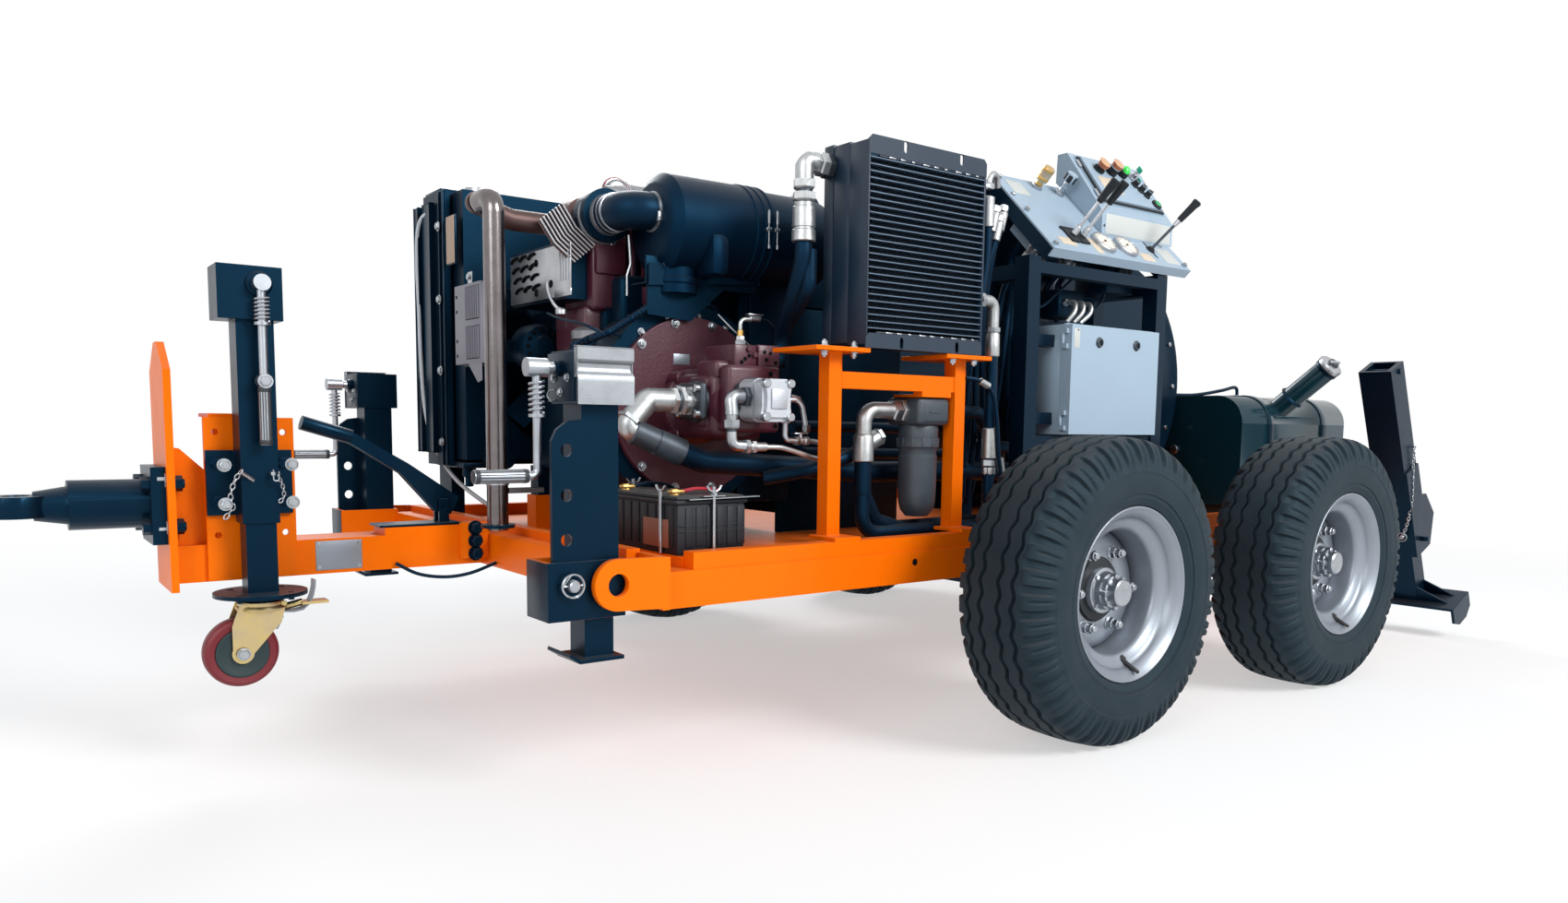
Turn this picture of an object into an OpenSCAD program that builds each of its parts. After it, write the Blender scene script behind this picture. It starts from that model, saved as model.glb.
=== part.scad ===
// Tandem trailer carrying a transverse diesel engine with hydraulic pumps, oil cooler and controls.
// Frame: +X points rearward, -Y is the left side, +Z is up; origin on the ground at the outline's middle.

/* [Running gear] */
// Axle spacing
axle_gap = 1062; // [950:2:1250]
// Front axle position along the trailer
axle_x = -75; // [-200:5:100]
// Outer diameter of a tyre
tyre_d = 756; // [700:2:820]
// Width of a tyre
tyre_w = 260; // [220:2:300]
// Diameter of the rim flange
rim_d = 425; // [400:1:450]
// Distance from the middle to a tyre's outer side
track_half = 1167; // [1100:2:1250]
// Pitch circle of the wheel bolts
wheel_pcd = 205; // [180:1:230]

/* [Chassis] */
// Outer face of a side beam from the middle
frame_y = 760; // [700:5:800]
// Width of a side beam
beam_w = 80; // [60:2:90]
// Height of a side beam
beam_h = 78; // [60:2:90]
// Underside of the beams above the ground
beam_z = 386; // [360:2:400]
// Front end of the side beams
beam_front = -1143; // [-1150:1:-1130]
// Height of the strip on top of the side beams
strip_h = 37; // [20:1:50]
// Wall of the folded sections
wall = 8; // [5:0.5:10]
// Width of the drawbar
draw_w = 120; // [90:2:140]
// Height of the drawbar
draw_h = 81; // [64:1:88]
// Underside of the drawbar
draw_z = 416; // [416:1:424]
// Thickness of the tow plate
tow_t = 15; // [10:1:20]
// Half width of the tow plate
tow_half = 100; // [80:2:120]
// Height of the tow plate's shoulder
tow_top = 872; // [800:5:900]
// Bore of the towing eye
eye_d = 50; // [40:1:60]
// Distance from the towing eye to the tow plate's flange
eye_reach = 242.7; // [230:0.1:300]

/* [Parking jack] */
// Outer size of the jack's square tube
jack_tube = 74; // [68:1:78]
// Gap between the jack's outer and inner tube
jack_gap = 0.3; // [0.2:0.1:2]
// Diameter of the caster wheel
caster_d = 150; // [120:2:180]
// Width of the caster wheel
caster_w = 44; // [36:1:50]
// Trail of the caster axle behind its swivel
caster_trail = 44; // [35:1:50]

/* [Front legs] */
// Outer size of a leg's square tube
leg_tube = 80; // [76:1:82]
// Size of a leg's inner tube
leg_inner = 64; // [58:1:66]
// Gap between a leg's outer and inner tube
leg_gap = 0.3; // [0.2:0.1:2]
// Height of a leg's skid foot above the ground
leg_foot_z = 298; // [280:2:310]
// Spacing of the holes in the locking strip
strip_pitch = 87; // [80:1:95]
// Diameter of the holes in the locking strip
strip_hole = 25; // [20:0.5:28]

/* [Rear spades] */
// Lean of a spade leg from upright
spade_lean = 24; // [15:0.5:30]
// Outer size of a spade leg's tube
spade_tube = 112; // [100:1:120]
// Size of a spade leg's inner tube
spade_inner = 78; // [70:1:84]
// Gap between a spade leg's outer and inner tube
spade_gap = 0.3; // [0.2:0.1:2]
// Width of a spade foot
spade_w = 350; // [300:5:380]

/* [Engine] */
// Engine centreline along the trailer
engine_x = -782; // [-800:2:-770]
// Height of the crankshaft
crank_z = 816; // [800:2:830]
// Diameter of the pump adapter disc
disc_d = 452; // [440:2:460]
// Bolt circle of the pump adapter disc
disc_pcd = 428.6; // [420:0.2:432]
// Front face of the adapter disc
disc_y = -310; // [-320:1:-300]
// Diameter of the air cleaner
cleaner_d = 250; // [220:2:260]
// Diameter of the exhaust stack
stack_d = 50; // [40:1:60]

/* [Hydraulics] */
// Width of the oil cooler
cooler_w = 403; // [380:1:420]
// Height of the oil cooler
cooler_h = 490; // [460:2:500]
// Diameter of the return filter's bowl
bowl_d = 122; // [100:1:126]
// Diameter of the suction pipe
suction_d = 62; // [50:1:66]

/* [Controls] */
// Width of the control panel
panel_w = 656; // [630:2:670]
// Slope length of the control panel
panel_len = 342; // [320:2:350]
// Width of the electric cabinet
cabinet_w = 414; // [380:2:420]
// Height of the electric cabinet
cabinet_h = 308; // [280:2:320]

/* [Tanks] */
// Length of the fuel tank
fuel_len = 750; // [700:5:780]
// Height of the fuel tank
fuel_h = 396; // [360:2:410]
// Corner radius of the fuel tank
fuel_r = 100; // [60:5:120]

/* [Hidden] */
$fn = 96;
tyre_r = tyre_d / 2;
rear_axle_x = axle_x + axle_gap;
wheel_y = track_half - tyre_w / 2;
deck_z = beam_z + beam_h;
strip_z = deck_z + strip_h;
beam_in = frame_y - beam_w;
beam_rear = 1955;
cross_front = -1235;
draw_top = draw_z + draw_h;
plate_back = -1930;
tow_front = plate_back - tow_t;
jack_x = -1778;
jack_y = -122;
jack_flange_z = 396;
caster_z = jack_flange_z - 21 - 108;
leg_x = -1282;
leg_y = frame_y - leg_tube / 2;
leg_front = leg_x - leg_tube / 2;
leg_head_z = 808;
crank_x = -1396;
crank_h = 876;
spade_y = 862;
spade_top = [1781, 1005];
cooler_x = -558;
cooler_z = 955;
post_z = 945;
panel_x = 118;
panel_y = -722;
panel_z = 1259;
fuel_x = 1325;
neck_end = [-751, 998];
drum_x = 880;
drum_z = 930;
drum_r = 430;
drum_len = 700;
cab_x = 187;
cab_z = 754;
cab_y = -740;
orange = [1.0, 0.42, 0.02];
black = [0.05, 0.07, 0.08];
zinc = [0.75, 0.77, 0.8];
maroon = [0.34, 0.08, 0.13];
pale = [0.74, 0.78, 0.84];
rubber = [0.09, 0.1, 0.11];
steel = [0.6, 0.62, 0.64];

// Box between two opposite corners
module box(a, b) translate(a) cube(b - a);

// Round bar between two points
module rod(p, q, r) {
    d = q - p;
    len = norm(d);
    translate(p) rotate([0, acos(d[2] / len), atan2(d[1], d[0])]) cylinder(h = len, r = r);
}

// Tube or hose through a list of points, with a round bend at each inner point
module pipe(pts, r, bend) {
    n = len(pts);
    dirs = [for (i = [0:n - 2]) (pts[i + 1] - pts[i]) / norm(pts[i + 1] - pts[i])];
    cut = [for (i = [0:n - 1])
        (i == 0 || i == n - 1) ? 0 : bend * tan(acos(dirs[i - 1] * dirs[i]) / 2)];
    for (i = [0:n - 2])
        rod(pts[i] + dirs[i] * max(cut[i] - 0.5, 0), pts[i + 1] - dirs[i] * max(cut[i + 1] - 0.5, 0), r + 0.05);
    for (i = [1:n - 2]) {
        a = dirs[i - 1];
        c = a * dirs[i];
        turn = acos(c);
        inward = (dirs[i] - a * c) / norm(dirs[i] - a * c);
        mid = pts[i] - a * cut[i] + inward * bend;
        up = cross(-inward, a);
        multmatrix([
            [-inward[0], a[0], up[0], mid[0]],
            [-inward[1], a[1], up[1], mid[1]],
            [-inward[2], a[2], up[2], mid[2]],
            [0, 0, 0, 1]
        ]) rotate_extrude(angle = turn) translate([bend, 0]) circle(r = r);
    }
}

// Coil spring along Z as one closed skin
module coil(radius, wire, height, turns, around, steps) {
    n = turns * steps;
    pts = [for (i = [0:n]) for (j = [0:around - 1])
        let (a = 360 * i / steps, b = 360 * j / around, q = radius + wire * cos(b))
        [q * cos(a), q * sin(a), height * i / n + wire * sin(b)]];
    last = n * around;
    side = [for (i = [0:n - 1]) for (j = [0:around - 1])
        let (k = (j + 1) % around)
        [i * around + j, i * around + k, (i + 1) * around + k, (i + 1) * around + j]];
    polyhedron(points = pts, faces = concat(side,
        [[for (j = [around - 1:-1:0]) j], [for (j = [0:around - 1]) last + j]]));
}

// Section open below, along Y between two ends
module channel_y(x0, x1, y0, y1, z0, z1) {
    difference() {
        box([x0, y0, z0], [x1, y1, z1]);
        box([x0 + wall, y0 - 1, z0 - 1], [x1 - wall, y1 + 1, z1 - wall]);
    }
}

// Copy on both sides of the trailer
module both() {
    children();
    mirror([0, 1, 0]) children();
}

// Sleeve that holds a front leg
module leg_sleeve() {
    color(black) difference() {
        box([leg_front - 77, -frame_y - 10, beam_z], [cross_front + 2, -beam_in + 10, strip_z]);
        box([leg_front - 65, -frame_y - 1, beam_z - 1], [leg_x + leg_tube / 2 + 1, -beam_in + 1, strip_z + 1]);
        translate([leg_x - 72, -frame_y + 20, 457]) rotate([90, 0, 0]) cylinder(h = 60, d = strip_hole);
    }
}

// Double tow lug at the front end of a side beam
module tow_lug() {
    color(orange) {
        box([beam_front - 17, -frame_y - 35, beam_z + 6], [beam_front + 1, -beam_in, strip_z]);
        difference() {
            union() {
                translate([beam_front - 117, -frame_y - 18, 452]) rotate([90, 0, 0]) cylinder(h = 17, r = 52);
                translate([beam_front - 17, -frame_y - 18, 452]) rotate([90, 0, 180])
                    translate([0, 0, -17]) mirror([0, 0, 0]) linear_extrude(17)
                    polygon([[0, -56], [0, 50], [100, 52], [100, -52]]);
            }
            translate([beam_front - 117, -frame_y, 452]) rotate([90, 0, 0]) cylinder(h = 60, r = 23);
        }
    }
}

module chassis_frame() {
    color(orange) {
        both() {
            difference() {
                box([beam_front, -frame_y, beam_z], [beam_rear + 1, -beam_in, deck_z]);
                box([beam_front + 1, -frame_y + wall, beam_z + wall], [beam_rear - 80, -beam_in + 1, deck_z - wall]);
                for (x = [axle_x, rear_axle_x])
                    box([x - 33.2, -frame_y - 1, beam_z - 1], [x + 33.2, -beam_in + 1, tyre_r + 33.2]);
            }
            box([beam_front + 81, -frame_y + 4, deck_z - 1], [beam_rear, -frame_y + 44, strip_z]);
        }
        // cross members between the side beams
        for (x = [-1040:420:1900])
            channel_y(x, x + 70, -beam_in - 2, beam_in + 2, beam_z, deck_z);
        box([beam_front + 10, -beam_in - 1, deck_z - 6], [beam_rear - 2, beam_in + 1, deck_z]);
        channel_y(cross_front, cross_front + 82, -beam_in - 8, beam_in + 8, 408, 489);
        box([cross_front + 50, -beam_in - 8, 488], [cross_front + 82, beam_in + 8, 509]);
        box([cross_front + 60, -beam_in - 8, deck_z - 12], [beam_front + 20, beam_in + 8, deck_z]);
        channel_y(beam_rear, beam_rear + 80, -spade_y + spade_tube / 2 + 0.05, spade_y - spade_tube / 2 - 0.05, 380, deck_z);
        // drawbar, tow plate and the mast for the jack
        difference() {
            box([plate_back - 1, -draw_w / 2, draw_z], [cross_front + 1, draw_w / 2, draw_top]);
            box([plate_back + 20, -draw_w / 2 + wall, draw_z - 1], [cross_front - 20, draw_w / 2 - wall, draw_top - wall]);
        }
        translate([plate_back, 0, 0]) rotate([90, 0, -90]) difference() {
            linear_extrude(tow_t) polygon([[-tow_half, 402], [tow_half, 402], [tow_half, tow_top],
                [22, tow_top + 60], [-22, tow_top + 60], [-tow_half, tow_top]]);
            for (s = [-1, 1]) for (z = [540, 632])
                translate([s * 62, z, -1]) cylinder(h = tow_t + 2, d = 21);
        }
        for (y = [-35, 25])
            translate([0, y + 10, 0]) rotate([90, 0, 0]) linear_extrude(10)
                polygon([[plate_back - 1, draw_top - 1], [plate_back - 1, 708], [plate_back + 18, 706],
                    [jack_x - 70, 642], [jack_x - 70, draw_top - 1]]);
        box([jack_x - 72, -draw_w / 2, draw_top - 1], [jack_x - 2, draw_w / 2, 774]);
        box([jack_x - 80, -draw_w / 2 - 4, 774], [jack_x + 6, draw_w / 2, 782]);
        difference() {
            box([jack_x - 92, -draw_w / 2 - 12, jack_flange_z + 22], [jack_x + 88, -draw_w / 2, 774]);
            for (x = [-70, 66]) for (z = [518, 742])
                translate([jack_x + x, -draw_w / 2 + 1, z]) rotate([90, 0, 0]) cylinder(h = 14, d = 14);
        }
        box([-1490, -draw_w / 2, draw_top - 1], [-1235, draw_w / 2 - 30, draw_top + 18]);
        both() tow_lug();
        // tray for the battery, saddles for the axles, rests for the engine
        box([-1070, -720, deck_z - 1], [-832, -360, deck_z + 24]);
        both() for (x = [axle_x, rear_axle_x])
            difference() {
                box([x - 50, -frame_y + 2, tyre_r - 50], [x + 50, -beam_in - 2, deck_z - 40]);
                box([x - 33.2, -frame_y, tyre_r - 33.2], [x + 33.2, -beam_in, deck_z + 1]);
            }
        for (y = [-140, 240])
            box([engine_x - 190, y, deck_z - 1], [engine_x + 190, y + 60, 560]);
    }
    both() leg_sleeve();
}

module tow_coupling() {
    color(black) difference() {
        union() {
            box([tow_front - 28, -82, 504], [tow_front, 82, 668]);
            translate([tow_front - 170, 0, 588]) rotate([0, 90, 0]) cylinder(h = 145, r = 52);
            translate([tow_front - 228, 0, 588]) rotate([0, 90, 0]) cylinder(h = 59, r1 = 30, r2 = 40);
            translate([tow_front - eye_reach - 14, 0, 588 - 22]) cylinder(h = 44, r = eye_d / 2 + 28);
            for (s = [-1, 1]) for (z = [540, 632]) {
                translate([tow_front - 44, s * 62, z]) rotate([0, 90, 0]) cylinder(h = 18, r = 16, $fn = 6);
                translate([tow_front - 30, s * 62, z]) rotate([0, 90, 0]) cylinder(h = tow_t + 52, d = 20);
                translate([plate_back + 0.05, s * 62, z]) rotate([0, 90, 0]) cylinder(h = 18, r = 17, $fn = 6);
            }
        }
        translate([tow_front - eye_reach - 14, 0, 500]) cylinder(h = 200, d = eye_d);
    }
}

module lynch_pins() {
    color(zinc) both() {
        translate([leg_x - 72, -frame_y + 9, 457]) rotate([90, 0, 0]) cylinder(h = 36, d = strip_hole - 0.5);
        translate([leg_x - 72, -frame_y - 24, 457]) rotate([90, 0, 0])
            rotate_extrude() translate([22, 0]) circle(r = 2.5);
        rod([leg_x - 95, -frame_y - 24, 457], [leg_x - 49, -frame_y - 24, 457], 2.4);
    }
}

module jack_outer() {
    out = jack_tube / 2;
    bore = out - 6;
    color(black) difference() {
        union() {
            box([jack_x - out, jack_y - out, 547], [jack_x + out, jack_y + out, 985]);
            box([jack_x - 72, jack_y - 50, 978], [jack_x + 54, jack_y + 46, 1090]);
            box([jack_x - 92, jack_y + out - 1, 562], [jack_x + 80, -draw_w / 2 - 12, 703]);
        }
        box([jack_x - bore, jack_y - bore, 500], [jack_x + bore, jack_y + bore, 960]);
        translate([jack_x + 8, jack_y + 80, 1053]) rotate([90, 0, 0]) cylinder(h = 140, r = 9.06);
    }
    color(zinc) for (x = [-70, 62]) for (z = [592, 674])
        translate([jack_x + x, jack_y + out, z]) rotate([90, 0, 0]) cylinder(h = 8, r = 12, $fn = 6);
}

module jack_inner() {
    size = jack_tube / 2 - 6 - jack_gap;
    color(black) {
        difference() {
            box([jack_x - size, jack_y - size, jack_flange_z], [jack_x + size, jack_y + size, 940]);
            box([jack_x - size + 6, jack_y - size + 6, jack_flange_z + 10], [jack_x + size - 6, jack_y + size - 6, 941]);
        }
        translate([jack_x, jack_y, jack_flange_z - 8]) cylinder(h = 9, r = 94);
    }
    color(zinc) for (i = [0:3])
        translate([jack_x, jack_y, 0]) rotate([0, 0, 45 + 90 * i]) translate([72, 0, jack_flange_z - 16])
            cylinder(h = 18, r = 7, $fn = 6);
    color(zinc) translate([jack_x, jack_y, jack_flange_z - 20]) cylinder(h = 13, r = 42);
}

module jack_crank() {
    y0 = jack_y - 52;
    color(steel) {
        translate([jack_x + 8, jack_y + 46, 1053]) rotate([90, 0, 0]) cylinder(h = 110, r = 9);
        translate([jack_x + 8, y0, 1053]) rotate([90, 0, 0]) cylinder(h = 34, r = 17);
        rod([jack_x + 8, y0 - 17, 1045], [jack_x + 8, y0 - 17, 858], 9);
        translate([jack_x + 8, y0 - 2, 850]) rotate([90, 0, 0]) cylinder(h = 30, r = 15);
        translate([jack_x + 8, y0 - 17, 966]) cylinder(h = 6.3, r = 16);
        translate([jack_x + 8, y0 - 17, 975]) coil(14, 2.4, 48, 6, 6, 14);
    }
    color(black) rod([jack_x + 8, y0 - 17, 838], [jack_x + 8, y0 - 17, 716], 12);
}

module caster_fork() {
    z = caster_z;
    color([0.72, 0.62, 0.3]) translate([jack_x, jack_y, 0]) {
        translate([0, 0, jack_flange_z - 30]) cylinder(h = 9.7, r = 46);
        for (s = [-1, 1]) difference() {
            translate([0, s * (caster_w / 2 + 5) + 2.5, 0]) rotate([90, 0, 0]) linear_extrude(5) union() {
                polygon([[-46, jack_flange_z - 22], [46, jack_flange_z - 22], [34, z + 62], [-caster_trail + 20, z - 4],
                    [-caster_trail - 20, z - 4], [-caster_trail - 20, z + 60]]);
                translate([-caster_trail, z]) circle(r = 22);
            }
            translate([-caster_trail, 60, z]) rotate([90, 0, 0]) cylinder(h = 120, d = 13);
        }
        box([-46, -caster_w / 2 - 7, jack_flange_z - 30], [46, caster_w / 2 + 7, jack_flange_z - 24]);
        translate([-caster_trail, caster_w / 2 + 16, z]) rotate([90, 0, 0]) cylinder(h = caster_w + 32, d = 12);
        for (s = [-1, 1]) translate([-caster_trail, s * (caster_w / 2 + 11) + 4, z]) rotate([90, 0, 0])
            cylinder(h = 8, r = 11, $fn = 6);
        rod([40, 0, jack_flange_z - 40], [84, 0, jack_flange_z - 31], 8);
        box([80, -20, jack_flange_z - 35], [136, 20, jack_flange_z - 29]);
    }
}

module caster_wheel() {
    translate([jack_x - caster_trail, jack_y, caster_z]) rotate([90, 0, 0]) difference() {
        union() {
            color([0.4, 0.04, 0.06]) rotate_extrude() polygon([[54, -20], [66, -caster_w / 2], [72, -18], [caster_d / 2, -10],
                [caster_d / 2, 10], [72, 18], [66, caster_w / 2], [54, 20]]);
            color(black) cylinder(h = 30, r = 56, center = true);
            color(black) cylinder(h = 42, r = 20, center = true);
        }
        cylinder(h = 80, d = 12.1, center = true);
    }
}

module leg_outer() {
    out = leg_tube / 2;
    bore = leg_inner / 2 + leg_gap;
    color(black) difference() {
        union() {
            box([leg_x - out, -leg_y - out, beam_z + 2], [leg_x + out, -leg_y + out, leg_head_z + 1]);
            translate([0, -frame_y + 10, 0]) rotate([90, 0, 0]) linear_extrude(10)
                polygon([[leg_front + 1, beam_z + 4], [leg_front + 1, 778], [leg_front - 30, 774], [leg_front - 52, 758],
                    [leg_front - 63, 736], [leg_front - 63, beam_z + 4]]);
            box([leg_x - 62, -leg_y - 62, leg_head_z], [leg_x + 56, -leg_y + 46, leg_head_z + 102]);
        }
        box([leg_x - bore, -leg_y - bore, beam_z - 1], [leg_x + bore, -leg_y + bore, leg_head_z - 8]);
        for (i = [0:3])
            translate([leg_x - 72, -frame_y + 20, 457 + i * strip_pitch]) rotate([90, 0, 0])
                cylinder(h = 40, d = strip_hole);
        translate([leg_x - 63, -leg_y, crank_h]) rotate([0, 90, 0]) cylinder(h = 50, r = 9.06);
    }
    color(zinc) translate([0, -leg_y - 62, 0]) difference() {
        box([leg_x - 62, -9, leg_head_z], [leg_x + 56, 0, leg_head_z + 107]);
        box([leg_x - 63, -10, leg_head_z + 58], [leg_x + 57, -5, leg_head_z + 78]);
    }
}

module leg_foot() {
    half = leg_inner / 2;
    color(black) {
        difference() {
            box([leg_x - half, -leg_y - half, leg_foot_z + 7], [leg_x + half, -leg_y + half, leg_head_z - 60]);
            box([leg_x - half + 6, -leg_y - half + 6, leg_foot_z + 12], [leg_x + half - 6, -leg_y + half - 6, leg_head_z]);
        }
        box([leg_x - 52, -leg_y - 52, leg_foot_z], [leg_x + 46, -leg_y + 52, leg_foot_z + 8]);
        translate([0, -leg_y + 52, 0]) rotate([90, 0, 0]) linear_extrude(104)
            polygon([[leg_x - 51, leg_foot_z], [leg_x - 51, leg_foot_z + 8], [leg_x - 72, leg_foot_z + 22], [leg_x - 74, leg_foot_z + 15]]);
    }
}

module leg_crank() {
    color(steel) {
        rod([crank_x, -leg_y, crank_h], [leg_x - 14, -leg_y, crank_h], 9);
        rod([crank_x - 22, -leg_y, crank_h], [crank_x + 20, -leg_y, crank_h], 18);
        pipe([[crank_x, -leg_y, crank_h - 5], [crank_x, -leg_y, 668], [crank_x - 22, -leg_y, 668]], 8, 14);
        translate([crank_x, -leg_y, 781]) cylinder(h = 6.3, r = 16);
        translate([crank_x, -leg_y, 790]) coil(14, 2.4, 60, 6, 6, 14);
    }
    color(black) rod([crank_x - 20, -leg_y, 668], [crank_x - 128, -leg_y, 668], 13);
}

// Frame along a spade leg, with its zero at the top and Z along the tube
module along_spade() {
    translate([spade_top[0], -spade_y, spade_top[1]]) rotate([0, -spade_lean, 0]) children();
}

module spade_outer() {
    out = spade_tube / 2;
    bore = spade_inner / 2 + spade_gap;
    color(black) {
        along_spade() difference() {
            union() {
                box([-50, -out, -745], [50, out, 0]);
                box([-50 - 0, -out - 8, -745], [-10, -out + 1, -400]);
                translate([0, -out + 1, 0]) rotate([90, 0, 0]) linear_extrude(9)
                    polygon([[-11, -745], [62, -745], [122, -640], [80, -540], [49, -530], [49, -400], [-11, -400]]);
            }
            box([-bore, -bore, -760], [bore, bore, 1]);
            translate([12, out + 1, -24]) rotate([90, 0, 0]) cylinder(h = spade_tube + 2, r = 11);
            translate([0, out + 1, -690]) rotate([90, 0, 0]) cylinder(h = spade_tube + 40, r = 10);
        }
    }
    color(zinc) along_spade() {
        translate([12, out + 7, -24]) rotate([90, 0, 0]) cylinder(h = spade_tube + 14, r = 10);
        translate([0, out + 12, -690]) rotate([90, 0, 0]) cylinder(h = 28, r = 9);
        translate([0, -out + 6, -690]) rotate([90, 0, 0]) cylinder(h = 40, r = 9);
    }
}

module spade_foot() {
    half = spade_inner / 2;
    bottom = -948;
    color(black) along_spade() {
        difference() {
            box([-half, -half, bottom + 4], [half, half, -80]);
            box([-half + 6, -half + 6, bottom + 12], [half - 6, half - 6, -79]);
        }
        box([-72, -spade_w / 2, bottom - 4], [72, spade_w / 2, bottom + 6]);
        for (s = [-1, 1]) scale([1, s, 1]) {
            translate([0, spade_w / 2 - 10, 0]) rotate([90, 0, 0]) translate([0, 0, -10]) linear_extrude(10)
                polygon([[-72, bottom], [72, bottom], [72, bottom - 55], [30, bottom - 82], [-30, bottom - 82], [-72, bottom - 55]]);
            for (x = [-34, 26]) translate([x, 0, 0]) rotate([90, 0, 90]) linear_extrude(8)
                polygon([[half - 1, bottom + 5], [spade_w / 2 - 30, bottom + 5], [half - 1, bottom + 62]]);
        }
    }
}

module axles() {
    color(black) for (x = [axle_x, rear_axle_x]) {
        box([x - 33, -900, tyre_r - 33], [x + 33, 900, tyre_r + 33]);
        both() translate([x, -899, tyre_r]) rotate([90, 0, 0]) cylinder(h = 200, r = 26);
        both() translate([x, -893, tyre_r]) rotate([90, 0, 0]) cylinder(h = 10, r = 118);
    }
}

module tyre() {
    half = tyre_w / 2;
    seat = rim_d / 2 - 17;
    tread = tyre_r;
    color(rubber) rotate([90, 0, 0]) rotate_extrude($fn = 128) difference() {
        polygon([
            [seat, -103.4], [seat + 6, -111.4], [rim_d / 2 + 0.6, -111.4], [rim_d / 2 + 3, -117],
            [tyre_r * 0.72, -half + 3], [tyre_r * 0.8, -half], [tyre_r * 0.88, -half + 5],
            [tread - 14, -half + 22], [tread - 3, -half + 44], [tread, -66], [tread, -40], [tread - 9, -37], [tread - 9, -27],
            [tread, -24], [tread, 24], [tread - 9, 27], [tread - 9, 37], [tread, 40], [tread, 66], [tread - 3, half - 44],
            [tread - 14, half - 22], [tyre_r * 0.88, half - 5], [tyre_r * 0.8, half], [tyre_r * 0.72, half - 3],
            [rim_d / 2 + 3, 117], [rim_d / 2 + 0.6, 111.4], [seat + 6, 111.4], [seat, 103.4]]);
        polygon([
            [seat - 1, -88], [seat + 26, -98], [tyre_r * 0.72, -half + 16], [tyre_r * 0.88, -half + 19], [tread - 30, -half + 46],
            [tread - 24, 0], [tread - 30, half - 46], [tyre_r * 0.88, half - 19], [tyre_r * 0.72, half - 16],
            [seat + 26, 98], [seat - 1, 88]]);
    }
}

// Rim with its disc, hub, drum, cap and bolts; local -Y side outward
module rim() {
    face = 13;
    seat = rim_d / 2 - 17.4;
    color(zinc) rotate([90, 0, 0]) rotate_extrude($fn = 128) polygon([
        [rim_d / 2, -118], [rim_d / 2, -112], [seat + 6, -112], [seat, -104], [seat - 4, -80], [158, -62],
        [158, 30], [seat - 4, 58], [seat, 104], [seat + 6, 112], [rim_d / 2, 112], [rim_d / 2, 118], [seat, 118],
        [seat - 7, 104], [seat - 11, 60], [151, 34], [151, -66], [seat - 11, -86], [seat - 7, -106], [seat, -118]]);
    color(zinc) rotate([90, 0, 0]) rotate_extrude($fn = 96) polygon([
        [66, face - 8], [66, face], [120, face], [151.5, face - 20], [151.5, face - 30], [118, face - 8]]);
    color(black) difference() {
        translate([0, 132, 0]) rotate([90, 0, 0]) cylinder(h = 138, r = 112);
        translate([0, 133, 0]) rotate([90, 0, 0]) cylinder(h = 66, r = 102);
        translate([0, 140, 0]) rotate([90, 0, 0]) cylinder(h = 240, r = 26.05);
    }
    color(zinc) difference() {
        union() {
            translate([0, 67, 0]) rotate([90, 0, 0]) cylinder(h = 100, r = 66.5);
            translate([0, -32, 0]) rotate([90, 0, 0]) cylinder(h = 26, r = 44);
            translate([0, -57, 0]) rotate([90, 0, 0]) cylinder(h = 34, r = 33, $fn = 6);
        }
        translate([0, 140, 0]) rotate([90, 0, 0]) cylinder(h = 205, r = 26.05);
    }
    color(zinc) for (i = [0:5]) rotate([0, 30 + 60 * i, 0]) translate([wheel_pcd / 2, 1 - face, 0]) rotate([90, 0, 0])
        cylinder(h = 24, r = 13, $fn = 6);
}

module at_wheel(x, side) {
    mirror([0, side > 0 ? 1 : 0, 0]) translate([x, -wheel_y, tyre_r]) children();
}

module handbrake_base() {
    color(black) difference() {
        union() {
            box([-1500, -52, draw_top + 18], [-1300, 34, draw_top + 24]);
            box([-1350, -34, draw_top + 23], [-1325, -26, draw_top + 82]);
            box([-1350, 0, draw_top + 23], [-1325, 8, draw_top + 82]);
        }
        translate([-1338, 40, draw_top + 62]) rotate([90, 0, 0]) cylinder(h = 100, r = 6.06);
    }
}

module handbrake_lever() {
    z = draw_top + 62;
    color(black) {
        for (y = [-20, -2]) translate([0, y, 0]) rotate([90, 0, 0]) linear_extrude(5)
            polygon([[-1356, z - 12], [-1318, z - 20], [-1296, z + 22], [-1420, z + 108], [-1560, z + 190],
                [-1572, z + 168], [-1440, z + 84]]);
        rod([-1550, -13.5, z + 172], [-1660, -13.5, z + 205], 17);
    }
    color(zinc) translate([-1338, 6, z]) rotate([90, 0, 0]) cylinder(h = 40, r = 6);
}

module battery() {
    x0 = -1068;
    color(black) {
        box([x0, -700, deck_z + 24], [x0 + 175, -360, deck_z + 184]);
        box([x0 - 6, -706, deck_z + 183], [x0 + 181, -354, deck_z + 206]);
    }
    color(black) box([x0 + 60, -712, deck_z + 205], [x0 + 116, -348, deck_z + 211]);
    color(zinc) for (y = [-709, -351]) {
        rod([x0 + 88, y, deck_z + 24], [x0 + 88, y, deck_z + 236], 4);
        rod([x0 + 72, y, deck_z + 226], [x0 + 104, y, deck_z + 226], 5);
    }
    color([0.75, 0.55, 0.25]) for (y = [-640, -420])
        translate([x0 + 30, y, deck_z + 205]) cylinder(h = 20, r = 10);
}

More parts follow.
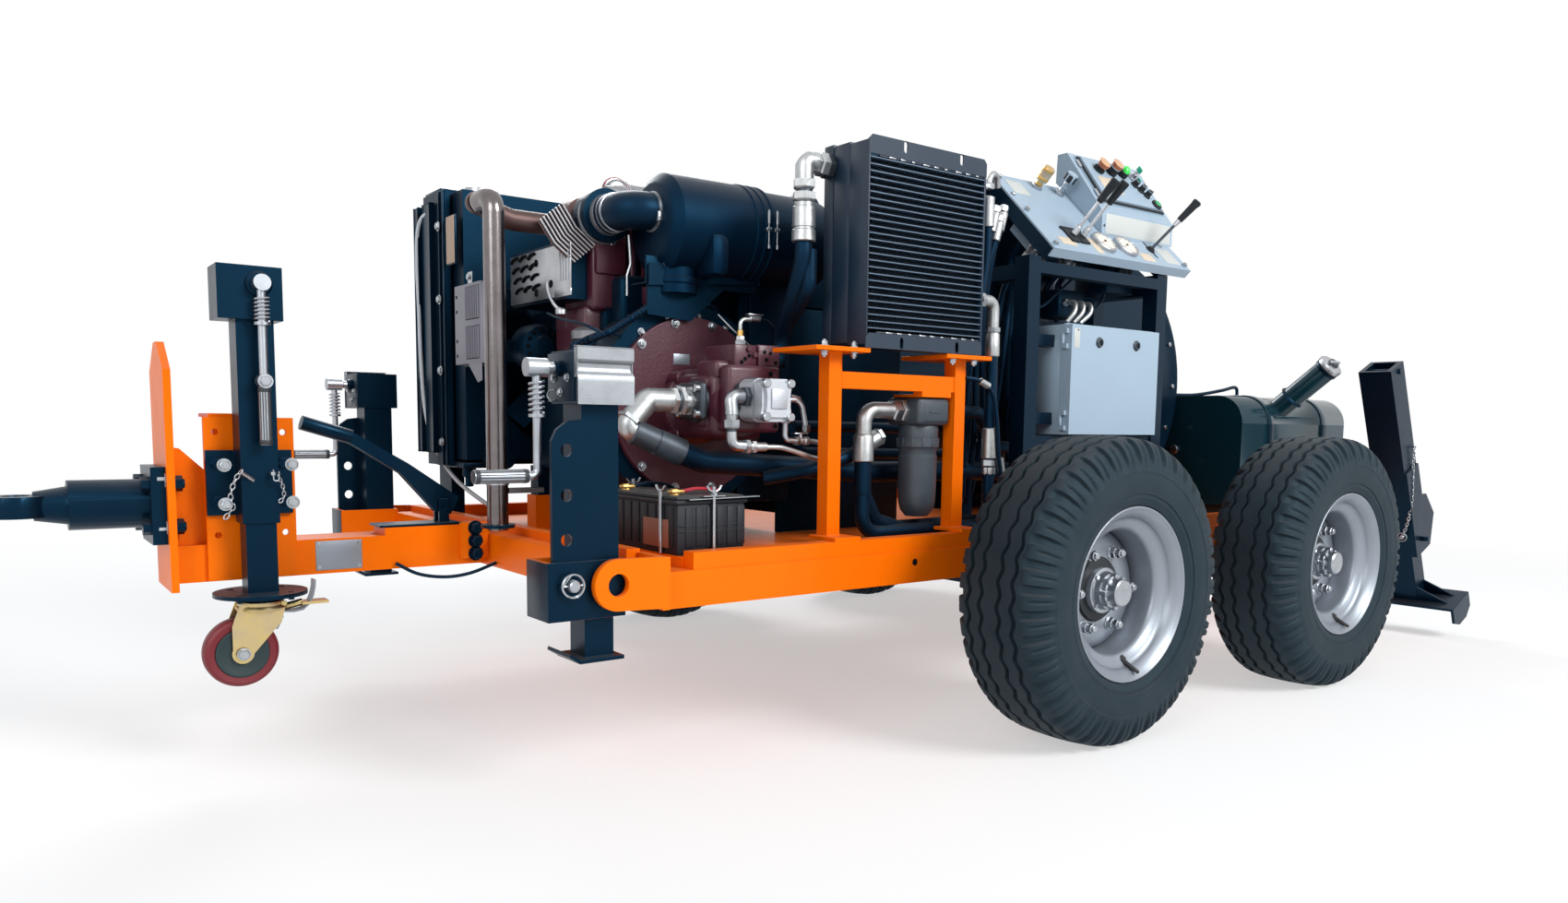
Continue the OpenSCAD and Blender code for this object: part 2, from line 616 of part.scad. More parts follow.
module cooler_stand() {
    color(orange) {
        for (x = [-652, -230]) {
            box([x, -700, strip_z + 8], [x + 40, -660, post_z]);
            box([x - 20, -756, strip_z], [x + 60, -655, strip_z + 9]);
        }
        for (x = [-725, -303]) box([x, -742, post_z - 1], [x + 165, -572, cooler_z]);
        box([-613, -698, 860], [-229, -664, 900]);
        box([-344, -698, 846.2], [-240, -590, 854]);
        box([-344, -698, 853], [-240, -664, 861]);
    }
}

module oil_cooler() {
    top = cooler_z + cooler_h;
    x1 = cooler_x + cooler_w;
    color(black) {
        for (x = [cooler_x, x1 - 34])
            box([x, -728, cooler_z + 8], [x + 34, -640, top - 8]);
        box([cooler_x, -742, cooler_z], [x1, -640, cooler_z + 9]);
        box([cooler_x, -742, top - 9], [x1, -640, top]);
        box([cooler_x + 8, -641, cooler_z + 4], [x1 - 8, -576, top - 4]);
        for (i = [0:25])
            box([cooler_x + 33, -720, cooler_z + 26 + i * 17], [x1 - 33, -640, cooler_z + 36 + i * 17]);
    }
    color(zinc) {
        pipe([[cooler_x + 10, -610, 1394], [cooler_x - 87, -610, 1394], [cooler_x - 87, -610, 1190]], 22, 34);
        rod([cooler_x - 22, -610, 1394], [cooler_x - 50, -610, 1394], 28);
        rod([cooler_x - 87, -610, 1300], [cooler_x - 87, -610, 1262], 28);
        pipe([[x1 - 1, -690, 1105], [x1 + 74, -690, 1105], [x1 + 74, -690, 962]], 15, 34);
        rod([x1 + 10, -690, 1105], [x1 + 32, -690, 1105], 20);
        rod([x1 + 74, -690, 1030], [x1 + 74, -690, 962], 19);
    }
}

module return_filter() {
    x = -290;
    y = -630;
    color([0.2, 0.22, 0.24]) {
        box([x - 58, y - 62, 775], [x + 52, y + 62, 846]);
        translate([x, y, 560]) cylinder(h = 216, d = bowl_d);
        translate([x, y, 536]) cylinder(h = 25, d1 = 84, d2 = bowl_d - 8);
        translate([x, y, 740]) cylinder(h = 20, r = bowl_d / 2 + 3);
    }
    color(zinc) {
        pipe([[x - 57, y, 812], [x - 190, y, 812], [x - 190, y, 700]], 20, 36);
        rod([x - 72, y, 812], [x - 100, y, 812], 27);
        rod([x + 51, y, 812], [x + 84, y, 812], 24);
        rod([x - 190, y, 735], [x - 190, y, 700], 26);
    }
}

module engine_block() {
    x = engine_x;
    color(black) {
        box([x - 165, -149, 640], [x + 165, 300, 1080]);
        box([x - 120, -70, 500], [x + 120, 230, 641]);
        box([x - 130, -140, 1079], [x + 120, 292, 1170]);
        box([x - 105, -120, 1169], [x + 95, 280, 1225]);
        for (y = [-140, 240]) box([x - 180, y + 4, 560], [x + 180, y + 56, 645]);
        translate([x, disc_y + 20, crank_z]) rotate([-90, 0, 0]) cylinder(h = 142, r = 262);
    }
    color(maroon) {
        box([x - 85, -235, 1070], [x + 60, -148, 1134]);
        box([x - 85, -160, 1133], [x + 60, -139, 1235]);
    }
    color([0.5, 0.36, 0.3]) {
        rod([x - 290, -90, 1268], [x - 205, -90, 1268], 26);
        box([x - 262, -120, 1180], [x - 100, 215, 1230]);
        box([x - 262, -120, 1086], [x - 168, 215, 1181]);
    }
    color(steel) {
        translate([x - 180, -190, 1292]) rotate([-90, 0, 0]) cylinder(h = 62, r = 66);
        translate([x - 180, -130, 1292]) rotate([-90, 0, 0]) cylinder(h = 70, r = 50);
        rod([x - 160, -92, 1298], [x + 30, -92, 1298], 24);
        box([x - 30, -120, 1220], [x + 60, -40, 1324]);
    }
    translate([x, 299, crank_z + 160]) rotate([-90, 0, 0]) cylinder(h = 34, r = 40);
    translate([x, 299, crank_z + 160]) rotate([-90, 0, 0]) cylinder(h = 85.6, r = 18);
}

module radiator() {
    x0 = engine_x - 363;
    x1 = engine_x + 363;
    fan_z = crank_z + 160;
    color(black) {
        difference() {
            box([x0, 500, 640], [x1, 640, 1440]);
            box([x0 + 40, 499, 700], [x1 - 40, 512, 1380]);
            box([x0 + 40, 628, 700], [x1 - 40, 641, 1380]);
            box([x0 + 8, 520, 660], [x1 - 8, 620, 1420]);
        }
        difference() {
            box([x0 + 10, 345, 660], [x1 - 10, 501, 1420]);
            box([x0 + 22, 357, 672], [x1 - 22, 502, 1408]);
            translate([engine_x, 330, fan_z]) rotate([-90, 0, 0]) cylinder(h = 60, r = 296);
        }
        for (x = [x0 + 20, x1 - 60]) box([x, 500, deck_z], [x + 40, 600, 641]);
        for (s = [x0 - 14, x1 - 2]) box([s, 420, 640], [s + 16, 520, 1430]);
    }
    color(pale) box([x0 - 12, 100, 922], [x0 + 8, 294, 1144]);
    color(black) box([x0 + 7, 130, 960], [x0 + 40, 346, 1010]);
}

module engine_fan() {
    fan_z = crank_z + 160;
    color(rubber) translate([engine_x, 0, fan_z]) {
        translate([0, 345, 0]) rotate([-90, 0, 0]) difference() {
            cylinder(h = 60, r = 62);
            translate([0, 0, -1]) cylinder(h = 41, r = 18.06);
        }
        for (i = [0:7]) rotate([0, 45 * i, 0]) translate([58, 362, 0]) rotate([28, 0, 0])
            box([0, -5, -38], [225, 5, 38]);
    }
}

module air_cleaner() {
    z = 1264;
    y = -290;
    color(black) {
        translate([-872, y, z]) rotate([0, 90, 0]) cylinder(h = 327, d = cleaner_d);
        translate([-560, y, z]) rotate([0, 90, 0]) cylinder(h = 175, r = cleaner_d / 2 - 6);
        translate([-892, y, z]) rotate([0, 90, 0]) cylinder(h = 21, r1 = cleaner_d / 2 - 22, r2 = cleaner_d / 2);
        translate([-835, y - 20, z - 165]) cylinder(h = 80, r = 58);
        for (x = [-640, -600]) translate([x, y, z]) rotate([0, 90, 0]) cylinder(h = 16, r = cleaner_d / 2 + 4);
        box([-640, y - 40, 1096], [-400, y + 90, 1150]);
        box([-600, -235, 1030], [-480, -150, 1097]);
        box([-660, -200, 1062], [-590, -149.2, 1077]);
    }
}

module intake_hose() {
    color(rubber) pipe([[-962, -191, 1292], [-962, -300, 1292], [-892.3, -300, 1292]], 46, 54);
    color(zinc) {
        translate([-962, -205, 1292]) rotate([90, 0, 0]) cylinder(h = 12, r = 49);
    }
}

module exhaust_stack() {
    color([0.75, 0.68, 0.62]) pipe([[-1268, -205, 512], [-1268, -205, 1296], [-1268, -90, 1296],
        [-1180, -90, 1268], [-1072.4, -90, 1268]], stack_d / 2, 40);
    color(black) box([-1245, -220, 600], [-1155, -190, 612]);
}

module pump_adapter() {
    color(maroon) difference() {
        translate([engine_x, disc_y, crank_z]) rotate([-90, 0, 0]) cylinder(h = 20, d = disc_d);
        translate([engine_x, disc_y - 1, crank_z]) rotate([-90, 0, 0]) cylinder(h = 22, r = 40);
    }
    color(zinc) for (i = [0:11]) translate([engine_x, disc_y, crank_z]) rotate([0, 15 + 30 * i, 0])
        translate([disc_pcd / 2, 0, 0]) rotate([90, 0, 0]) cylinder(h = 7, r = 8, $fn = 6);
}

module main_pump() {
    x = engine_x;
    color(maroon) {
        translate([x, disc_y, crank_z]) rotate([90, 0, 0]) cylinder(h = 34, r = 96);
        box([x - 82, -520, crank_z - 84], [x + 82, -343, crank_z + 84]);
        box([x - 62, -562, crank_z - 64], [x + 92, -519, crank_z + 96]);
        box([x - 30, -540, crank_z + 83], [x + 104, -400, crank_z + 148]);
        translate([x, -290, crank_z]) rotate([90, 0, 0]) cylinder(h = 21, r = 39);
    }
    color(zinc) {
        rod([x - 81, -455, crank_z + 10], [x - 108, -455, crank_z + 10], 52);
        rod([x - 107, -455, crank_z + 10], [x - 124, -455, crank_z + 10], 40);
        rod([x + 20, -470, crank_z + 147], [x + 20, -470, crank_z + 215], 9);
        rod([x + 20, -470, crank_z + 206], [x + 62, -470, crank_z + 214], 8);
    }
}

module gear_pump() {
    x = engine_x;
    z = crank_z + 12;
    color(zinc) {
        translate([x, -562, z]) rotate([90, 0, 0]) rotate([0, 0, 22.5]) cylinder(h = 108, r = 56, $fn = 8);
        translate([x, -669, z]) rotate([90, 0, 0]) cylinder(h = 16, r = 40);
        for (a = [45, 135, 225, 315]) translate([x + 38 * cos(a), -669, z + 38 * sin(a)]) rotate([90, 0, 0])
            cylinder(h = 12, r = 8, $fn = 6);
        pipe([[x - 50, -620, z], [x - 92, -620, z], [x - 92, -620, z - 90]], 13, 20);
        rod([x - 92, -620, z - 40], [x - 92, -620, z - 72], 18);
        pipe([[x + 50, -620, z - 6], [x + 118, -620, z - 6], [x + 118, -620, z - 80]], 11, 20);
        rod([x + 118, -620, z - 44], [x + 118, -620, z - 76], 16);
        pipe([[x - 92, -620, z - 88], [x - 92, -640, z - 120], [x + 118, -640, z - 106], [x + 118, -620, z - 78]], 8, 18);
    }
}

module suction_hose() {
    r = suction_d / 2;
    x = engine_x - 124.3;
    z = crank_z + 10;
    color(zinc) {
        pipe([[x, -455, z], [x - 88, -455, z], [x - 122, -462, z - 64]], r, 40);
        rod([x - 116, -461, z - 54], [x - 134, -464, z - 86], r + 7);
    }
    color(rubber) pipe([[x - 130, -463, z - 78], [x - 148, -468, z - 112], [x + 34, -500, 701],
        [x + 534, -520, 650], [760, -520, 640], [760, -350.3, 640]], r - 3, 60);
}

// Point under the valve block below the panel: X along the panel, w out of its face
function valve_at(x, w) = [x, panel_y + (165 - w) * cos(45), panel_z + (165 + w) * cos(45)];

module pressure_hoses() {
    x = engine_x + 82.3;
    z = crank_z + 10;
    color(rubber) {
        pipe([[x, -440, z], [x + 100, -440, z], [x + 160, -440, 700], [0, -400, 690], [205, -380, 700],
            [205, valve_at(0, -150)[1], 860], valve_at(205, -150), valve_at(205, -90.3)], 15, 45);
        pipe([[x, -400, z + 40], [x + 100, -400, z + 40], [x + 160, -400, 770], [0, -360, 765], [262, -360, 775],
            [262, valve_at(0, -150)[1], 930], valve_at(262, -150), valve_at(262, -90.3)], 15, 45);
        for (i = [0:3]) let (u = 320 + i * 52)
            pipe([[u, -450, 1101], valve_at(u, 165 - (-450 - panel_y) / cos(45)), valve_at(u, -100)], 11, 30);
    }
    color(zinc) for (i = [0:3]) let (u = 320 + i * 52)
        rod(valve_at(u, -140), valve_at(u, -90.3), 16);
}

module return_hoses() {
    x1 = cooler_x + cooler_w;
    color(rubber) {
        pipe([[cooler_x - 87, -610, 1189.6], [cooler_x - 87, -610, 1100], [-620, -470, 1000], [-620, -470, 930],
            [-677.6, -470, 930]], 18, 34);
        pipe([[x1 + 74, -690, 961.6], [x1 + 74, -690, 590], [20, -600, 545], [880, -600, 545], [880, -350.3, 545]], 16, 60);
        pipe([[-480, -630, 699.6], [-480, -630, 500], [0, -630, 500], [140, -560, 500], [420, -455, 560],
            [600, -455, 690], [600, -350.3, 690]], 19, 50);
        pipe([[-205.6, -630, 812], [-60, -630, 812], [60, -575, 715], [820, -575, 710], [820, -350.3, 710]], 17, 40);
        pipe([[-760, -694, 477.3], [-560, -688, 477.3], [-300, -693, 477.3], [-120, -688, 477.3], [400, -690, 477.3]],
            13, 400);
    }
}

module panel_stand() {
    color(black) {
        for (x = [45, 640]) {
            box([x, -700, strip_z], [x + 50, -650, 1240]);
            box([x, -470, deck_z], [x + 50, -420, 1478]);
            box([x, -651, 1180], [x + 50, -469, 1220]);
            box([x - 15, -752, strip_z], [x + 65, -640, strip_z + 8]);
        }
        box([94, -695, 720], [641, -665, 750]);
        box([94, -465, 1060], [641, -435, 1100.7]);
        // rails below the panel
        box([45, -700, 1196], [690, -664, 1228]);
        box([45, -465, 1440], [690, -425, 1470]);
        for (x = [14, 534]) on_panel() box([x, 4.3, -46], [x + 38, panel_len - 4, -0.3]);
    }
}

// Frame on the sloping panel: X along it, Y up the slope, Z out of it
module on_panel() {
    translate([panel_x, panel_y, panel_z]) rotate([45, 0, 0]) children();
}

module control_panel() {
    color(pale) on_panel() difference() {
        union() {
            cube([panel_w, panel_len, 5]);
            box([0, 0, -24], [panel_w, 4, 1]);
        }
        for (x = [134, 176]) translate([x, 72, -1]) cylinder(h = 8, r = 12.4);
        translate([519, 78, -1]) cylinder(h = 8, r = 12.4);
    }
    color(zinc) on_panel() {
        for (x = [272, 378]) translate([x, 64, 5]) difference() {
            cylinder(h = 10, r = 42);
            translate([0, 0, 4]) cylinder(h = 8, r = 37);
        }
        for (p = [[18, 20], [18, 170], [18, 322], [panel_w - 18, 20]])
            translate([p[0], p[1], 5]) cylinder(h = 5, r = 8, $fn = 6);
        translate([178, 312, 4]) cylinder(h = 36, r = 7);
    }
    color(zinc) on_panel() box([64, 120, -90], [400, 215, 0.5]);
    color([0.72, 0.6, 0.42]) on_panel() translate([178, 312, 30]) cylinder(h = 44, r = 17);
    color(zinc) on_panel() translate([272, 300, 4]) cylinder(h = 56, r = 7);
    color(black) on_panel() translate([272, 300, 52]) cylinder(h = 26, r = 17);
}

// Side outline of the control box, in Y and Z
function box_side() = [[-644, 1344.5], [-644, 1414], [-506, 1606], [-470, 1606], [-466, 1522.5]];

module control_box() {
    color(pale) difference() {
        translate([431, 0, 0]) rotate([90, 0, 90]) difference() {
            linear_extrude(358) polygon(box_side());
            translate([0, 0, 3]) linear_extrude(352)
                polygon([[-641, 1352], [-641, 1413], [-504.5, 1603], [-473, 1603], [-469, 1524]]);
        }
        on_lid() box([26, 40, -10], [332, 216, 1]);
    }
}

// Frame on the control box's sloping front: X along it, Y up the slope, Z out of it
module on_lid() {
    translate([431, -644, 1414]) rotate([54.3, 0, 0]) children();
}

module box_lid() {
    color(pale) on_lid() difference() {
        union() {
            box([20, 34, 0.4], [338, 222, 3]);
            box([34, 44, 2], [324, 212, 13]);
        }
        translate([90, 170, -1]) cylinder(h = 20, r = 13.06);
        translate([304, 62, -1]) cylinder(h = 20, r = 13.06);
        translate([260, 170, -1]) cylinder(h = 20, r = 11.06);
    }
    color([0.3, 0.1, 0.05]) on_lid() {
        translate([150, 170, 12]) cylinder(h = 24, r = 14);
        translate([150, 170, 35]) cylinder(h = 16, r1 = 18, r2 = 20);
        translate([205, 170, 12]) cylinder(h = 20, r = 14);
    }
    color(black) on_lid() for (i = [0:2]) translate([246 + i * 16, 136 - i * 20, 12]) cylinder(h = 22, r = 9);
}

module stop_button() {
    color([0.55, 0.2, 0.1]) on_lid() translate([90, 170, 0]) {
        translate([0, 0, 2]) cylinder(h = 26, r = 13);
        translate([0, 0, 28]) cylinder(h = 18, r1 = 17, r2 = 21);
    }
}

module start_button() {
    color([0.1, 0.6, 0.35]) on_lid() translate([304, 62, 2]) cylinder(h = 22, r = 13);
}

module key_switch() {
    color([0.1, 0.55, 0.35]) on_lid() translate([260, 170, 2]) {
        cylinder(h = 30, r = 11);
        box([-2.5, -11, 29], [2.5, 11, 52]);
    }
}

// Hand lever standing out of the panel from a ball at its foot
module lever(x, y, tilt) {
    on_panel() translate([x, y, 4]) {
        color(black) translate([0, 0, 2]) sphere(r = 12);
        rotate([-6, tilt, 0]) {
            color(zinc) cylinder(h = 130, r = 4.5);
            color(black) translate([0, 0, 118]) cylinder(h = 72, r1 = 10, r2 = 14);
        }
    }
}

module cabinet() {
    color(pale) difference() {
        box([cab_x, cab_y + 22, cab_z], [cab_x + cabinet_w, cab_y + 190, cab_z + cabinet_h]);
        box([cab_x + 14, cab_y + 20, cab_z + 14], [cab_x + cabinet_w - 14, cab_y + 188, cab_z + cabinet_h - 14]);
    }
    color(zinc) for (z = [40, cabinet_h - 40]) difference() {
        union() {
            translate([cab_x - 5, cab_y + 26, cab_z + z - 14]) cylinder(h = 28, r = 5);
            box([cab_x - 5, cab_y + 25, cab_z + z - 14], [cab_x + 1, cab_y + 30, cab_z + z + 14]);
        }
        translate([cab_x - 5, cab_y + 26, cab_z + z - 15]) cylinder(h = 30, r = 2.56);
    }
    color(black) for (z = [30, cabinet_h - 60])
        box([95.2, cab_y + 60, cab_z + z], [cab_x + 1, cab_y + 88, cab_z + z + 30]);
}

module cabinet_door() {
    color(pale) box([cab_x + 1, cab_y, cab_z + 1], [cab_x + cabinet_w - 1, cab_y + 21.6, cab_z + cabinet_h - 1]);
    color(zinc) for (x = [124, 300]) translate([cab_x + x, cab_y + 2, cab_z + cabinet_h - 46]) rotate([90, 0, 0])
        cylinder(h = 9, r = 11);
    color(zinc) for (z = [40, cabinet_h - 40]) {
        translate([cab_x - 5, cab_y + 26, cab_z + z - 28]) cylinder(h = 56, r = 2.5);
        for (s = [-28, 14.4]) {
            box([cab_x - 9, cab_y + 10, cab_z + z + s], [cab_x - 0.5, cab_y + 28, cab_z + z + s + 13.4]);
            box([cab_x - 9, cab_y + 10, cab_z + z + s], [cab_x + 2, cab_y + 21.6, cab_z + z + s + 13.4]);
        }
    }
}

module fuel_tank() {
    x0 = fuel_x;
    y0 = -607;
    y1 = -80;
    z0 = 500;
    color(black) {
        translate([x0, 0, 0]) rotate([90, 0, 90]) difference() {
            linear_extrude(fuel_len) union() {
                for (y = [y0 + fuel_r, y1 - fuel_r]) for (z = [z0 + fuel_r, z0 + fuel_h - fuel_r])
                    translate([y, z]) circle(r = fuel_r);
                polygon([[y0 + fuel_r, z0], [y1 - fuel_r, z0], [y1, z0 + fuel_r], [y1, z0 + fuel_h - fuel_r],
                    [y1 - fuel_r, z0 + fuel_h], [y0 + fuel_r, z0 + fuel_h], [y0, z0 + fuel_h - fuel_r], [y0, z0 + fuel_r]]);
            }
            translate([0, 0, 12]) linear_extrude(fuel_len - 24) polygon([
                [y0 + 60, z0 + 30], [y1 - 60, z0 + 30], [y1 - 16, z0 + 90], [y1 - 16, z0 + fuel_h - 90],
                [y1 - 60, z0 + fuel_h - 30], [y0 + 60, z0 + fuel_h - 30], [y0 + 16, z0 + fuel_h - 90], [y0 + 16, z0 + 90]]);
        }
        for (x = [x0 + 170, x0 + 560]) translate([x, 0, 0]) rotate([90, 0, 90]) difference() {
            linear_extrude(36) union() {
                for (y = [y0 + fuel_r, y1 - fuel_r]) for (z = [z0 + fuel_r, z0 + fuel_h - fuel_r])
                    translate([y, z]) circle(r = fuel_r + 5);
                polygon([[y0 + fuel_r, z0 - 5], [y1 - fuel_r, z0 - 5], [y1 + 5, z0 + fuel_r], [y1 + 5, z0 + fuel_h - fuel_r],
                    [y1 - fuel_r, z0 + fuel_h + 5], [y0 + fuel_r, z0 + fuel_h + 5], [y0 - 5, z0 + fuel_h - fuel_r], [y0 - 5, z0 + fuel_r]]);
            }
            translate([0, 0, -1]) linear_extrude(38) polygon([
                [y0 + 60, z0 + 30], [y1 - 60, z0 + 30], [y1 - 16, z0 + 90], [y1 - 16, z0 + fuel_h - 90],
                [y1 - 60, z0 + fuel_h - 30], [y0 + 60, z0 + fuel_h - 30], [y0 + 16, z0 + fuel_h - 90], [y0 + 16, z0 + 90]]);
        }
        for (x = [x0 + 40, x0 + fuel_len - 100]) box([x, y0 + 60, deck_z], [x + 60, y1 - 60, z0 + 1]);
        rod([x0 + 300, -560, 840], [x0 + 300, neck_end[0], neck_end[1]], 40);
    }
}

module tank_cap() {
    a = neck_end - [-560, 840];
    u = a / norm(a);
    x = fuel_x + 300;
    at = function (t) [x, neck_end[0] + u[0] * t, neck_end[1] + u[1] * t];
    color(black) rod(at(0.3), at(22), 43);
    color(zinc) rod(at(21), at(30), 26);
    color(black) box(at(24) + [-32, -6, -2], at(30) + [32, 6, 14]);
}

module oil_tank() {
    color(black) translate([drum_x, 0, drum_z]) {
        rotate([90, 0, 0]) difference() {
            union() {
                cylinder(h = drum_len, r = drum_r - 14, center = true);
                for (s = [-1, 1]) translate([0, 0, s * (drum_len / 2 - 8)]) cylinder(h = 16, r = drum_r, center = true);
            }
            cylinder(h = drum_len - 16, r = drum_r - 20, center = true);
        }
    }
    color(black) for (y = [-260, 200]) difference() {
        box([drum_x - 260, y, deck_z], [drum_x + 260, y + 60, drum_z - 250]);
        translate([drum_x, 400, drum_z]) rotate([90, 0, 0]) cylinder(h = 800, r = drum_r - 15);
    }
    color(black) translate([drum_x - 120, -60, drum_z + drum_r - 20]) cylinder(h = 60, r = 60);
}

chassis_frame();
tow_coupling();
lynch_pins();
jack_outer();
jack_inner();
jack_crank();
caster_fork();
caster_wheel();
leg_outer();  // leg_outer_l
mirror([0, 1, 0]) leg_outer();  // leg_outer_r
leg_foot();  // leg_inner_l
mirror([0, 1, 0]) leg_foot();  // leg_inner_r
leg_crank();  // leg_crank_l
mirror([0, 1, 0]) leg_crank();  // leg_crank_r
spade_outer();  // spade_outer_l
mirror([0, 1, 0]) spade_outer();  // spade_outer_r
spade_foot();  // spade_inner_l
mirror([0, 1, 0]) spade_foot();  // spade_inner_r
axles();
at_wheel(axle_x, -1) tyre();  // tyre_fl
at_wheel(rear_axle_x, -1) tyre();  // tyre_rl
at_wheel(axle_x, 1) tyre();  // tyre_fr
at_wheel(rear_axle_x, 1) tyre();  // tyre_rr
at_wheel(axle_x, -1) rim();  // rim_fl
at_wheel(rear_axle_x, -1) rim();  // rim_rl
at_wheel(axle_x, 1) rim();  // rim_fr
at_wheel(rear_axle_x, 1) rim();  // rim_rr
handbrake_base();
handbrake_lever();
battery();
cooler_stand();
oil_cooler();
return_filter();
engine_block();
radiator();
engine_fan();
air_cleaner();
intake_hose();
exhaust_stack();
pump_adapter();
main_pump();
gear_pump();
suction_hose();
pressure_hoses();
return_hoses();
panel_stand();
control_panel();
control_box();
box_lid();
lever(134, 72, 12);  // lever_a
lever(176, 72, 12);  // lever_b
lever(519, 78, 22);  // lever_c
stop_button();
start_button();
key_switch();
cabinet();
cabinet_door();
fuel_tank();
tank_cap();
oil_tank();
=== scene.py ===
"""Tandem axle trailer with a diesel hydraulic power pack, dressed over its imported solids."""
from math import cos, degrees, pi, radians, sin, tan

import bpy
import bmesh
from mathutils import Matrix, Vector


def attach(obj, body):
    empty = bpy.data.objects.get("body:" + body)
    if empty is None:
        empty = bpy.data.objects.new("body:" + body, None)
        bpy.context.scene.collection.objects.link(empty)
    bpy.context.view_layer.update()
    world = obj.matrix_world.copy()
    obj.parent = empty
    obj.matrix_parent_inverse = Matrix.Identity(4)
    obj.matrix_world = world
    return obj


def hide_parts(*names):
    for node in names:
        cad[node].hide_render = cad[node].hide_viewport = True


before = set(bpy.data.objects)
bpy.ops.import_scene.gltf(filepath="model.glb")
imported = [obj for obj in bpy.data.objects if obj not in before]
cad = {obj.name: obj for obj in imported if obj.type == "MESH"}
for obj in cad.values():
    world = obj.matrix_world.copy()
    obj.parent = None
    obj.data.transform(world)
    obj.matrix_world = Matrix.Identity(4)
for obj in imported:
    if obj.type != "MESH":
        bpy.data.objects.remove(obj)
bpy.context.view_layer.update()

# ---------------------------------------------------------------- camera
# Standing height by the towing end, looking back along the left side of the trailer.
view_dir = Vector((0.60195, 0.79246, -0.09828))
yaw, roll = radians(37.22), radians(0.693)
eye_at = (-2.26229, -2.65109, 0.77236)
level_right = Vector((cos(yaw), -sin(yaw), 0.0))
level_up = level_right.cross(view_dir)
cam_right = (level_right * cos(roll) + level_up * sin(roll)).normalized()
cam_back = -view_dir.normalized()
cam_up = cam_back.cross(cam_right)
lens = bpy.data.cameras.new("view")
lens.sensor_width = 36.0
lens.lens = 24.456
lens.shift_y = 0.04996
lens.clip_start = 0.05
lens.clip_end = 200.0
eye = bpy.data.objects.new("view", lens)
eye.matrix_world = Matrix.Translation(eye_at) @ Matrix((cam_right, cam_up, cam_back)).transposed().to_4x4()
bpy.context.scene.collection.objects.link(eye)
bpy.context.scene.camera = eye

# ---------------------------------------------------------------- studio
# Pale floor that fades into a white surround, and three large soft lamps.


class Graph:
    """Node tree built call by call. A socket takes a number, a node or another socket."""

    def __init__(self, tree):
        self.tree = tree

    def node(self, kind, feeds=None, **settings):
        """New node with its settings, its sockets fed by name or number."""
        made = self.tree.nodes.new(kind)
        for name, value in settings.items():
            setattr(made, name, value)
        for socket, value in (feeds or {}).items():
            self.feed(made.inputs[socket], value)
        return made

    def feed(self, socket, value):
        """Link or value for one socket."""
        if isinstance(value, bpy.types.Node):
            value = value.outputs[0]
        if isinstance(value, bpy.types.NodeSocket):
            self.tree.links.new(value, socket)
        else:
            socket.default_value = value

    def math(self, operation, *terms):
        """Result of one sum on sockets and numbers."""
        return self.node("ShaderNodeMath", dict(enumerate(terms)), operation=operation).outputs[0]


scene = bpy.context.scene
scene.view_settings.view_transform = "Standard"
world = bpy.data.worlds.new("surround")
scene.world = world
world.use_nodes = True
world.node_tree.nodes.clear()
sky = Graph(world.node_tree)
ray = sky.node("ShaderNodeLightPath").outputs
shown = sky.math("MAXIMUM", sky.math("MAXIMUM", ray["Is Camera Ray"], ray["Is Glossy Ray"]),
    ray["Is Transmission Ray"])
sky.node("ShaderNodeOutputWorld", {"Surface": sky.node("ShaderNodeMixShader",
    {0: shown, 1: sky.node("ShaderNodeBackground", {"Color": (0.86, 0.93, 1.0, 1.0), "Strength": 0.38}),
    2: sky.node("ShaderNodeBackground", {"Color": (1.0, 1.0, 1.0, 1.0), "Strength": 1.0})})})

FLOOR_HALF = 60
FADE_FROM, FADE_TO = 2.6, 6.5
floor_mesh = bpy.data.meshes.new("floor")
floor_mesh.from_pydata([(x * FLOOR_HALF, y * FLOOR_HALF, 0) for x, y in ((-1, -1), (1, -1), (1, 1), (-1, 1))], [],
    [(0, 1, 2, 3)])
floor = bpy.data.objects.new("floor", floor_mesh)
scene.collection.objects.link(floor)
floor_mat = bpy.data.materials.new("pale_floor")
floor_mat.use_nodes = True
ground = Graph(floor_mat.node_tree)
matt = ground.tree.nodes["Principled BSDF"]
for socket, value in (("Base Color", (0.93, 0.93, 0.93, 1.0)), ("Roughness", 0.9), ("Specular IOR Level", 0.1)):
    matt.inputs[socket].default_value = value
away = ground.node("ShaderNodeVectorMath", {0: ground.node("ShaderNodeTexCoord").outputs["Object"]},
    operation="LENGTH")
fade = ground.node("ShaderNodeMapRange", {"Value": away.outputs["Value"], "From Min": FADE_FROM, "From Max": FADE_TO,
    "To Min": 0.5}, interpolation_type="SMOOTHSTEP")
ray = ground.node("ShaderNodeLightPath").outputs
shown = ground.math("MAXIMUM", ray["Is Camera Ray"], ray["Is Glossy Ray"])
ground.feed(ground.tree.nodes["Material Output"].inputs["Surface"], ground.node("ShaderNodeMixShader",
    {0: ground.math("MULTIPLY", shown, fade.outputs["Result"]), 1: matt, 2: ground.node("ShaderNodeEmission")}))
floor_mesh.materials.append(floor_mat)

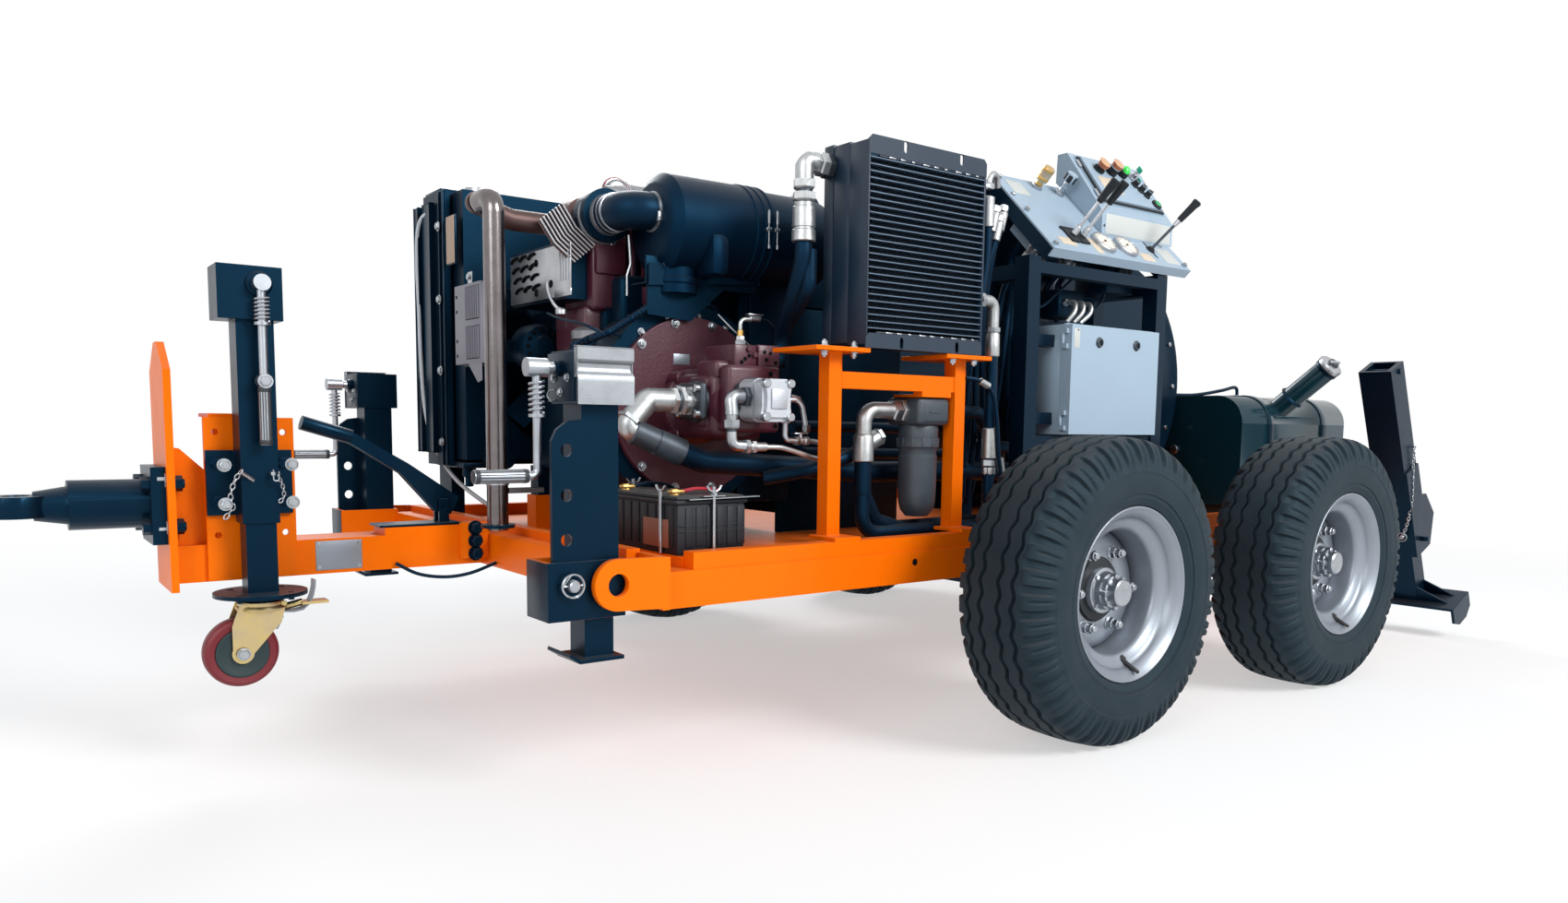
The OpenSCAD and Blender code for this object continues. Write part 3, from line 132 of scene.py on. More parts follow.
for lamp_name, at, aim, size, watts in (
        ("key", (1.4, -7.2, 5.0), (0.1, -0.5, 0.6), 3.6, 600.0),
        ("fill", (-6.2, -3.6, 3.8), (-0.4, -0.4, 0.7), 4.0, 170.0),
        ("back", (1.5, 6.5, 6.0), (0.0, 0.0, 0.8), 4.0, 380.0)):
    lamp_data = bpy.data.lights.new(lamp_name, "AREA")
    lamp_data.shape = "DISK"
    lamp_data.size = size
    lamp_data.energy = watts
    lamp = bpy.data.objects.new(lamp_name, lamp_data)
    lamp.location = at
    lamp.rotation_euler = (Vector(at) - Vector(aim)).to_track_quat("Z", "Y").to_euler()
    scene.collection.objects.link(lamp)

# ---------------------------------------------------------------- chassis
# Folded and welded steel beams under thick two-pack orange paint, with dust settled on top faces. The
# group below gives every paint, metal and plastic its mottle, grain, smudges and dust.


def new_group(name, inputs, outputs):
    """Empty shader group with its named sockets."""
    tree = bpy.data.node_groups.new(name, "ShaderNodeTree")
    for socket, kind, value in inputs:
        tree.interface.new_socket(name=socket, in_out="INPUT", socket_type=kind).default_value = value
    for socket, kind in outputs:
        tree.interface.new_socket(name=socket, in_out="OUTPUT", socket_type=kind)
    return Graph(tree), tree.nodes.new("NodeGroupInput").outputs, tree.nodes.new("NodeGroupOutput").inputs


FLOAT = "NodeSocketFloat"
COLOR = "NodeSocketColor"
worked, given, out = new_group("worked_surface", [("Color", COLOR, (0.5, 0.5, 0.5, 1.0)),
    ("Shade", COLOR, (0.3, 0.3, 0.3, 1.0)), ("Roughness", FLOAT, 0.4), ("Mottle Scale", FLOAT, 3.0),
    ("Mottle", FLOAT, 0.3), ("Grain Scale", FLOAT, 300.0), ("Grain Depth", FLOAT, 0.1), ("Dust", FLOAT, 0.1),
    ("Smudge", FLOAT, 0.1)], [("Color", COLOR), ("Roughness", FLOAT), ("Normal", "NodeSocketVector")])
here = worked.node("ShaderNodeTexCoord").outputs["Object"]
mottle = worked.node("ShaderNodeTexNoise", {"Vector": here, "Scale": given["Mottle Scale"], "Detail": 5.0,
    "Roughness": 0.62}).outputs["Fac"]
grain = worked.node("ShaderNodeTexNoise", {"Vector": here, "Scale": given["Grain Scale"], "Detail": 3.0}).outputs[
    "Fac"]
smudge = worked.node("ShaderNodeTexNoise", {"Vector": here, "Scale": 14.0, "Detail": 6.0}).outputs["Fac"]
patches = worked.node("ShaderNodeMapRange", {"Value": mottle, "From Min": 0.35, "From Max": 0.7}).outputs["Result"]
tone = worked.node("ShaderNodeMix", {"Factor": worked.math("MULTIPLY", patches, given["Mottle"]), "A": given["Color"],
    "B": given["Shade"]}, data_type="RGBA")
# dust lies on faces that look up, in patches
normal = worked.node("ShaderNodeNewGeometry").outputs["Normal"]
upward = worked.node("ShaderNodeMapRange", {"Value": worked.node("ShaderNodeSeparateXYZ", {0: normal}).outputs["Z"],
    "From Min": 0.5, "From Max": 1.0})
dusty = worked.math("MULTIPLY", worked.math("MULTIPLY", upward.outputs["Result"], smudge), given["Dust"])
dust_mix = worked.node("ShaderNodeMix", {"Factor": dusty, "A": tone.outputs["Result"], "B": (0.45, 0.43, 0.4, 1.0)},
    data_type="RGBA")
worked.feed(out["Color"], dust_mix.outputs["Result"])
smear = worked.math("MULTIPLY_ADD", smudge, given["Smudge"], given["Roughness"])
worked.feed(out["Roughness"], worked.math("MULTIPLY_ADD", dusty, 0.5, smear))
worked.feed(out["Normal"], worked.node("ShaderNodeBump", {"Distance": 0.002, "Strength": given["Grain Depth"],
    "Height": grain}).outputs["Normal"])


def finish(name, color, shade, roughness, metallic=0.0, mottle=(3.0, 0.3), grain=(300.0, 0.1), dust=0.1, smudge=0.1,
        coat=0.0, coat_roughness=0.1, specular=0.5, tint=None):
    """Material whose colour, roughness and relief come from the worked surface group."""
    m = bpy.data.materials.new(name)
    m.use_nodes = True
    graph = Graph(m.node_tree)
    shader = graph.tree.nodes["Principled BSDF"]
    surface = graph.tree.nodes.new("ShaderNodeGroup")
    surface.node_tree = worked.tree
    for socket, value in (("Color", (*color, 1.0)), ("Shade", (*shade, 1.0)), ("Roughness", roughness),
            ("Mottle Scale", mottle[0]), ("Mottle", mottle[1]), ("Grain Scale", grain[0]), ("Grain Depth", grain[1]),
            ("Dust", dust), ("Smudge", smudge)):
        surface.inputs[socket].default_value = value
    for target, value in (("Base Color", surface.outputs["Color"]), ("Roughness", surface.outputs["Roughness"]),
            ("Normal", surface.outputs["Normal"]), ("Metallic", metallic), ("Coat Weight", coat),
            ("Coat Roughness", coat_roughness), ("Specular IOR Level", specular)):
        graph.feed(shader.inputs[target], value)
    if tint:
        shader.inputs["Specular Tint"].default_value = (*tint, 1.0)
    return m


MERGED_WITHIN = 0.00002
ROUNDED_ABOVE = radians(40)


def dress(node, material, edge=0.0):
    """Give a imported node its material, and round its edges where edge is its bevel in metres."""
    o = cad[node]
    if not o.material_slots:
        o.data.materials.append(material)
    for s in o.material_slots:
        s.material = material
    if edge:
        weld = o.modifiers.new("weld", "WELD")
        weld.merge_threshold = MERGED_WITHIN
        bevel = o.modifiers.new("round", "BEVEL")
        bevel.width = edge
        bevel.segments = 2
        bevel.limit_method = "ANGLE"
        bevel.angle_limit = ROUNDED_ABOVE
        bevel.harden_normals = True
    return o


orange = finish("orange_paint", (0.88, 0.15, 0.0005), (0.62, 0.09, 0.0005), 0.36, mottle=(2.2, 0.35),
    grain=(420.0, 0.05), dust=0.1, smudge=0.12, coat=0.06, coat_roughness=0.14, specular=0.3, tint=(1.0, 0.55, 0.15))
dress("chassis_frame", orange, 0.003)
dress("cooler_stand", orange, 0.003)
# navy-black: the blue in the colour and the blue specular tint are painted sky reflection
black_paint = finish("black_paint", (0.0008, 0.005, 0.012), (0.002, 0.009, 0.02), 0.3, mottle=(2.5, 0.4),
    grain=(380.0, 0.05), dust=0.1, smudge=0.12, coat=0.04, coat_roughness=0.12, specular=0.32, tint=(0.1, 0.52, 1.0))
for n in ("tow_coupling", "jack_outer", "jack_inner", "leg_outer_l", "leg_outer_r", "leg_inner_l", "leg_inner_r",
        "spade_outer_l", "spade_outer_r", "spade_inner_l", "spade_inner_r", "axles", "handbrake_base",
        "handbrake_lever", "panel_stand", "fuel_tank", "oil_tank"):
    dress(n, black_paint, 0.002)
zinc = finish("zinc_plate", (0.44, 0.47, 0.51), (0.26, 0.28, 0.31), 0.26, metallic=1.0, mottle=(22.0, 0.5),
    grain=(500.0, 0.05), dust=0.1, smudge=0.16)
for n in ("lynch_pins", "jack_crank", "leg_crank_l", "leg_crank_r"):
    dress(n, zinc)
yellow_zinc = finish("yellow_zinc", (0.66, 0.5, 0.2), (0.5, 0.42, 0.3), 0.3, metallic=1.0, mottle=(18.0, 0.8))
dress("caster_fork", yellow_zinc, 0.001)
caster_red = finish("caster_red", (0.16, 0.005, 0.012), (0.08, 0.004, 0.008), 0.45)
dress("caster_wheel", caster_red)
# the blue in the tyre colour and its blue specular tint are painted sky reflection
tyre_black = finish("tyre_rubber", (0.01, 0.0145, 0.019), (0.022, 0.028, 0.034), 0.6, mottle=(9.0, 0.5),
    grain=(240.0, 0.12), dust=0.12, smudge=0.14, specular=0.35, tint=(0.45, 0.8, 1.0))
silver = finish("silver_paint", (0.27, 0.3, 0.34), (0.19, 0.215, 0.25), 0.36, metallic=0.65, mottle=(6.0, 0.4))
for c in ("fl", "rl", "fr", "rr"):
    dress("tyre_" + c, tyre_black)
    dress("rim_" + c, silver)
# navy-black: the blue in the colour and the blue specular tint are painted sky reflection
black_plastic = finish("black_plastic", (0.0008, 0.005, 0.0135), (0.002, 0.01, 0.022), 0.42, grain=(600.0, 0.12),
    specular=0.28, tint=(0.08, 0.48, 1.0))
for n in ("battery", "engine_fan", "air_cleaner", "tank_cap", "lever_a", "lever_b", "lever_c"):
    dress(n, black_plastic, 0.0015 if n == "battery" else 0)
# navy-black: the blue in the colour and the blue specular tint are painted sky reflection
black_alloy = finish("black_alloy", (0.001, 0.0055, 0.013), (0.002, 0.01, 0.021), 0.38, grain=(160.0, 0.16),
    specular=0.3, tint=(0.1, 0.52, 1.0))
for n in ("oil_cooler", "return_filter", "radiator"):
    dress(n, black_alloy, 0.0015)
dress("engine_block", black_alloy, 0.003)
# navy-black: the blue in the colour and the blue specular tint are painted sky reflection
hose_rubber = finish("hose_rubber", (0.0015, 0.005, 0.012), (0.004, 0.01, 0.02), 0.42, grain=(260.0, 0.1),
    specular=0.38, tint=(0.12, 0.5, 1.0))
for n in ("intake_hose", "suction_hose", "pressure_hoses", "return_hoses"):
    dress(n, hose_rubber)
# polished steel held dark so the stack shows dark surroundings in it: painted reflection
exhaust_steel = finish("exhaust_steel", (0.22, 0.2, 0.205), (0.12, 0.1, 0.1), 0.16, metallic=1.0, mottle=(8.0, 0.7))
dress("exhaust_stack", exhaust_steel)
maroon = finish("maroon_paint", (0.06, 0.008, 0.02), (0.034, 0.006, 0.014), 0.4, grain=(150.0, 0.3), coat=0.15)
dress("pump_adapter", maroon, 0.002)
dress("main_pump", maroon, 0.003)
pump_alloy = finish("pump_alloy", (0.5, 0.52, 0.55), (0.36, 0.38, 0.4), 0.4, metallic=0.9, grain=(140.0, 0.25))
dress("gear_pump", pump_alloy, 0.002)
grey_paint = finish("grey_paint", (0.305, 0.4, 0.49), (0.26, 0.34, 0.42), 0.42, grain=(480.0, 0.12), dust=0.1)
for n in ("control_panel", "control_box", "box_lid", "cabinet", "cabinet_door"):
    dress(n, grey_paint, 0.0015)
red_plastic = finish("red_plastic", (0.25, 0.05, 0.02), (0.2, 0.04, 0.02), 0.35)
dress("stop_button", red_plastic, 0.001)
green_plastic = finish("green_plastic", (0.02, 0.32, 0.12), (0.02, 0.26, 0.1), 0.3)
dress("start_button", green_plastic, 0.001)
dress("key_switch", green_plastic)

# ---------------------------------------------------------------- tyres
# Wide trailer tyres: four zigzag grooves round the crown and forty shoulder lugs a side, each lug
# split at its lower end. Black rubber, plain ringed side walls.
tyre_radius = 0.378
lug_count = 40
tread_groove = 0.01
crown_half, crown_fall = 0.08, 0.004
lug_depth, slit_depth = 0.0095, 0.004
# where the lugs run out, the share of a pitch that is gap, and where the slit lies in it
lug_foot, lug_height = 0.28, 0.0935
gap_share, slit_from, slit_to = 0.34, 0.65, 0.73
# the shoulder's quarter ellipse: its middle across and out, and its two half axes
shoulder_mid, shoulder_axes = (0.08, 0.3), (0.0492, 0.0735)
zigzag = 0.00624
studs, stud_circle = 6, 0.1025
axle_xs = {"fl": (-0.075, -1), "rl": (0.987, -1), "fr": (-0.075, 1), "rr": (0.987, 1)}
wheel_mid = 1.037


def piece(name, verts, faces, material):
    """New mesh object from points and faces, in its material."""
    me = bpy.data.meshes.new(name)
    me.from_pydata([tuple(v) for v in verts], [], faces)
    me.materials.append(material)
    ob = bpy.data.objects.new(name, me)
    scene.collection.objects.link(ob)
    return ob


def outward(ob):
    """Merge doubles and turn every face outwards."""
    bm = bmesh.new()
    bm.from_mesh(ob.data)
    bmesh.ops.remove_doubles(bm, verts=bm.verts, dist=1e-6)
    bmesh.ops.recalc_face_normals(bm, faces=bm.faces)
    bm.to_mesh(ob.data)
    bm.free()
    return ob


def ringed(name, verts, n, material, smooth):
    """Closed mesh through rings of n points each, every face turned outwards."""
    steps = len(verts) // n
    faces = []
    for i in range(steps):
        k = (i + 1) % steps
        for j in range(n):
            l = (j + 1) % n
            faces.append((i * n + j, k * n + j, k * n + l, i * n + l))
    ob = outward(piece(name, verts, faces, material))
    ob.data.shade_smooth()
    ob.data.set_sharp_from_angle(angle=radians(smooth))
    return ob


def crown(across):
    """Radius of the tread, a little less towards its edges."""
    return tyre_radius - crown_fall * (across / crown_half) ** 2


def tyre_mesh(name, code):
    """Whole tyre by its ring of cross sections, one for each step round the lugs."""
    x0, side = axle_xs[code]
    # steps across one lug pitch: the gap between lugs, then a lug with a slit in its middle
    pitch_steps = [0.0, 0.03, 0.12, 0.22, 0.32, 0.36, 0.46, 0.56, 0.64, 0.66, 0.72, 0.74, 0.82, 0.9, 0.97]
    # half section from the crown to the bead: across, radius, on a zigzag groove, lug depth, slit depth
    rows = [(0.0, tyre_radius, 0, 0.0, 0.0)]
    for mid in (0.0265, 0.0655):
        groove = [(mid - 0.0062, 0.0), (mid - 0.0042, tread_groove), (mid + 0.0042, tread_groove),
            (mid + 0.0062, 0.0)]
        if mid < 0.046:
            groove.append((0.046, 0.0))
        rows += [(across, crown(across) - drop, 1, 0.0, 0.0) for across, drop in groove]
    rows.append((0.078, crown(0.078) - 0.001, 0, 0.0, 0.0))
    # shoulder: quarter ellipse that carries the lugs, then the side wall
    for i in range(0, 13):
        t = radians(88 - i * 7.2)
        depth = lug_depth * min(1.0, (i + 0.6) / 2.5) * (1.0 if i < 9 else 1.0 - (i - 8) * 0.2)
        slit = slit_depth if 4 <= i <= 11 else 0.0
        rows.append((shoulder_mid[0] + shoulder_axes[0] * cos(t), shoulder_mid[1] + shoulder_axes[1] * sin(t),
            0, depth, slit))
    wall = [(0.13, 0.2965), (0.13, 0.2945), (0.1288, 0.2925), (0.129, 0.284), (0.1293, 0.27), (0.1284, 0.256),
        (0.1262, 0.244), (0.1262, 0.2425), (0.1238, 0.2415), (0.1232, 0.236), (0.124, 0.232), (0.1225, 0.2285),
        (0.1196, 0.222), (0.1172, 0.2155), (0.1115, 0.2136), (0.1034, 0.1965), (0.07, 0.1962)]
    rows += [(across, radius, 0, 0.0, 0.0) for across, radius in wall]
    full = [(-r[0],) + r[1:] + (-1,) for r in reversed(rows)] + [r + (1,) for r in rows[1:]]
    verts = []
    for p in range(lug_count):
        for u in pitch_steps:
            a = 2 * pi * (p + u) / lug_count
            wave = abs((u + 0.17) % 1.0 - 0.5) * 4 - 1
            for across, radius, zig, depth, slit, hand in full:
                phase = (u + (0.0 if hand > 0 else 0.5)) % 1.0
                cut = depth if phase < gap_share else slit if slit_from <= phase <= slit_to else 0.0
                r = radius - cut * (radius - lug_foot) / lug_height
                w = across - hand * cut * (0.8 if phase < gap_share else 1.0) * (abs(across) - crown_half) / 0.05
                if zig:
                    w += zigzag * max(-0.75, min(0.75, wave))
                verts.append((x0 + r * sin(a), side * wheel_mid + w, tyre_radius + r * cos(a)))
    return ringed(name, verts, len(full), tyre_black, 32)


for code in axle_xs:
    tyre = tyre_mesh("tread_" + code, code)
    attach(tyre, "wheel_" + code)
    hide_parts("tyre_" + code)

# ---------------------------------------------------------------- rims and hubs
# Rolled steel rims with a deep well and a dished centre disc, sprayed silver. Six studs with nuts and
# lock nuts, a black drum behind the bore, a plated hub with a castellated cap, and a rubber valve.


def around(count):
    """Angles of a full turn in equal steps."""
    return [2 * pi * k / count for k in range(count)]


def tube(first, rings, steps):
    """Faces of a tube through rings of points that start at one number, closed at both ends."""
    faces = []
    for start in range(first, first + (rings - 1) * steps, steps):
        for s in range(steps):
            t = (s + 1) % steps
            faces.append((start + s, start + t, start + steps + t, start + steps + s))
    last = first + (rings - 1) * steps
    return faces + [tuple(reversed(range(first, first + steps))), tuple(range(last, last + steps))]


def turned(name, profile, centre, side, material, steps=96, smooth=35):
    """Body of revolution about Y. Profile is (across, radius) from the wheel's middle, + is outward."""
    verts = [(centre[0] + radius * sin(a), centre[1] + side * across, centre[2] + radius * cos(a))
        for a in around(steps) for across, radius in profile]
    return ringed(name, verts, len(profile), material, smooth)


def joined(name, obs):
    """One mesh object from several, its materials kept."""
    bm = bmesh.new()
    mats = []
    for ob in obs:
        part = bmesh.new()
        part.from_mesh(ob.data)
        m = ob.data.materials[0]
        if m not in mats:
            mats.append(m)
        for face in part.faces:
            face.material_index = mats.index(m)
        temp = bpy.data.meshes.new("temp")
        part.to_mesh(temp)
        part.free()
        bm.from_mesh(temp)
        bpy.data.meshes.remove(temp)
        bpy.data.objects.remove(ob)
    me = bpy.data.meshes.new(name)
    bm.to_mesh(me)
    bm.free()
    for m in mats:
        me.materials.append(m)
    out = bpy.data.objects.new(name, me)
    scene.collection.objects.link(out)
    return out


bright_zinc = finish("bright_zinc", (0.46, 0.49, 0.52), (0.26, 0.28, 0.3), 0.22, metallic=1.0, mottle=(30.0, 0.5),
    grain=(420.0, 0.08), dust=0.05, smudge=0.14)
drum_black = finish("drum_black", (0.01, 0.013, 0.017), (0.02, 0.024, 0.028), 0.5, grain=(200.0, 0.2))
valve_rubber = finish("valve_rubber", (0.008, 0.008, 0.01), (0.015, 0.015, 0.017), 0.5)
rim_profile = [(0.116, 0.2125), (0.118, 0.2115), (0.1186, 0.2095), (0.1178, 0.2075), (0.115, 0.205), (0.112, 0.201),
    (0.106, 0.1915), (0.099, 0.188), (0.096, 0.185), (0.0915, 0.1838), (0.086, 0.181), (0.082, 0.174), (0.076, 0.161),
    (0.07, 0.1545), (0.062, 0.1515), (0.02, 0.151), (-0.03, 0.151), (-0.052, 0.156), (-0.062, 0.178), (-0.08, 0.1835),
    (-0.104, 0.188), (-0.112, 0.202), (-0.118, 0.208), (-0.118, 0.2125), (-0.112, 0.2125), (-0.1115, 0.2018),
    (-0.1035, 0.1955), (-0.06, 0.1915), (-0.03, 0.158), (0.062, 0.158), (0.08, 0.1915), (0.1035, 0.1955),
    (0.1115, 0.2018), (0.112, 0.2125)]
disc_profile = [(-0.03, 0.1512), (-0.036, 0.15), (-0.024, 0.1512), (0.0, 0.148), (0.0085, 0.14), (0.012, 0.13),
    (0.013, 0.118), (0.013, 0.083), (0.0115, 0.0805), (0.005, 0.0805), (0.005, 0.128), (-0.004, 0.14), (-0.02, 0.146)]
for code, (x0, side) in axle_xs.items():
    mid = (x0, side * wheel_mid, tyre_radius)
    rim = turned("rim_shell_" + code, rim_profile, mid, side, silver, steps=128, smooth=50)
    disc = turned("disc", disc_profile, mid, side, silver, steps=96, smooth=50)
    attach(rim, "wheel_" + code)
    drum = turned("drum", [(0.0035, 0.112), (0.006, 0.11), (0.006, 0.0665), (-0.132, 0.0665), (-0.132, 0.112)], mid,
        side, drum_black, steps=64)
    flange = turned("hub_flange", [(0.012, 0.079), (0.0175, 0.076), (0.018, 0.05), (0.01, 0.05), (0.006, 0.079)], mid,
        side, drum_black, steps=64)
    hub = turned("hub", [(0.01, 0.058), (0.03, 0.0575), (0.0345, 0.056), (0.036, 0.052), (0.036, 0.048),
        (0.039, 0.046), (0.048, 0.0455), (0.052, 0.044), (0.0535, 0.04), (0.0535, 0.027), (0.01, 0.027)], mid, side,
        bright_zinc, steps=72, smooth=30)
    cap = turned("cap", [(0.05, 0.04), (0.064, 0.0395), (0.066, 0.035), (0.08, 0.0345), (0.087, 0.0335),
        (0.0905, 0.03), (0.0915, 0.022), (0.0912, 0.01), (0.0914, 0.0005), (0.05, 0.0005)], mid, side, bright_zinc,
        steps=48, smooth=40)
    verts, faces = [], []

    def add_prism(cx, cz, y_in, y_out, radius, sides, turn, chamfer):
        """Plated nut or stud along Y, chamfered at its outer end."""
        base = len(verts)
        rings = [(y_in, radius), (y_out - chamfer, radius), (y_out, radius - chamfer)]
        for y, r in rings:
            for a in around(sides):
                verts.append((mid[0] + cx + r * cos(turn + a), mid[1] + side * y, mid[2] + cz + r * sin(turn + a)))
        faces.extend(tube(base, len(rings), sides))

    for i in range(studs):
        a = radians(30 + 360 / studs * i)
        cx, cz = stud_circle * sin(a), stud_circle * cos(a)
        # washer, nut, collar, lock nut and the stud's end
        for prism in ((0.0125, 0.0165, 0.0175, 20, 0.0, 0.001), (0.016, 0.03, 0.015, 6, 0.3 * i, 0.0015),
                (0.03, 0.035, 0.0112, 16, 0.0, 0.001), (0.035, 0.044, 0.0128, 6, 0.5 * i, 0.0015),
                (0.044, 0.05, 0.0085, 12, 0.0, 0.0015)):
            add_prism(cx, cz, *prism)
    for a in around(8):
        add_prism(0.0375 * sin(a), 0.0375 * cos(a), 0.05, 0.071, 0.0085, 6, a, 0.002)
    for i in range(4):
        a = pi / 4 + pi * i / 2
        add_prism(0.049 * sin(a), 0.049 * cos(a), 0.03, 0.041, 0.006, 6, a, 0.001)
    nuts = outward(piece("nuts", verts, faces, bright_zinc))
    valve = turned("valve", [(-0.004, 0.0105), (0.006, 0.01), (0.01, 0.006), (0.022, 0.0052), (0.052, 0.0048),
        (0.054, 0.0035), (0.054, 0.0004), (-0.004, 0.0004)], (0, 0, 0), -1, valve_rubber, steps=20)
    va = radians(172)
    place = Matrix.Translation((mid[0] + 0.168 * sin(va), mid[1] + side * 0.074, mid[2] + 0.168 * cos(va)))
    lean = radians(28 if side < 0 else 152)
    valve.data.transform(place @ Matrix.Rotation(va - pi, 4, "Y") @ Matrix.Rotation(lean, 4, "X"))
    wheel = joined("wheel_centre_" + code, [disc, drum, flange, hub, cap, nuts, valve])
    wheel.data.shade_smooth()
    wheel.data.set_sharp_from_angle(angle=radians(32))
    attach(wheel, "wheel_" + code)
    for ob in (rim, wheel):
        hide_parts("rim_" + code)


# ---------------------------------------------------------------- tow coupling
# Welded box head with a ring eye bolted to the drawbar plate, under black paint. Plated bolts with
# washers hold the head, and a bare plate of bright tin sits on the drawbar's side.


def moved(x, y, z):
    """Matrix that moves by three distances."""
    return Matrix.Translation((x, y, z))


def tangents_of(path):
    """Direction of a path at each of its points."""
    ways = [(b - a).normalized() for a, b in zip(path, path[1:])]
    return [ways[0]] + [(u + v).normalized() for u, v in zip(ways, ways[1:])] + [ways[-1]]


class Stock:
    """Solids gathered into one mesh, each with its own material. Here is the frame they are given in."""

    def __init__(self, here=Matrix.Identity(4)):
        self.bm = bmesh.new()
        self.mats = []
        self.here = here

    def put(self, verts, faces, material):
        """Points and faces as they are."""
        if material not in self.mats:
            self.mats.append(material)
        at = self.mats.index(material)
        vs = [self.bm.verts.new(v) for v in verts]
        for f in faces:
            self.bm.faces.new([vs[i] for i in f]).material_index = at

    def slab(self, lo, hi, material, edge=0.002, place=None, segments=2):
        """Block between two corners with rounded edges, then moved by a matrix."""
        lo, hi = Vector(lo), Vector(hi)
        part = bmesh.new()
        bmesh.ops.create_cube(part, size=1.0)
        for v in part.verts:
            v.co = Vector([lo[i] + (v.co[i] + 0.5) * (hi[i] - lo[i]) for i in range(3)])
        if edge:
            edge = min(edge, 0.45 * min(abs(hi[i] - lo[i]) for i in range(3)))
            bmesh.ops.bevel(part, geom=part.edges[:], offset=edge, segments=segments, profile=0.5, affect="EDGES")
        self.take(part, material, place)

    def take(self, part, material, place=None):
        """All of a bmesh, moved by a matrix, its faces turned outwards."""
        part.transform(self.here @ place if place else self.here)
        bmesh.ops.recalc_face_normals(part, faces=part.faces)
        part.verts.index_update()
        self.put([v.co.copy() for v in part.verts], [[v.index for v in f.verts] for f in part.faces], material)
        part.free()

    def lathe(self, at, along, profile, material, steps=32):
        """Turned solid: profile is (distance along the axis, radius), from end to end."""
        at, along = self.here @ Vector(at), (self.here.to_3x3() @ Vector(along)).normalized()
        turn = along.to_track_quat("Z", "Y").to_matrix()
        verts, rings = [], []
        for d, r in profile:
            if r < 1e-6:
                rings.append([len(verts)])
                verts.append(at + along * d)
            else:
                rings.append(list(range(len(verts), len(verts) + steps)))
                for a in around(steps):
                    verts.append(at + turn @ Vector((r * cos(a), r * sin(a), d)))
        faces = []
        for p, q in zip(rings, rings[1:]):
            if len(p) == 1 and len(q) == 1:
                continue
            for s in range(steps):
                t = (s + 1) % steps
                if len(p) == 1:
                    faces.append((p[0], q[t], q[s]))
                elif len(q) == 1:
                    faces.append((p[s], p[t], q[0]))
                else:
                    faces.append((p[s], p[t], q[t], q[s]))
        if len(rings[0]) > 1:
            faces.append(tuple(reversed(rings[0])))
        if len(rings[-1]) > 1:
            faces.append(tuple(rings[-1]))
        self.put(verts, faces, material)

    def slabs(self, material, rows):
        """Blocks of one material; each row is what slab takes beside it."""
        for lo, hi, *rest in rows:
            self.slab(lo, hi, material, *rest)

    def lathes(self, material, rows):
        """Turned solids of one material; each row is what lathe takes beside it."""
        for at, along, profile, *rest in rows:
            self.lathe(at, along, profile, material, *rest)

    def pipes(self, material, rows):
        """Round bars of one material; each row is what pipe takes beside it."""
        for path, radius, *rest in rows:
            self.pipe(path, radius, material, *rest)

    def rod(self, a, b, radius, material, steps=24, edge=0.001):
        """Round bar between two points with rounded ends."""
        a, b = Vector(a), Vector(b)
        length = (b - a).length
        edge = min(edge, 0.4 * length, 0.4 * radius)
        self.lathe(a, b - a, [(0, radius - edge), (edge, radius), (length - edge, radius), (length, radius - edge)],
            material, steps)

    def nut(self, at, along, across, height, material, washer=0.0):
        """Hexagon with a chamfered face, on a washer where one is given. Across is over its flats."""
        r = across / 2 / cos(pi / 6)
        start = 0.0
        if washer:
            self.lathe(at, along, [(0, across * 0.72), (washer, across * 0.72)], material, 20)
            start = washer * 0.9
        self.lathe(at, along, [(start, r), (start + height * 0.82, r), (start + height, r * 0.86)], material, 6)

    def pipe(self, path, radius, material, steps=20, swell=None):
        """Round bar along a path. Swell gives the radius by the distance along it."""
        path = [self.here @ Vector(p) for p in path]
        tangents = tangents_of(path)
        side = tangents[0].orthogonal().normalized()
        verts, gone = [], 0.0
        for i, p in enumerate(path):
            if i:
                side = tangents[i - 1].rotation_difference(tangents[i]) @ side
                gone += (p - path[i - 1]).length
            up = tangents[i].cross(side).normalized()
            side = up.cross(tangents[i]).normalized()
            r = swell(gone) if swell else radius
            verts += [p + (side * cos(a) + up * sin(a)) * r for a in around(steps)]
        self.put(verts, tube(0, len(path), steps), material)

    def sheet(self, outline, depth, material, place, holes=()):
        """Flat plate cut to an outline with holes, raised by depth along its own Z."""
        part = bmesh.new()
        rim = []
        for loop in [outline] + list(holes):
            vs = [part.verts.new((x, y, 0.0)) for x, y in loop]
            rim += [part.edges.new((vs[i], vs[(i + 1) % len(vs)])) for i in range(len(vs))]
        made = bmesh.ops.triangle_fill(part, edges=rim, use_beauty=True)
        faces = [g for g in made["geom"] if isinstance(g, bmesh.types.BMFace)]
        lifted = bmesh.ops.extrude_face_region(part, geom=faces)
        for v in [g for g in lifted["geom"] if isinstance(g, bmesh.types.BMVert)]:
            v.co.z += depth
        self.take(part, material, place)

    def done(self, name, body, slot=None, stands_for=None):
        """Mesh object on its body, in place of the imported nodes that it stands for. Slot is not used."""
        me = bpy.data.meshes.new(name)
        bmesh.ops.recalc_face_normals(self.bm, faces=self.bm.faces)
        self.bm.to_mesh(me)
        self.bm.free()
        for m in self.mats:
            me.materials.append(m)
        ob = bpy.data.objects.new(name, me)
        scene.collection.objects.link(ob)
        me.shade_smooth()
        me.set_sharp_from_angle(angle=radians(35))
        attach(ob, body)
        if stands_for:
            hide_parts(*stands_for)
        return ob


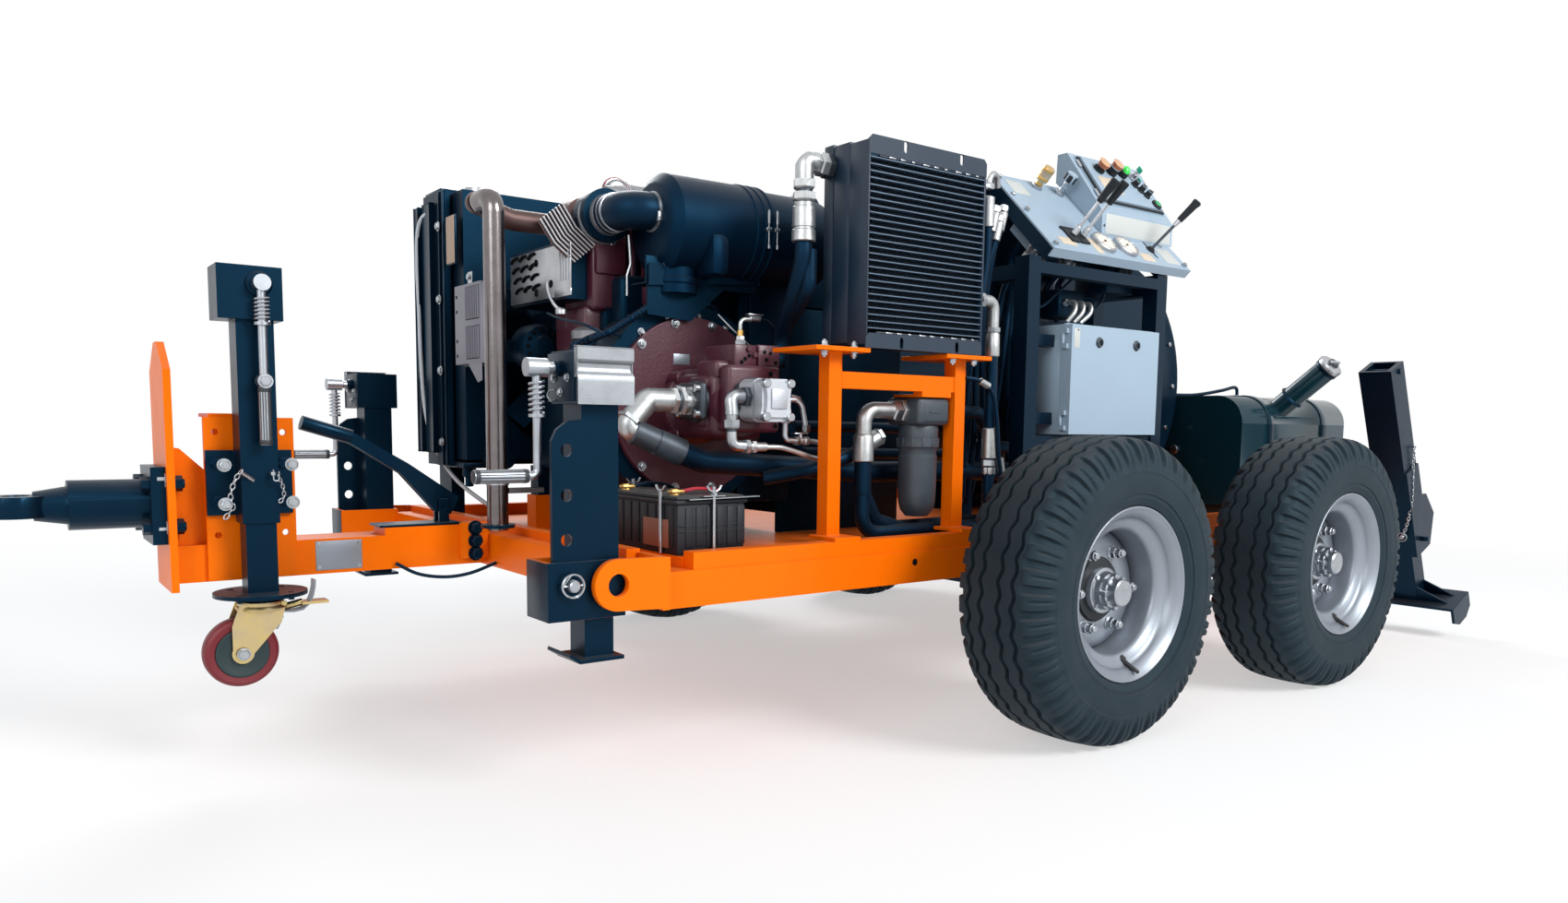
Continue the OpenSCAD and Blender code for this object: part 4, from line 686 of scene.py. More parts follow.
def bent(points, bend, step=9.0):
    """Path through corner points with each corner rounded to the bend radius."""
    pts = [Vector(p) for p in points]
    out = [pts[0]]
    for i in range(1, len(pts) - 1):
        a, b, c = pts[i - 1:i + 2]
        u, v = (a - b).normalized(), (c - b).normalized()
        turn = pi - u.angle(v)
        if turn < 0.02:
            out.append(b)
            continue
        reach = min(bend * tan(turn / 2), 0.49 * (a - b).length, 0.49 * (c - b).length)
        r = reach / tan(turn / 2)
        centre = b + (u + v).normalized() * (r / cos(turn / 2))
        start, end = b + u * reach - centre, b + v * reach - centre
        n = max(2, int(degrees(turn) / step) + 1)
        arc = start.rotation_difference(end)
        still = Matrix.Identity(3).to_quaternion()
        out += [centre + still.slerp(arc, k / n) @ start for k in range(n + 1)]
    out.append(pts[-1])
    return out


def smooth_way(points, each=10):
    """Soft curve through points, for a wire or a slack hose."""
    pts = [Vector(p) for p in points]
    pts = [pts[0] * 2 - pts[1]] + pts + [pts[-1] * 2 - pts[-2]]
    out = []
    for i in range(1, len(pts) - 2):
        p0, p1, p2, p3 = pts[i - 1:i + 3]
        for k in range(each):
            t = k / each
            out.append(0.5 * (2 * p1 + (p2 - p0) * t + (2 * p0 - 5 * p1 + 4 * p2 - p3) * t * t
                + (3 * p1 - p0 - 3 * p2 + p3) * t ** 3))
    out.append(pts[-2])
    return out


def new_tree(name, inputs):
    """Empty geometry tree, what its named inputs give and the socket that takes what it makes."""
    tree = bpy.data.node_groups.new(name, "GeometryNodeTree")
    tree.interface.new_socket(name="Seeds", in_out="INPUT", socket_type="NodeSocketGeometry")
    for socket, kind, value in inputs:
        s = tree.interface.new_socket(name=socket, in_out="INPUT", socket_type=kind)
        if value is not None:
            s.default_value = value
    tree.interface.new_socket(name="Made", in_out="OUTPUT", socket_type="NodeSocketGeometry")
    return Graph(tree), tree.nodes.new("NodeGroupInput").outputs, tree.nodes.new("NodeGroupOutput").inputs["Made"]


def grown(name, graph, seeds, values, body, edges=(), smooth=30):
    """Piece that a tree grows on seed points, each a place and the way it faces, as one plain mesh."""
    me = bpy.data.meshes.new(name + "_seeds")
    me.from_pydata([tuple(s[0]) for s in seeds], list(edges), [])
    facing = me.attributes.new("facing", "FLOAT_VECTOR", "POINT")
    facing.data.foreach_set("vector", [c for s in seeds for c in s[1]])
    ob = bpy.data.objects.new(name, me)
    scene.collection.objects.link(ob)
    grow = ob.modifiers.new("grow", "NODES")
    grow.node_group = graph.tree
    for item in graph.tree.interface.items_tree:
        if item.item_type == "SOCKET" and item.in_out == "INPUT" and item.name in values:
            grow[item.identifier] = values[item.name]
    plain = bpy.data.meshes.new_from_object(ob.evaluated_get(bpy.context.evaluated_depsgraph_get()))
    plain.name = name
    ob.modifiers.remove(grow)
    ob.data = plain
    bpy.data.meshes.remove(me)
    plain.shade_smooth()
    plain.set_sharp_from_angle(angle=radians(smooth))
    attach(ob, body)
    return ob


MATERIAL = "NodeSocketMaterial"
INTEGER = "NodeSocketInt"
VECTOR = "NodeSocketVector"
bolt_tree, given, made = new_tree("hex_bolts", [("Across", FLOAT, 0.019), ("Height", FLOAT, 0.01),
    ("Washer", FLOAT, 0.002), ("Stud", FLOAT, 0.004), ("Seed", INTEGER, 3), ("Finish", MATERIAL, None)])


def times(graph, value, factor):
    """Value of a socket times a number."""
    return graph.math("MULTIPLY", value, factor)


def real_copies(graph, copies, material, made):
    """Copies turned into plain geometry of one material, which the tree gives out."""
    plain = graph.node("GeometryNodeRealizeInstances", {"Geometry": copies})
    graph.feed(made, graph.node("GeometryNodeSetMaterial", {"Geometry": plain, "Material": material}))


radius_of = times(bolt_tree, given["Across"], 0.5774)
washer = bolt_tree.node("GeometryNodeMeshCylinder", {"Vertices": 18, "Radius": times(bolt_tree, given["Across"],
    0.78), "Depth": given["Washer"]})
head = bolt_tree.node("GeometryNodeMeshCylinder", {"Vertices": 6, "Radius": radius_of, "Depth": given["Height"]})
chamfer = bolt_tree.node("GeometryNodeMeshCone", {"Vertices": 6, "Radius Bottom": radius_of,
    "Radius Top": times(bolt_tree, radius_of, 0.85), "Depth": times(bolt_tree, given["Across"], 0.07)})
stud = bolt_tree.node("GeometryNodeMeshCylinder", {"Vertices": 12, "Radius": times(bolt_tree, given["Across"], 0.3),
    "Depth": given["Stud"]})
head_top = bolt_tree.math("ADD", given["Washer"], given["Height"])
gather = bolt_tree.node("GeometryNodeJoinGeometry")
for part, base in (
        (washer, times(bolt_tree, given["Washer"], 0.5)),
        (head, bolt_tree.math("ADD", given["Washer"], times(bolt_tree, given["Height"], 0.5))),
        (chamfer, head_top),
        (stud, bolt_tree.math("ADD", head_top, times(bolt_tree, given["Stud"], 0.5)))):
    bolt_tree.feed(gather.inputs[0], bolt_tree.node("GeometryNodeTransform",
        {"Geometry": part, "Translation": bolt_tree.node("ShaderNodeCombineXYZ", {"Z": base})}))
# a bolt on each seed, along its facing and turned at random about it
facing = bolt_tree.node("GeometryNodeInputNamedAttribute", {"Name": "facing"}, data_type="FLOAT_VECTOR")
any_turn = bolt_tree.node("FunctionNodeRandomValue", {"Max": 6.28, "Seed": given["Seed"]}, data_type="FLOAT")
upright = bolt_tree.node("FunctionNodeAlignRotationToVector", {"Vector": facing.outputs["Attribute"]}, axis="Z")
turned = bolt_tree.node("FunctionNodeAxisAngleToRotation", {"Axis": (0, 0, 1),
    "Angle": [o for o in any_turn.outputs if o.enabled and o.type == "VALUE"][0]})
rotation = bolt_tree.node("FunctionNodeRotateRotation", {"Rotation": upright, "Rotate By": turned},
    rotation_space="LOCAL")
real_copies(bolt_tree, bolt_tree.node("GeometryNodeInstanceOnPoints", {"Points": given["Seeds"], "Instance": gather,
    "Rotation": rotation}), given["Finish"], made)


def bolts(name, spots, across, material=None, height=None, stud=0.0025, washer=0.002):
    """Row of bolts. Each spot is a place and the way the head faces."""
    return grown(name, bolt_tree, spots, {"Across": across, "Height": height or across * 0.55, "Washer": washer,
        "Stud": stud, "Seed": 5, "Finish": material or bright_zinc}, "chassis")


down, up_way = (0, 0, -1), (0, 0, 1)
left_way, right_way, front_way, back_way = (0, -1, 0), (0, 1, 0), (-1, 0, 0), (1, 0, 0)
bolts("tow_bolts", [((-1.9455, y, z), front_way) for y in (-0.07, 0.07) for z in (0.54, 0.64)], 0.024)
tow = Stock()
tow.slab((-1.648, -0.0615, 0.424), (-1.545, -0.0598, 0.492), silver, 0.0006)
tow.done("drawbar_plate", "chassis", "silver_paint")
bolts("plate_rivets", [((x, -0.0614, z), left_way) for x in (-1.641, -1.552) for z in (0.431, 0.485)], 0.006,
    washer=0.0005, stud=0.0005)

# ---------------------------------------------------------------- landing jack
# Square telescopic jack clamped to the drawbar's side plate by four plated bolts, with two lock pins
# kept on short chains, a pressed brake pedal on the castor and a rubber grip on the winding handle.
chain_tree, given, made = new_tree("chain", [("Pitch", FLOAT, 0.011), ("Wire", FLOAT, 0.0012),
    ("Finish", MATERIAL, None)])


def spaced(graph, seeds, pitch):
    """Curve along the seeds' edges with a point at every pitch."""
    curve = graph.node("GeometryNodeMeshToCurve", {"Mesh": seeds})
    return graph.node("GeometryNodeResampleCurve", {"Curve": curve, "Length": pitch}, mode="LENGTH")


def along_curve(graph):
    """Rotation that turns X along the curve."""
    return graph.node("FunctionNodeAlignRotationToVector", {"Vector": graph.node("GeometryNodeInputTangent")},
        axis="X")


way = spaced(chain_tree, given["Seeds"], given["Pitch"])
ring = chain_tree.node("GeometryNodeCurvePrimitiveCircle", {"Resolution": 14,
    "Radius": times(chain_tree, given["Pitch"], 0.66)})
oval = chain_tree.node("GeometryNodeTransform", {"Geometry": ring, "Scale": (1.05, 0.62, 1.0)})
wire_ring = chain_tree.node("GeometryNodeCurvePrimitiveCircle", {"Resolution": 7, "Radius": given["Wire"]})
link = chain_tree.node("GeometryNodeCurveToMesh", {"Curve": oval, "Profile Curve": wire_ring})
roll_on = chain_tree.node("FunctionNodeAxisAngleToRotation", {"Axis": (1, 0, 0),
    "Angle": times(chain_tree, chain_tree.node("GeometryNodeInputIndex"), 1.62)})
rolled = chain_tree.node("FunctionNodeRotateRotation", {"Rotation": along_curve(chain_tree), "Rotate By": roll_on},
    rotation_space="LOCAL")
real_copies(chain_tree, chain_tree.node("GeometryNodeInstanceOnPoints", {"Points": way, "Instance": link,
    "Rotation": rolled}), given["Finish"], made)


def chain(name, way, pitch, wire):
    """Chain of alternating links along a way."""
    seeds = [(p, (0, 0, 1)) for p in way]
    return grown(name, chain_tree, seeds, {"Pitch": pitch, "Wire": wire, "Finish": bright_zinc}, "chassis",
        edges=[(i, i + 1) for i in range(len(seeds) - 1)], smooth=60)


def strap(stock, path, across, thickness, material):
    """Flat strip bent along a path; across is half its width as a vector."""
    path = [stock.here @ Vector(p) for p in path]
    across = stock.here.to_3x3() @ Vector(across)
    verts, faces = [], []
    for p, t in zip(path, tangents_of(path)):
        n = t.cross(across.normalized()).normalized() * thickness / 2
        verts += [p - across - n, p + across - n, p + across + n, p - across + n]
    for i in range(len(path) - 1):
        for k in range(4):
            j = (k + 1) % 4
            faces.append((i * 4 + k, i * 4 + j, i * 4 + 4 + j, i * 4 + 4 + k))
    faces += [(3, 2, 1, 0), tuple(len(verts) - 4 + k for k in range(4))]
    stock.put(verts, faces, material)


def grip(stock, a, b, radius, material, flutes=14, depth=0.0012):
    """Moulded hand grip with flutes along it and a rounded end."""
    a, b = stock.here @ Vector(a), stock.here @ Vector(b)
    along = (b - a).normalized()
    turn = along.to_track_quat("Z", "Y").to_matrix()
    length = (b - a).length
    steps = flutes * 4
    verts = []
    stations = [(0.0, 0.86, 0), (0.0015, 0.98, 0), (0.006, 1.03, 0), (0.01, 1.03, 0), (0.012, 1.0, 1),
        (length - 0.012, 1.0, 1), (length - 0.01, 1.03, 0), (length - 0.004, 1.03, 0), (length - 0.001, 0.96, 0),
        (length, 0.82, 0)]
    for d, k, cut in stations:
        for s, t in enumerate(around(steps)):
            r = radius * k - (depth if cut and s % 4 in (0, 1) else 0.0)
            verts.append(a + along * d + turn @ Vector((r * cos(t), r * sin(t), 0)))
    stock.put(verts, tube(0, len(stations), steps), material)


grip_rubber = finish("grip_rubber", (0.016, 0.019, 0.023), (0.03, 0.034, 0.04), 0.5, grain=(500.0, 0.2))
jack_at = (-1.778, -0.122)
bolts("jack_clamp_bolts", [((x, -0.1665, z), left_way) for x in (-1.848, -1.716) for z in (0.592, 0.674)], 0.018,
    stud=0.004, washer=0.002)
jack = Stock()
jack.rod((-1.791, -0.158, 0.64), (-1.819, -0.176, 0.66), 0.0052, bright_zinc, 16, 0.002)
jack.rod((-1.757, -0.158, 0.655), (-1.757, -0.188, 0.655), 0.005, bright_zinc, 16, 0.002)
jack.pipe(bent([(-1.757, -0.186, 0.664), (-1.757, -0.186, 0.64), (-1.746, -0.186, 0.64), (-1.746, -0.186, 0.66)],
    0.004), 0.0016, bright_zinc, 10)
jack.slab((-1.8, -0.1605, 0.966), (-1.756, -0.1585, 0.972), black_paint, 0.0004)
jack.lathe((-1.77, -0.172, 1.053), left_way, [(0, 0.0), (0.0, 0.026), (0.006, 0.026), (0.01, 0.022), (0.01, 0.0)],
    black_paint, 32)
jack.done("jack_fittings", "chassis", "zinc_plate")
chain("pin_chain_left", smooth_way([(-1.819, -0.176, 0.659), (-1.83, -0.172, 0.64), (-1.838, -0.168, 0.608),
    (-1.834, -0.164, 0.585), (-1.846, -0.163, 0.566)], 8), 0.0105, 0.0015)
chain("pin_chain_right", smooth_way([(-1.747, -0.186, 0.648), (-1.738, -0.176, 0.63), (-1.734, -0.168, 0.606),
    (-1.74, -0.166, 0.596)], 6), 0.0085, 0.0013)
handle = Stock()
grip(handle, (-1.77, -0.191, 0.8385), (-1.77, -0.191, 0.7155), 0.0125, grip_rubber)
handle.nut((-1.77, -0.203, 0.85), left_way, 0.019, 0.008, bright_zinc, washer=0.002)
handle.done("jack_grip", "jack_handle", "black_plastic")
castor = Stock()
strap(castor, [(-1.742, -0.122, 0.35), (-1.715, -0.122, 0.347), (-1.696, -0.122, 0.35), (-1.682, -0.122, 0.362),
    (-1.674, -0.122, 0.38), (-1.67, -0.122, 0.398), (-1.669, -0.122, 0.414)], (0, 0.015, 0), 0.004, silver)
strap(castor, [(-1.745, -0.122, 0.346), (-1.742, -0.122, 0.33), (-1.752, -0.122, 0.312)], (0, 0.02, 0), 0.003, silver)
castor.rod((-1.744, -0.15, 0.34), (-1.744, -0.094, 0.34), 0.005, bright_zinc, 16)
castor.lathe((jack_at[0], jack_at[1], 0.3655), down, [(0, 0.05), (0.004, 0.052), (0.008, 0.05), (0.01, 0.044)],
    yellow_zinc, 40)
for side in (-1, 1):
    castor.nut((-1.822, jack_at[1] + side * 0.0345, 0.2668), (0, side, 0), 0.019, 0.009, bright_zinc, washer=0.002)
castor.done("castor_brake", "caster", "zinc_plate")

# ---------------------------------------------------------------- drop legs
# Square tube legs on a pressed strip with four pin holes. A folded zinc cover closes each gearbox,
# a lynch pin with a wire ring locks the leg, and the winding handle has a fluted grip.
worn_tin = finish("worn_tin", (0.33, 0.355, 0.38), (0.19, 0.2, 0.215), 0.36, metallic=1.0, mottle=(12.0, 0.6))
for code, side in (("left", -1), ("right", 1)):
    y, mid_y, ring_y = side * 0.791, side * 0.72, side * 0.7875
    cover = Stock()
    profile = [(0.012, 0.9175), (-0.0005, 0.9165), (-0.0032, 0.9135), (-0.0032, 0.892), (0.0, 0.888), (0.0035, 0.884),
        (0.004, 0.878), (0.004, 0.872), (0.0005, 0.866), (-0.0034, 0.862), (-0.0044, 0.858), (-0.0046, 0.85),
        (-0.0046, 0.8065)]
    strap(cover, [(-1.286, y - side * a, z) for a, z in profile], (0.0605, 0, 0), 0.0016, worn_tin)
    for x in (-1.3445, -1.2275):
        cover.slab((x - 0.0012, min(y, y - side * 0.013), 0.858), (x + 0.0012, max(y, y - side * 0.013), 0.915),
            worn_tin, 0.0004)
    cover.done("leg_cover_" + code, "chassis", "zinc_plate")
    head = Stock()
    head.slab((-1.346, mid_y - 0.058, 0.812), (-1.3435, mid_y + 0.058, 0.906), black_paint, 0.0008)
    head.lathe((-1.3436, mid_y, 0.876), front_way, [(0, 0.016), (0.014, 0.016), (0.016, 0.013), (0.018, 0.0)],
        black_paint, 28)
    head.lathe((-1.362, mid_y, 0.876), front_way, [(0, 0.011), (0.01, 0.011), (0.012, 0.009), (0.012, 0.0)],
        bright_zinc, 24)
    head.pipe(smooth_way([(-1.345, side * 0.69, 0.836), (-1.355, side * 0.686, 0.832), (-1.36, side * 0.69, 0.822),
        (-1.352, side * 0.694, 0.812), (-1.345, side * 0.69, 0.816)], 6), 0.0014, bright_zinc, 8)
    head.done("leg_gearbox_" + code, "chassis", "black_paint")
    bolts("leg_bolts_" + code, [((-1.3462, side * (0.72 + dy), z), front_way)
        for dy, z in ((-0.03, 0.858), (0.03, 0.858), (0.0, 0.83))], 0.011, height=0.004, washer=0.001, stud=0.001)
    handle = Stock()
    grip(handle, (-1.4155, mid_y, 0.668), (-1.5245, mid_y, 0.668), 0.0134, grip_rubber)
    handle.done("leg_grip_" + code, "crank_" + code, "black_plastic")
    pin = Stock()
    pin.lathe((-1.354, side * 0.785, 0.457), (0, side, 0), [(0, 0.0118), (0.009, 0.0118), (0.011, 0.0095),
        (0.0112, 0.0)], bright_zinc, 28)
    ring_way = []
    for k in range(30):
        a = radians(-60 + k * 300 / 29)
        ring_way.append((-1.354 + 0.0225 * sin(a + 0.5), ring_y, 0.457 - 0.0225 * cos(a + 0.5)))
    pin.pipe([(-1.358, ring_y, 0.48)] + ring_way[::-1] + [(-1.345, ring_y, 0.434)], 0.0019, bright_zinc, 10)
    pin.done("lynch_ring_" + code, "chassis", "zinc_plate")

# ---------------------------------------------------------------- ground spades
# The raked legs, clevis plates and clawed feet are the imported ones. Each side has a lock pin with a
# wire ring through the leg, and a plated chain that keeps it.
for code, side in (("left", -1), ("right", 1)):
    lock = Stock()
    at = (2.0, side * 0.889, 0.381)
    lock.rod((2.004, at[1], at[2]), (1.978, at[1], at[2]), 0.008, bright_zinc, 20, 0.002)
    lock.pipe([(1.984, at[1] + 0.016 * cos(k * 0.35), at[2] + 0.016 * sin(k * 0.35)) for k in range(18)], 0.0017,
        bright_zinc, 8)
    lock.rod((1.935, side * 0.916, 0.7225), (1.935, side * 0.932, 0.7225), 0.006, bright_zinc, 16, 0.001)
    lock.done("spade_pin_" + code, "chassis", "zinc_plate")
    chain("spade_chain_" + code, smooth_way([(1.935, side * 0.93, 0.7185), (1.944, side * 0.926, 0.67),
        (1.952, side * 0.925, 0.6), (1.958, side * 0.925, 0.53), (1.966, side * 0.915, 0.45),
        (1.982, side * 0.893, 0.388)], 8), 0.0115, 0.0016)

# ---------------------------------------------------------------- frame welds and castor core
# Hand welded joints: short runs of overlapping beads, grown along straight seams in the paint of what
# they join. A near-black disc closes each side of the castor's rubber roller; its teal tint is painted sky
# reflection.
weld_tree, given, made = new_tree("weld_beads", [("Pitch", FLOAT, 0.005), ("Bead", FLOAT, 0.005),
    ("Seed", INTEGER, 7), ("Finish", MATERIAL, None)])
seam = spaced(weld_tree, given["Seeds"], given["Pitch"])
bead = weld_tree.node("GeometryNodeMeshIcoSphere", {"Subdivisions": 2, "Radius": given["Bead"]})
size_vary = weld_tree.node("FunctionNodeRandomValue", {0: (0.7, 0.85, 0.85), 1: (0.95, 1.15, 1.15),
    "Seed": given["Seed"]}, data_type="FLOAT_VECTOR")
real_copies(weld_tree, weld_tree.node("GeometryNodeInstanceOnPoints", {"Points": seam, "Instance": bead,
    "Rotation": along_curve(weld_tree), "Scale": size_vary}), given["Finish"], made)


def welds(name, seams, bead):
    """Runs of weld beads along straight seams."""
    seeds, edges = [], []
    for a, b in seams:
        edges.append((len(seeds), len(seeds) + 1))
        seeds += [(a, up_way), (b, up_way)]
    return grown(name, weld_tree, seeds, {"Pitch": bead * 0.9, "Bead": bead, "Seed": 7, "Finish": orange}, "chassis",
        edges=edges, smooth=70)


# the teal in this near-black is painted sky reflection
core_teal = finish("wheel_core", (0.004, 0.02, 0.024), (0.01, 0.03, 0.034), 0.4)
roller = Stock()
for s in (-1, 1):
    roller.lathe((-1.822, -0.122 + s * 0.0222, 0.267), (0, s, 0), [(-0.004, 0.0), (-0.004, 0.052), (0.0002, 0.053),
        (0.0004, 0.048), (-0.001, 0.044), (-0.001, 0.02), (0.0006, 0.018), (0.0006, 0.0)], core_teal, 44)
roller.done("caster_core", "caster_roll", "caster_rubber")

# ---------------------------------------------------------------- battery
# Boxed starter battery: ribbed black case, hinged lid, bare label place, plated hold-down strap on
# two rods with wing nuts, brass clamps and two battery leads.
lid_black = finish("case_plastic", (0.006, 0.008, 0.012), (0.016, 0.02, 0.026), 0.5, grain=(700.0, 0.2),
    dust=0.25, specular=0.35)
brass = finish("brass", (0.68, 0.43, 0.14), (0.5, 0.3, 0.1), 0.32, metallic=1.0, mottle=(30.0, 0.5))
red_cable = finish("red_cable", (0.42, 0.012, 0.03), (0.25, 0.01, 0.02), 0.4)
tan_label = finish("bare_label", (0.3, 0.12, 0.07), (0.22, 0.09, 0.05), 0.6, mottle=(30.0, 0.5))
case = Stock(moved(-1.068, 0, 0))
case.slabs(lid_black, [
    ((0, -0.7, 0.488), (0.175, -0.36, 0.648), 0.004),
    ((-0.006, -0.706, 0.646), (0.181, -0.354, 0.657), 0.003),
    ((-0.002, -0.702, 0.656), (0.177, -0.358, 0.67), 0.006)])
for i in range(6):
    x = 0.02 + i * 0.027
    case.slab((x, -0.7025, 0.51 + 0.004 * (i % 2)), (x + 0.02, -0.699, 0.636), lid_black, 0.0012)
for z in (0.56, 0.578):
    case.slab((0.004, -0.7032, z), (0.171, -0.699, z + 0.0022), lid_black, 0.0006)
for i in range(9):
    y = -0.685 + i * 0.037
    case.slab((-0.0025, y, 0.51), (0.001, y + 0.027, 0.64), lid_black, 0.001)
case.slab((-0.004, -0.668, 0.508), (-0.002, -0.56, 0.596), tan_label, 0.0004)
strap(case, [(0.088, -0.712, 0.67), (0.088, -0.3485, 0.67)], (0.028, 0, 0), 0.003, bright_zinc)
strap(case, [(0.02, -0.708, 0.6615), (0.205, -0.708, 0.6655)], (0, 0.01, 0), 0.0025, bright_zinc)
for y in (-0.709, -0.351):
    case.rod((0.088, y, 0.488), (0.088, y, 0.7), 0.0042, bright_zinc, 14)
    case.nut((0.088, y, 0.6715), up_way, 0.013, 0.007, bright_zinc, washer=0.002)
    for s in (-1, 1):
        case.pipe([(0.088 + s * 0.004, y, 0.684), (0.088 + s * 0.013, y, 0.69), (0.088 + s * 0.019, y, 0.703)],
            0.0032, bright_zinc, 8)
case.rod((-0.006, -0.64, 0.488), (-0.006, -0.64, 0.69), 0.0042, bright_zinc, 14)
for s in (-1, 1):
    case.pipe([(-0.006, -0.64 + s * 0.004, 0.684), (-0.006, -0.64 + s * 0.013, 0.69),
        (-0.006, -0.64 + s * 0.019, 0.702)], 0.0032, bright_zinc, 8)
for y in (-0.64, -0.42):
    case.lathe((0.03, y, 0.669), up_way, [(0, 0.011), (0.012, 0.01), (0.02, 0.009), (0.02, 0.0)], brass, 20)
    case.slab((0.016, y - 0.011, 0.674), (0.05, y + 0.011, 0.686), brass, 0.003)
case.pipe(smooth_way([(0.05, -0.64, 0.681), (0.085, -0.64, 0.688), (0.125, -0.63, 0.684), (0.165, -0.6, 0.676),
    (0.195, -0.54, 0.64), (0.2, -0.47, 0.56)], 6), 0.0058, red_cable, 12)
case.pipe(smooth_way([(0.05, -0.42, 0.681), (0.1, -0.415, 0.69), (0.17, -0.4, 0.668), (0.205, -0.38, 0.6),
    (0.2, -0.35, 0.52)], 6), 0.0058, hose_rubber, 12)
bmesh.ops.scale(case.bm, vec=(1.0, 1.0, 0.7), space=moved(0, 0, -0.488), verts=case.bm.verts)
case.done("battery_case", "chassis", "black_plastic", stands_for=["battery"])

# ---------------------------------------------------------------- engine
# Water cooled diesel set across the frame: black painted castings, maroon side covers, a turbocharger
# with a cast volute, hot side shields of ribbed and pierced sheet, and a belt driven alternator.
cast_alloy = finish("cast_alloy", (0.31, 0.32, 0.34), (0.2, 0.21, 0.23), 0.46, metallic=0.85, mottle=(14.0, 0.6),
    grain=(180.0, 0.3), dust=0.05)
shield_steel = finish("shield_steel", (0.5, 0.52, 0.55), (0.3, 0.29, 0.3), 0.3, metallic=1.0, mottle=(9.0, 0.7))
brown_steel = finish("heat_brown", (0.1, 0.062, 0.058), (0.055, 0.036, 0.036), 0.42, metallic=0.8, mottle=(12.0, 0.7))
sleeve_red = finish("sleeve_red", (0.36, 0.03, 0.04), (0.28, 0.02, 0.03), 0.45)
# near-black stand-in for the inside of holes, slots and bores: painted shade
hole_shade = finish("hole_shade", (0.001, 0.002, 0.004), (0.002, 0.003, 0.005), 0.7, specular=0.1)
ribbed_tree, given, made = new_tree("bent_ribs", [("Count", INTEGER, 6), ("Step", VECTOR, (0.0, 0.014, 0.0)),
    ("Half Width", FLOAT, 0.002), ("Finish", MATERIAL, None)])
rib = ribbed_tree.node("GeometryNodeCurveToMesh", {"Curve": ribbed_tree.node("GeometryNodeMeshToCurve",
    {"Mesh": given["Seeds"]}), "Profile Curve": ribbed_tree.node("GeometryNodeCurvePrimitiveCircle",
    {"Resolution": 8, "Radius": given["Half Width"]}), "Fill Caps": True})
rib_row = ribbed_tree.node("GeometryNodeMeshLine", {"Count": given["Count"], "Offset": given["Step"]})
real_copies(ribbed_tree, ribbed_tree.node("GeometryNodeInstanceOnPoints", {"Points": rib_row, "Instance": rib}),
    given["Finish"], made)


def ribs(name, way, count, step, half_width, material):
    """Parallel ribs, each bent along the same way."""
    seeds = [(p, up_way) for p in way]
    return grown(name, ribbed_tree, seeds, {"Count": count, "Step": step, "Half Width": half_width,
        "Finish": material}, "chassis", edges=[(i, i + 1) for i in range(len(seeds) - 1)], smooth=60)


engine = Stock()
# turbocharger: volute that grows round its scroll, inlet ring, centre housing and turbine side
turbo = Vector((-0.962, -0.16, 1.292))
scroll = [turbo + 0.05 * Vector((sin(radians(k * 10.5 + 20)), 0.0, cos(radians(k * 10.5 + 20)))) for k in range(33)]
engine.pipe(scroll, 0.02, cast_alloy, 18, swell=lambda d: 0.026 - 0.04 * d)
engine.pipe(smooth_way([(-0.95, -0.16, 1.343), (-0.92, -0.155, 1.35), (-0.89, -0.12, 1.362), (-0.868, -0.06, 1.385)],
    6), 0.027, cast_alloy, 20)
engine.lathe((turbo.x, -0.128, turbo.z), left_way, [(0, 0.058), (0.01, 0.064), (0.05, 0.062), (0.056, 0.052),
    (0.076, 0.049), (0.078, 0.047), (0.078, 0.04), (0.06, 0.0)], cast_alloy, 44)
engine.lathe((turbo.x, -0.138, turbo.z), right_way, [(0, 0.06), (0.012, 0.06), (0.016, 0.045), (0.05, 0.04),
    (0.06, 0.062), (0.09, 0.066), (0.11, 0.058), (0.12, 0.0)], brown_steel, 44)
# charge pipe with its red sleeve and clamps
charge = smooth_way([(-0.87, -0.064, 1.384), (-0.845, -0.01, 1.4), (-0.815, 0.045, 1.408), (-0.76, 0.085, 1.414),
    (-0.69, 0.105, 1.418)], 8)
engine.pipe(charge[:12], 0.03, cast_alloy, 24)
engine.pipe(charge[10:22], 0.033, sleeve_red, 24)
engine.pipes(cast_alloy, [
    (charge[20:], 0.029, 24),
    (bent([(-0.7, 0.103, 1.418), (-0.52, 0.125, 1.412), (-0.5, 0.18, 1.3)], 0.05), 0.029, 24)])
for k in (12, 15, 18, 20):
    engine.pipe(charge[k:k + 2], 0.0345, shield_steel, 24)
# hot pipe from the turbine into the stack, and the drain tube with its union
engine.pipe(bent([(-1.075, -0.09, 1.268), (-0.992, -0.09, 1.268)], 0.03), 0.0278, brown_steel, 24)
engine.lathe((-1.06, -0.09, 1.268), back_way, [(0, 0.03), (0.002, 0.034), (0.014, 0.034), (0.016, 0.03)],
    shield_steel, 30)
engine.pipe(smooth_way([(-1.012, -0.02, 1.226), (-1.03, -0.02, 1.18), (-1.046, -0.02, 1.135), (-1.048, -0.03, 1.105),
    (-1.042, -0.05, 1.075), (-1.03, -0.062, 1.06)], 6), 0.0062, shield_steel, 14)
engine.nut((-1.01, -0.02, 1.222), up_way, 0.024, 0.014, bright_zinc)
engine.lathe((-1.024, -0.02, 1.232), front_way, [(0, 0.01), (0.01, 0.01), (0.012, 0.007), (0.012, 0.0)],
    sleeve_red, 20)
engine.lathe((-1.03, -0.062, 1.068), down, [(0, 0.012), (0.006, 0.016), (0.018, 0.016), (0.02, 0.0)],
    shield_steel, 20)
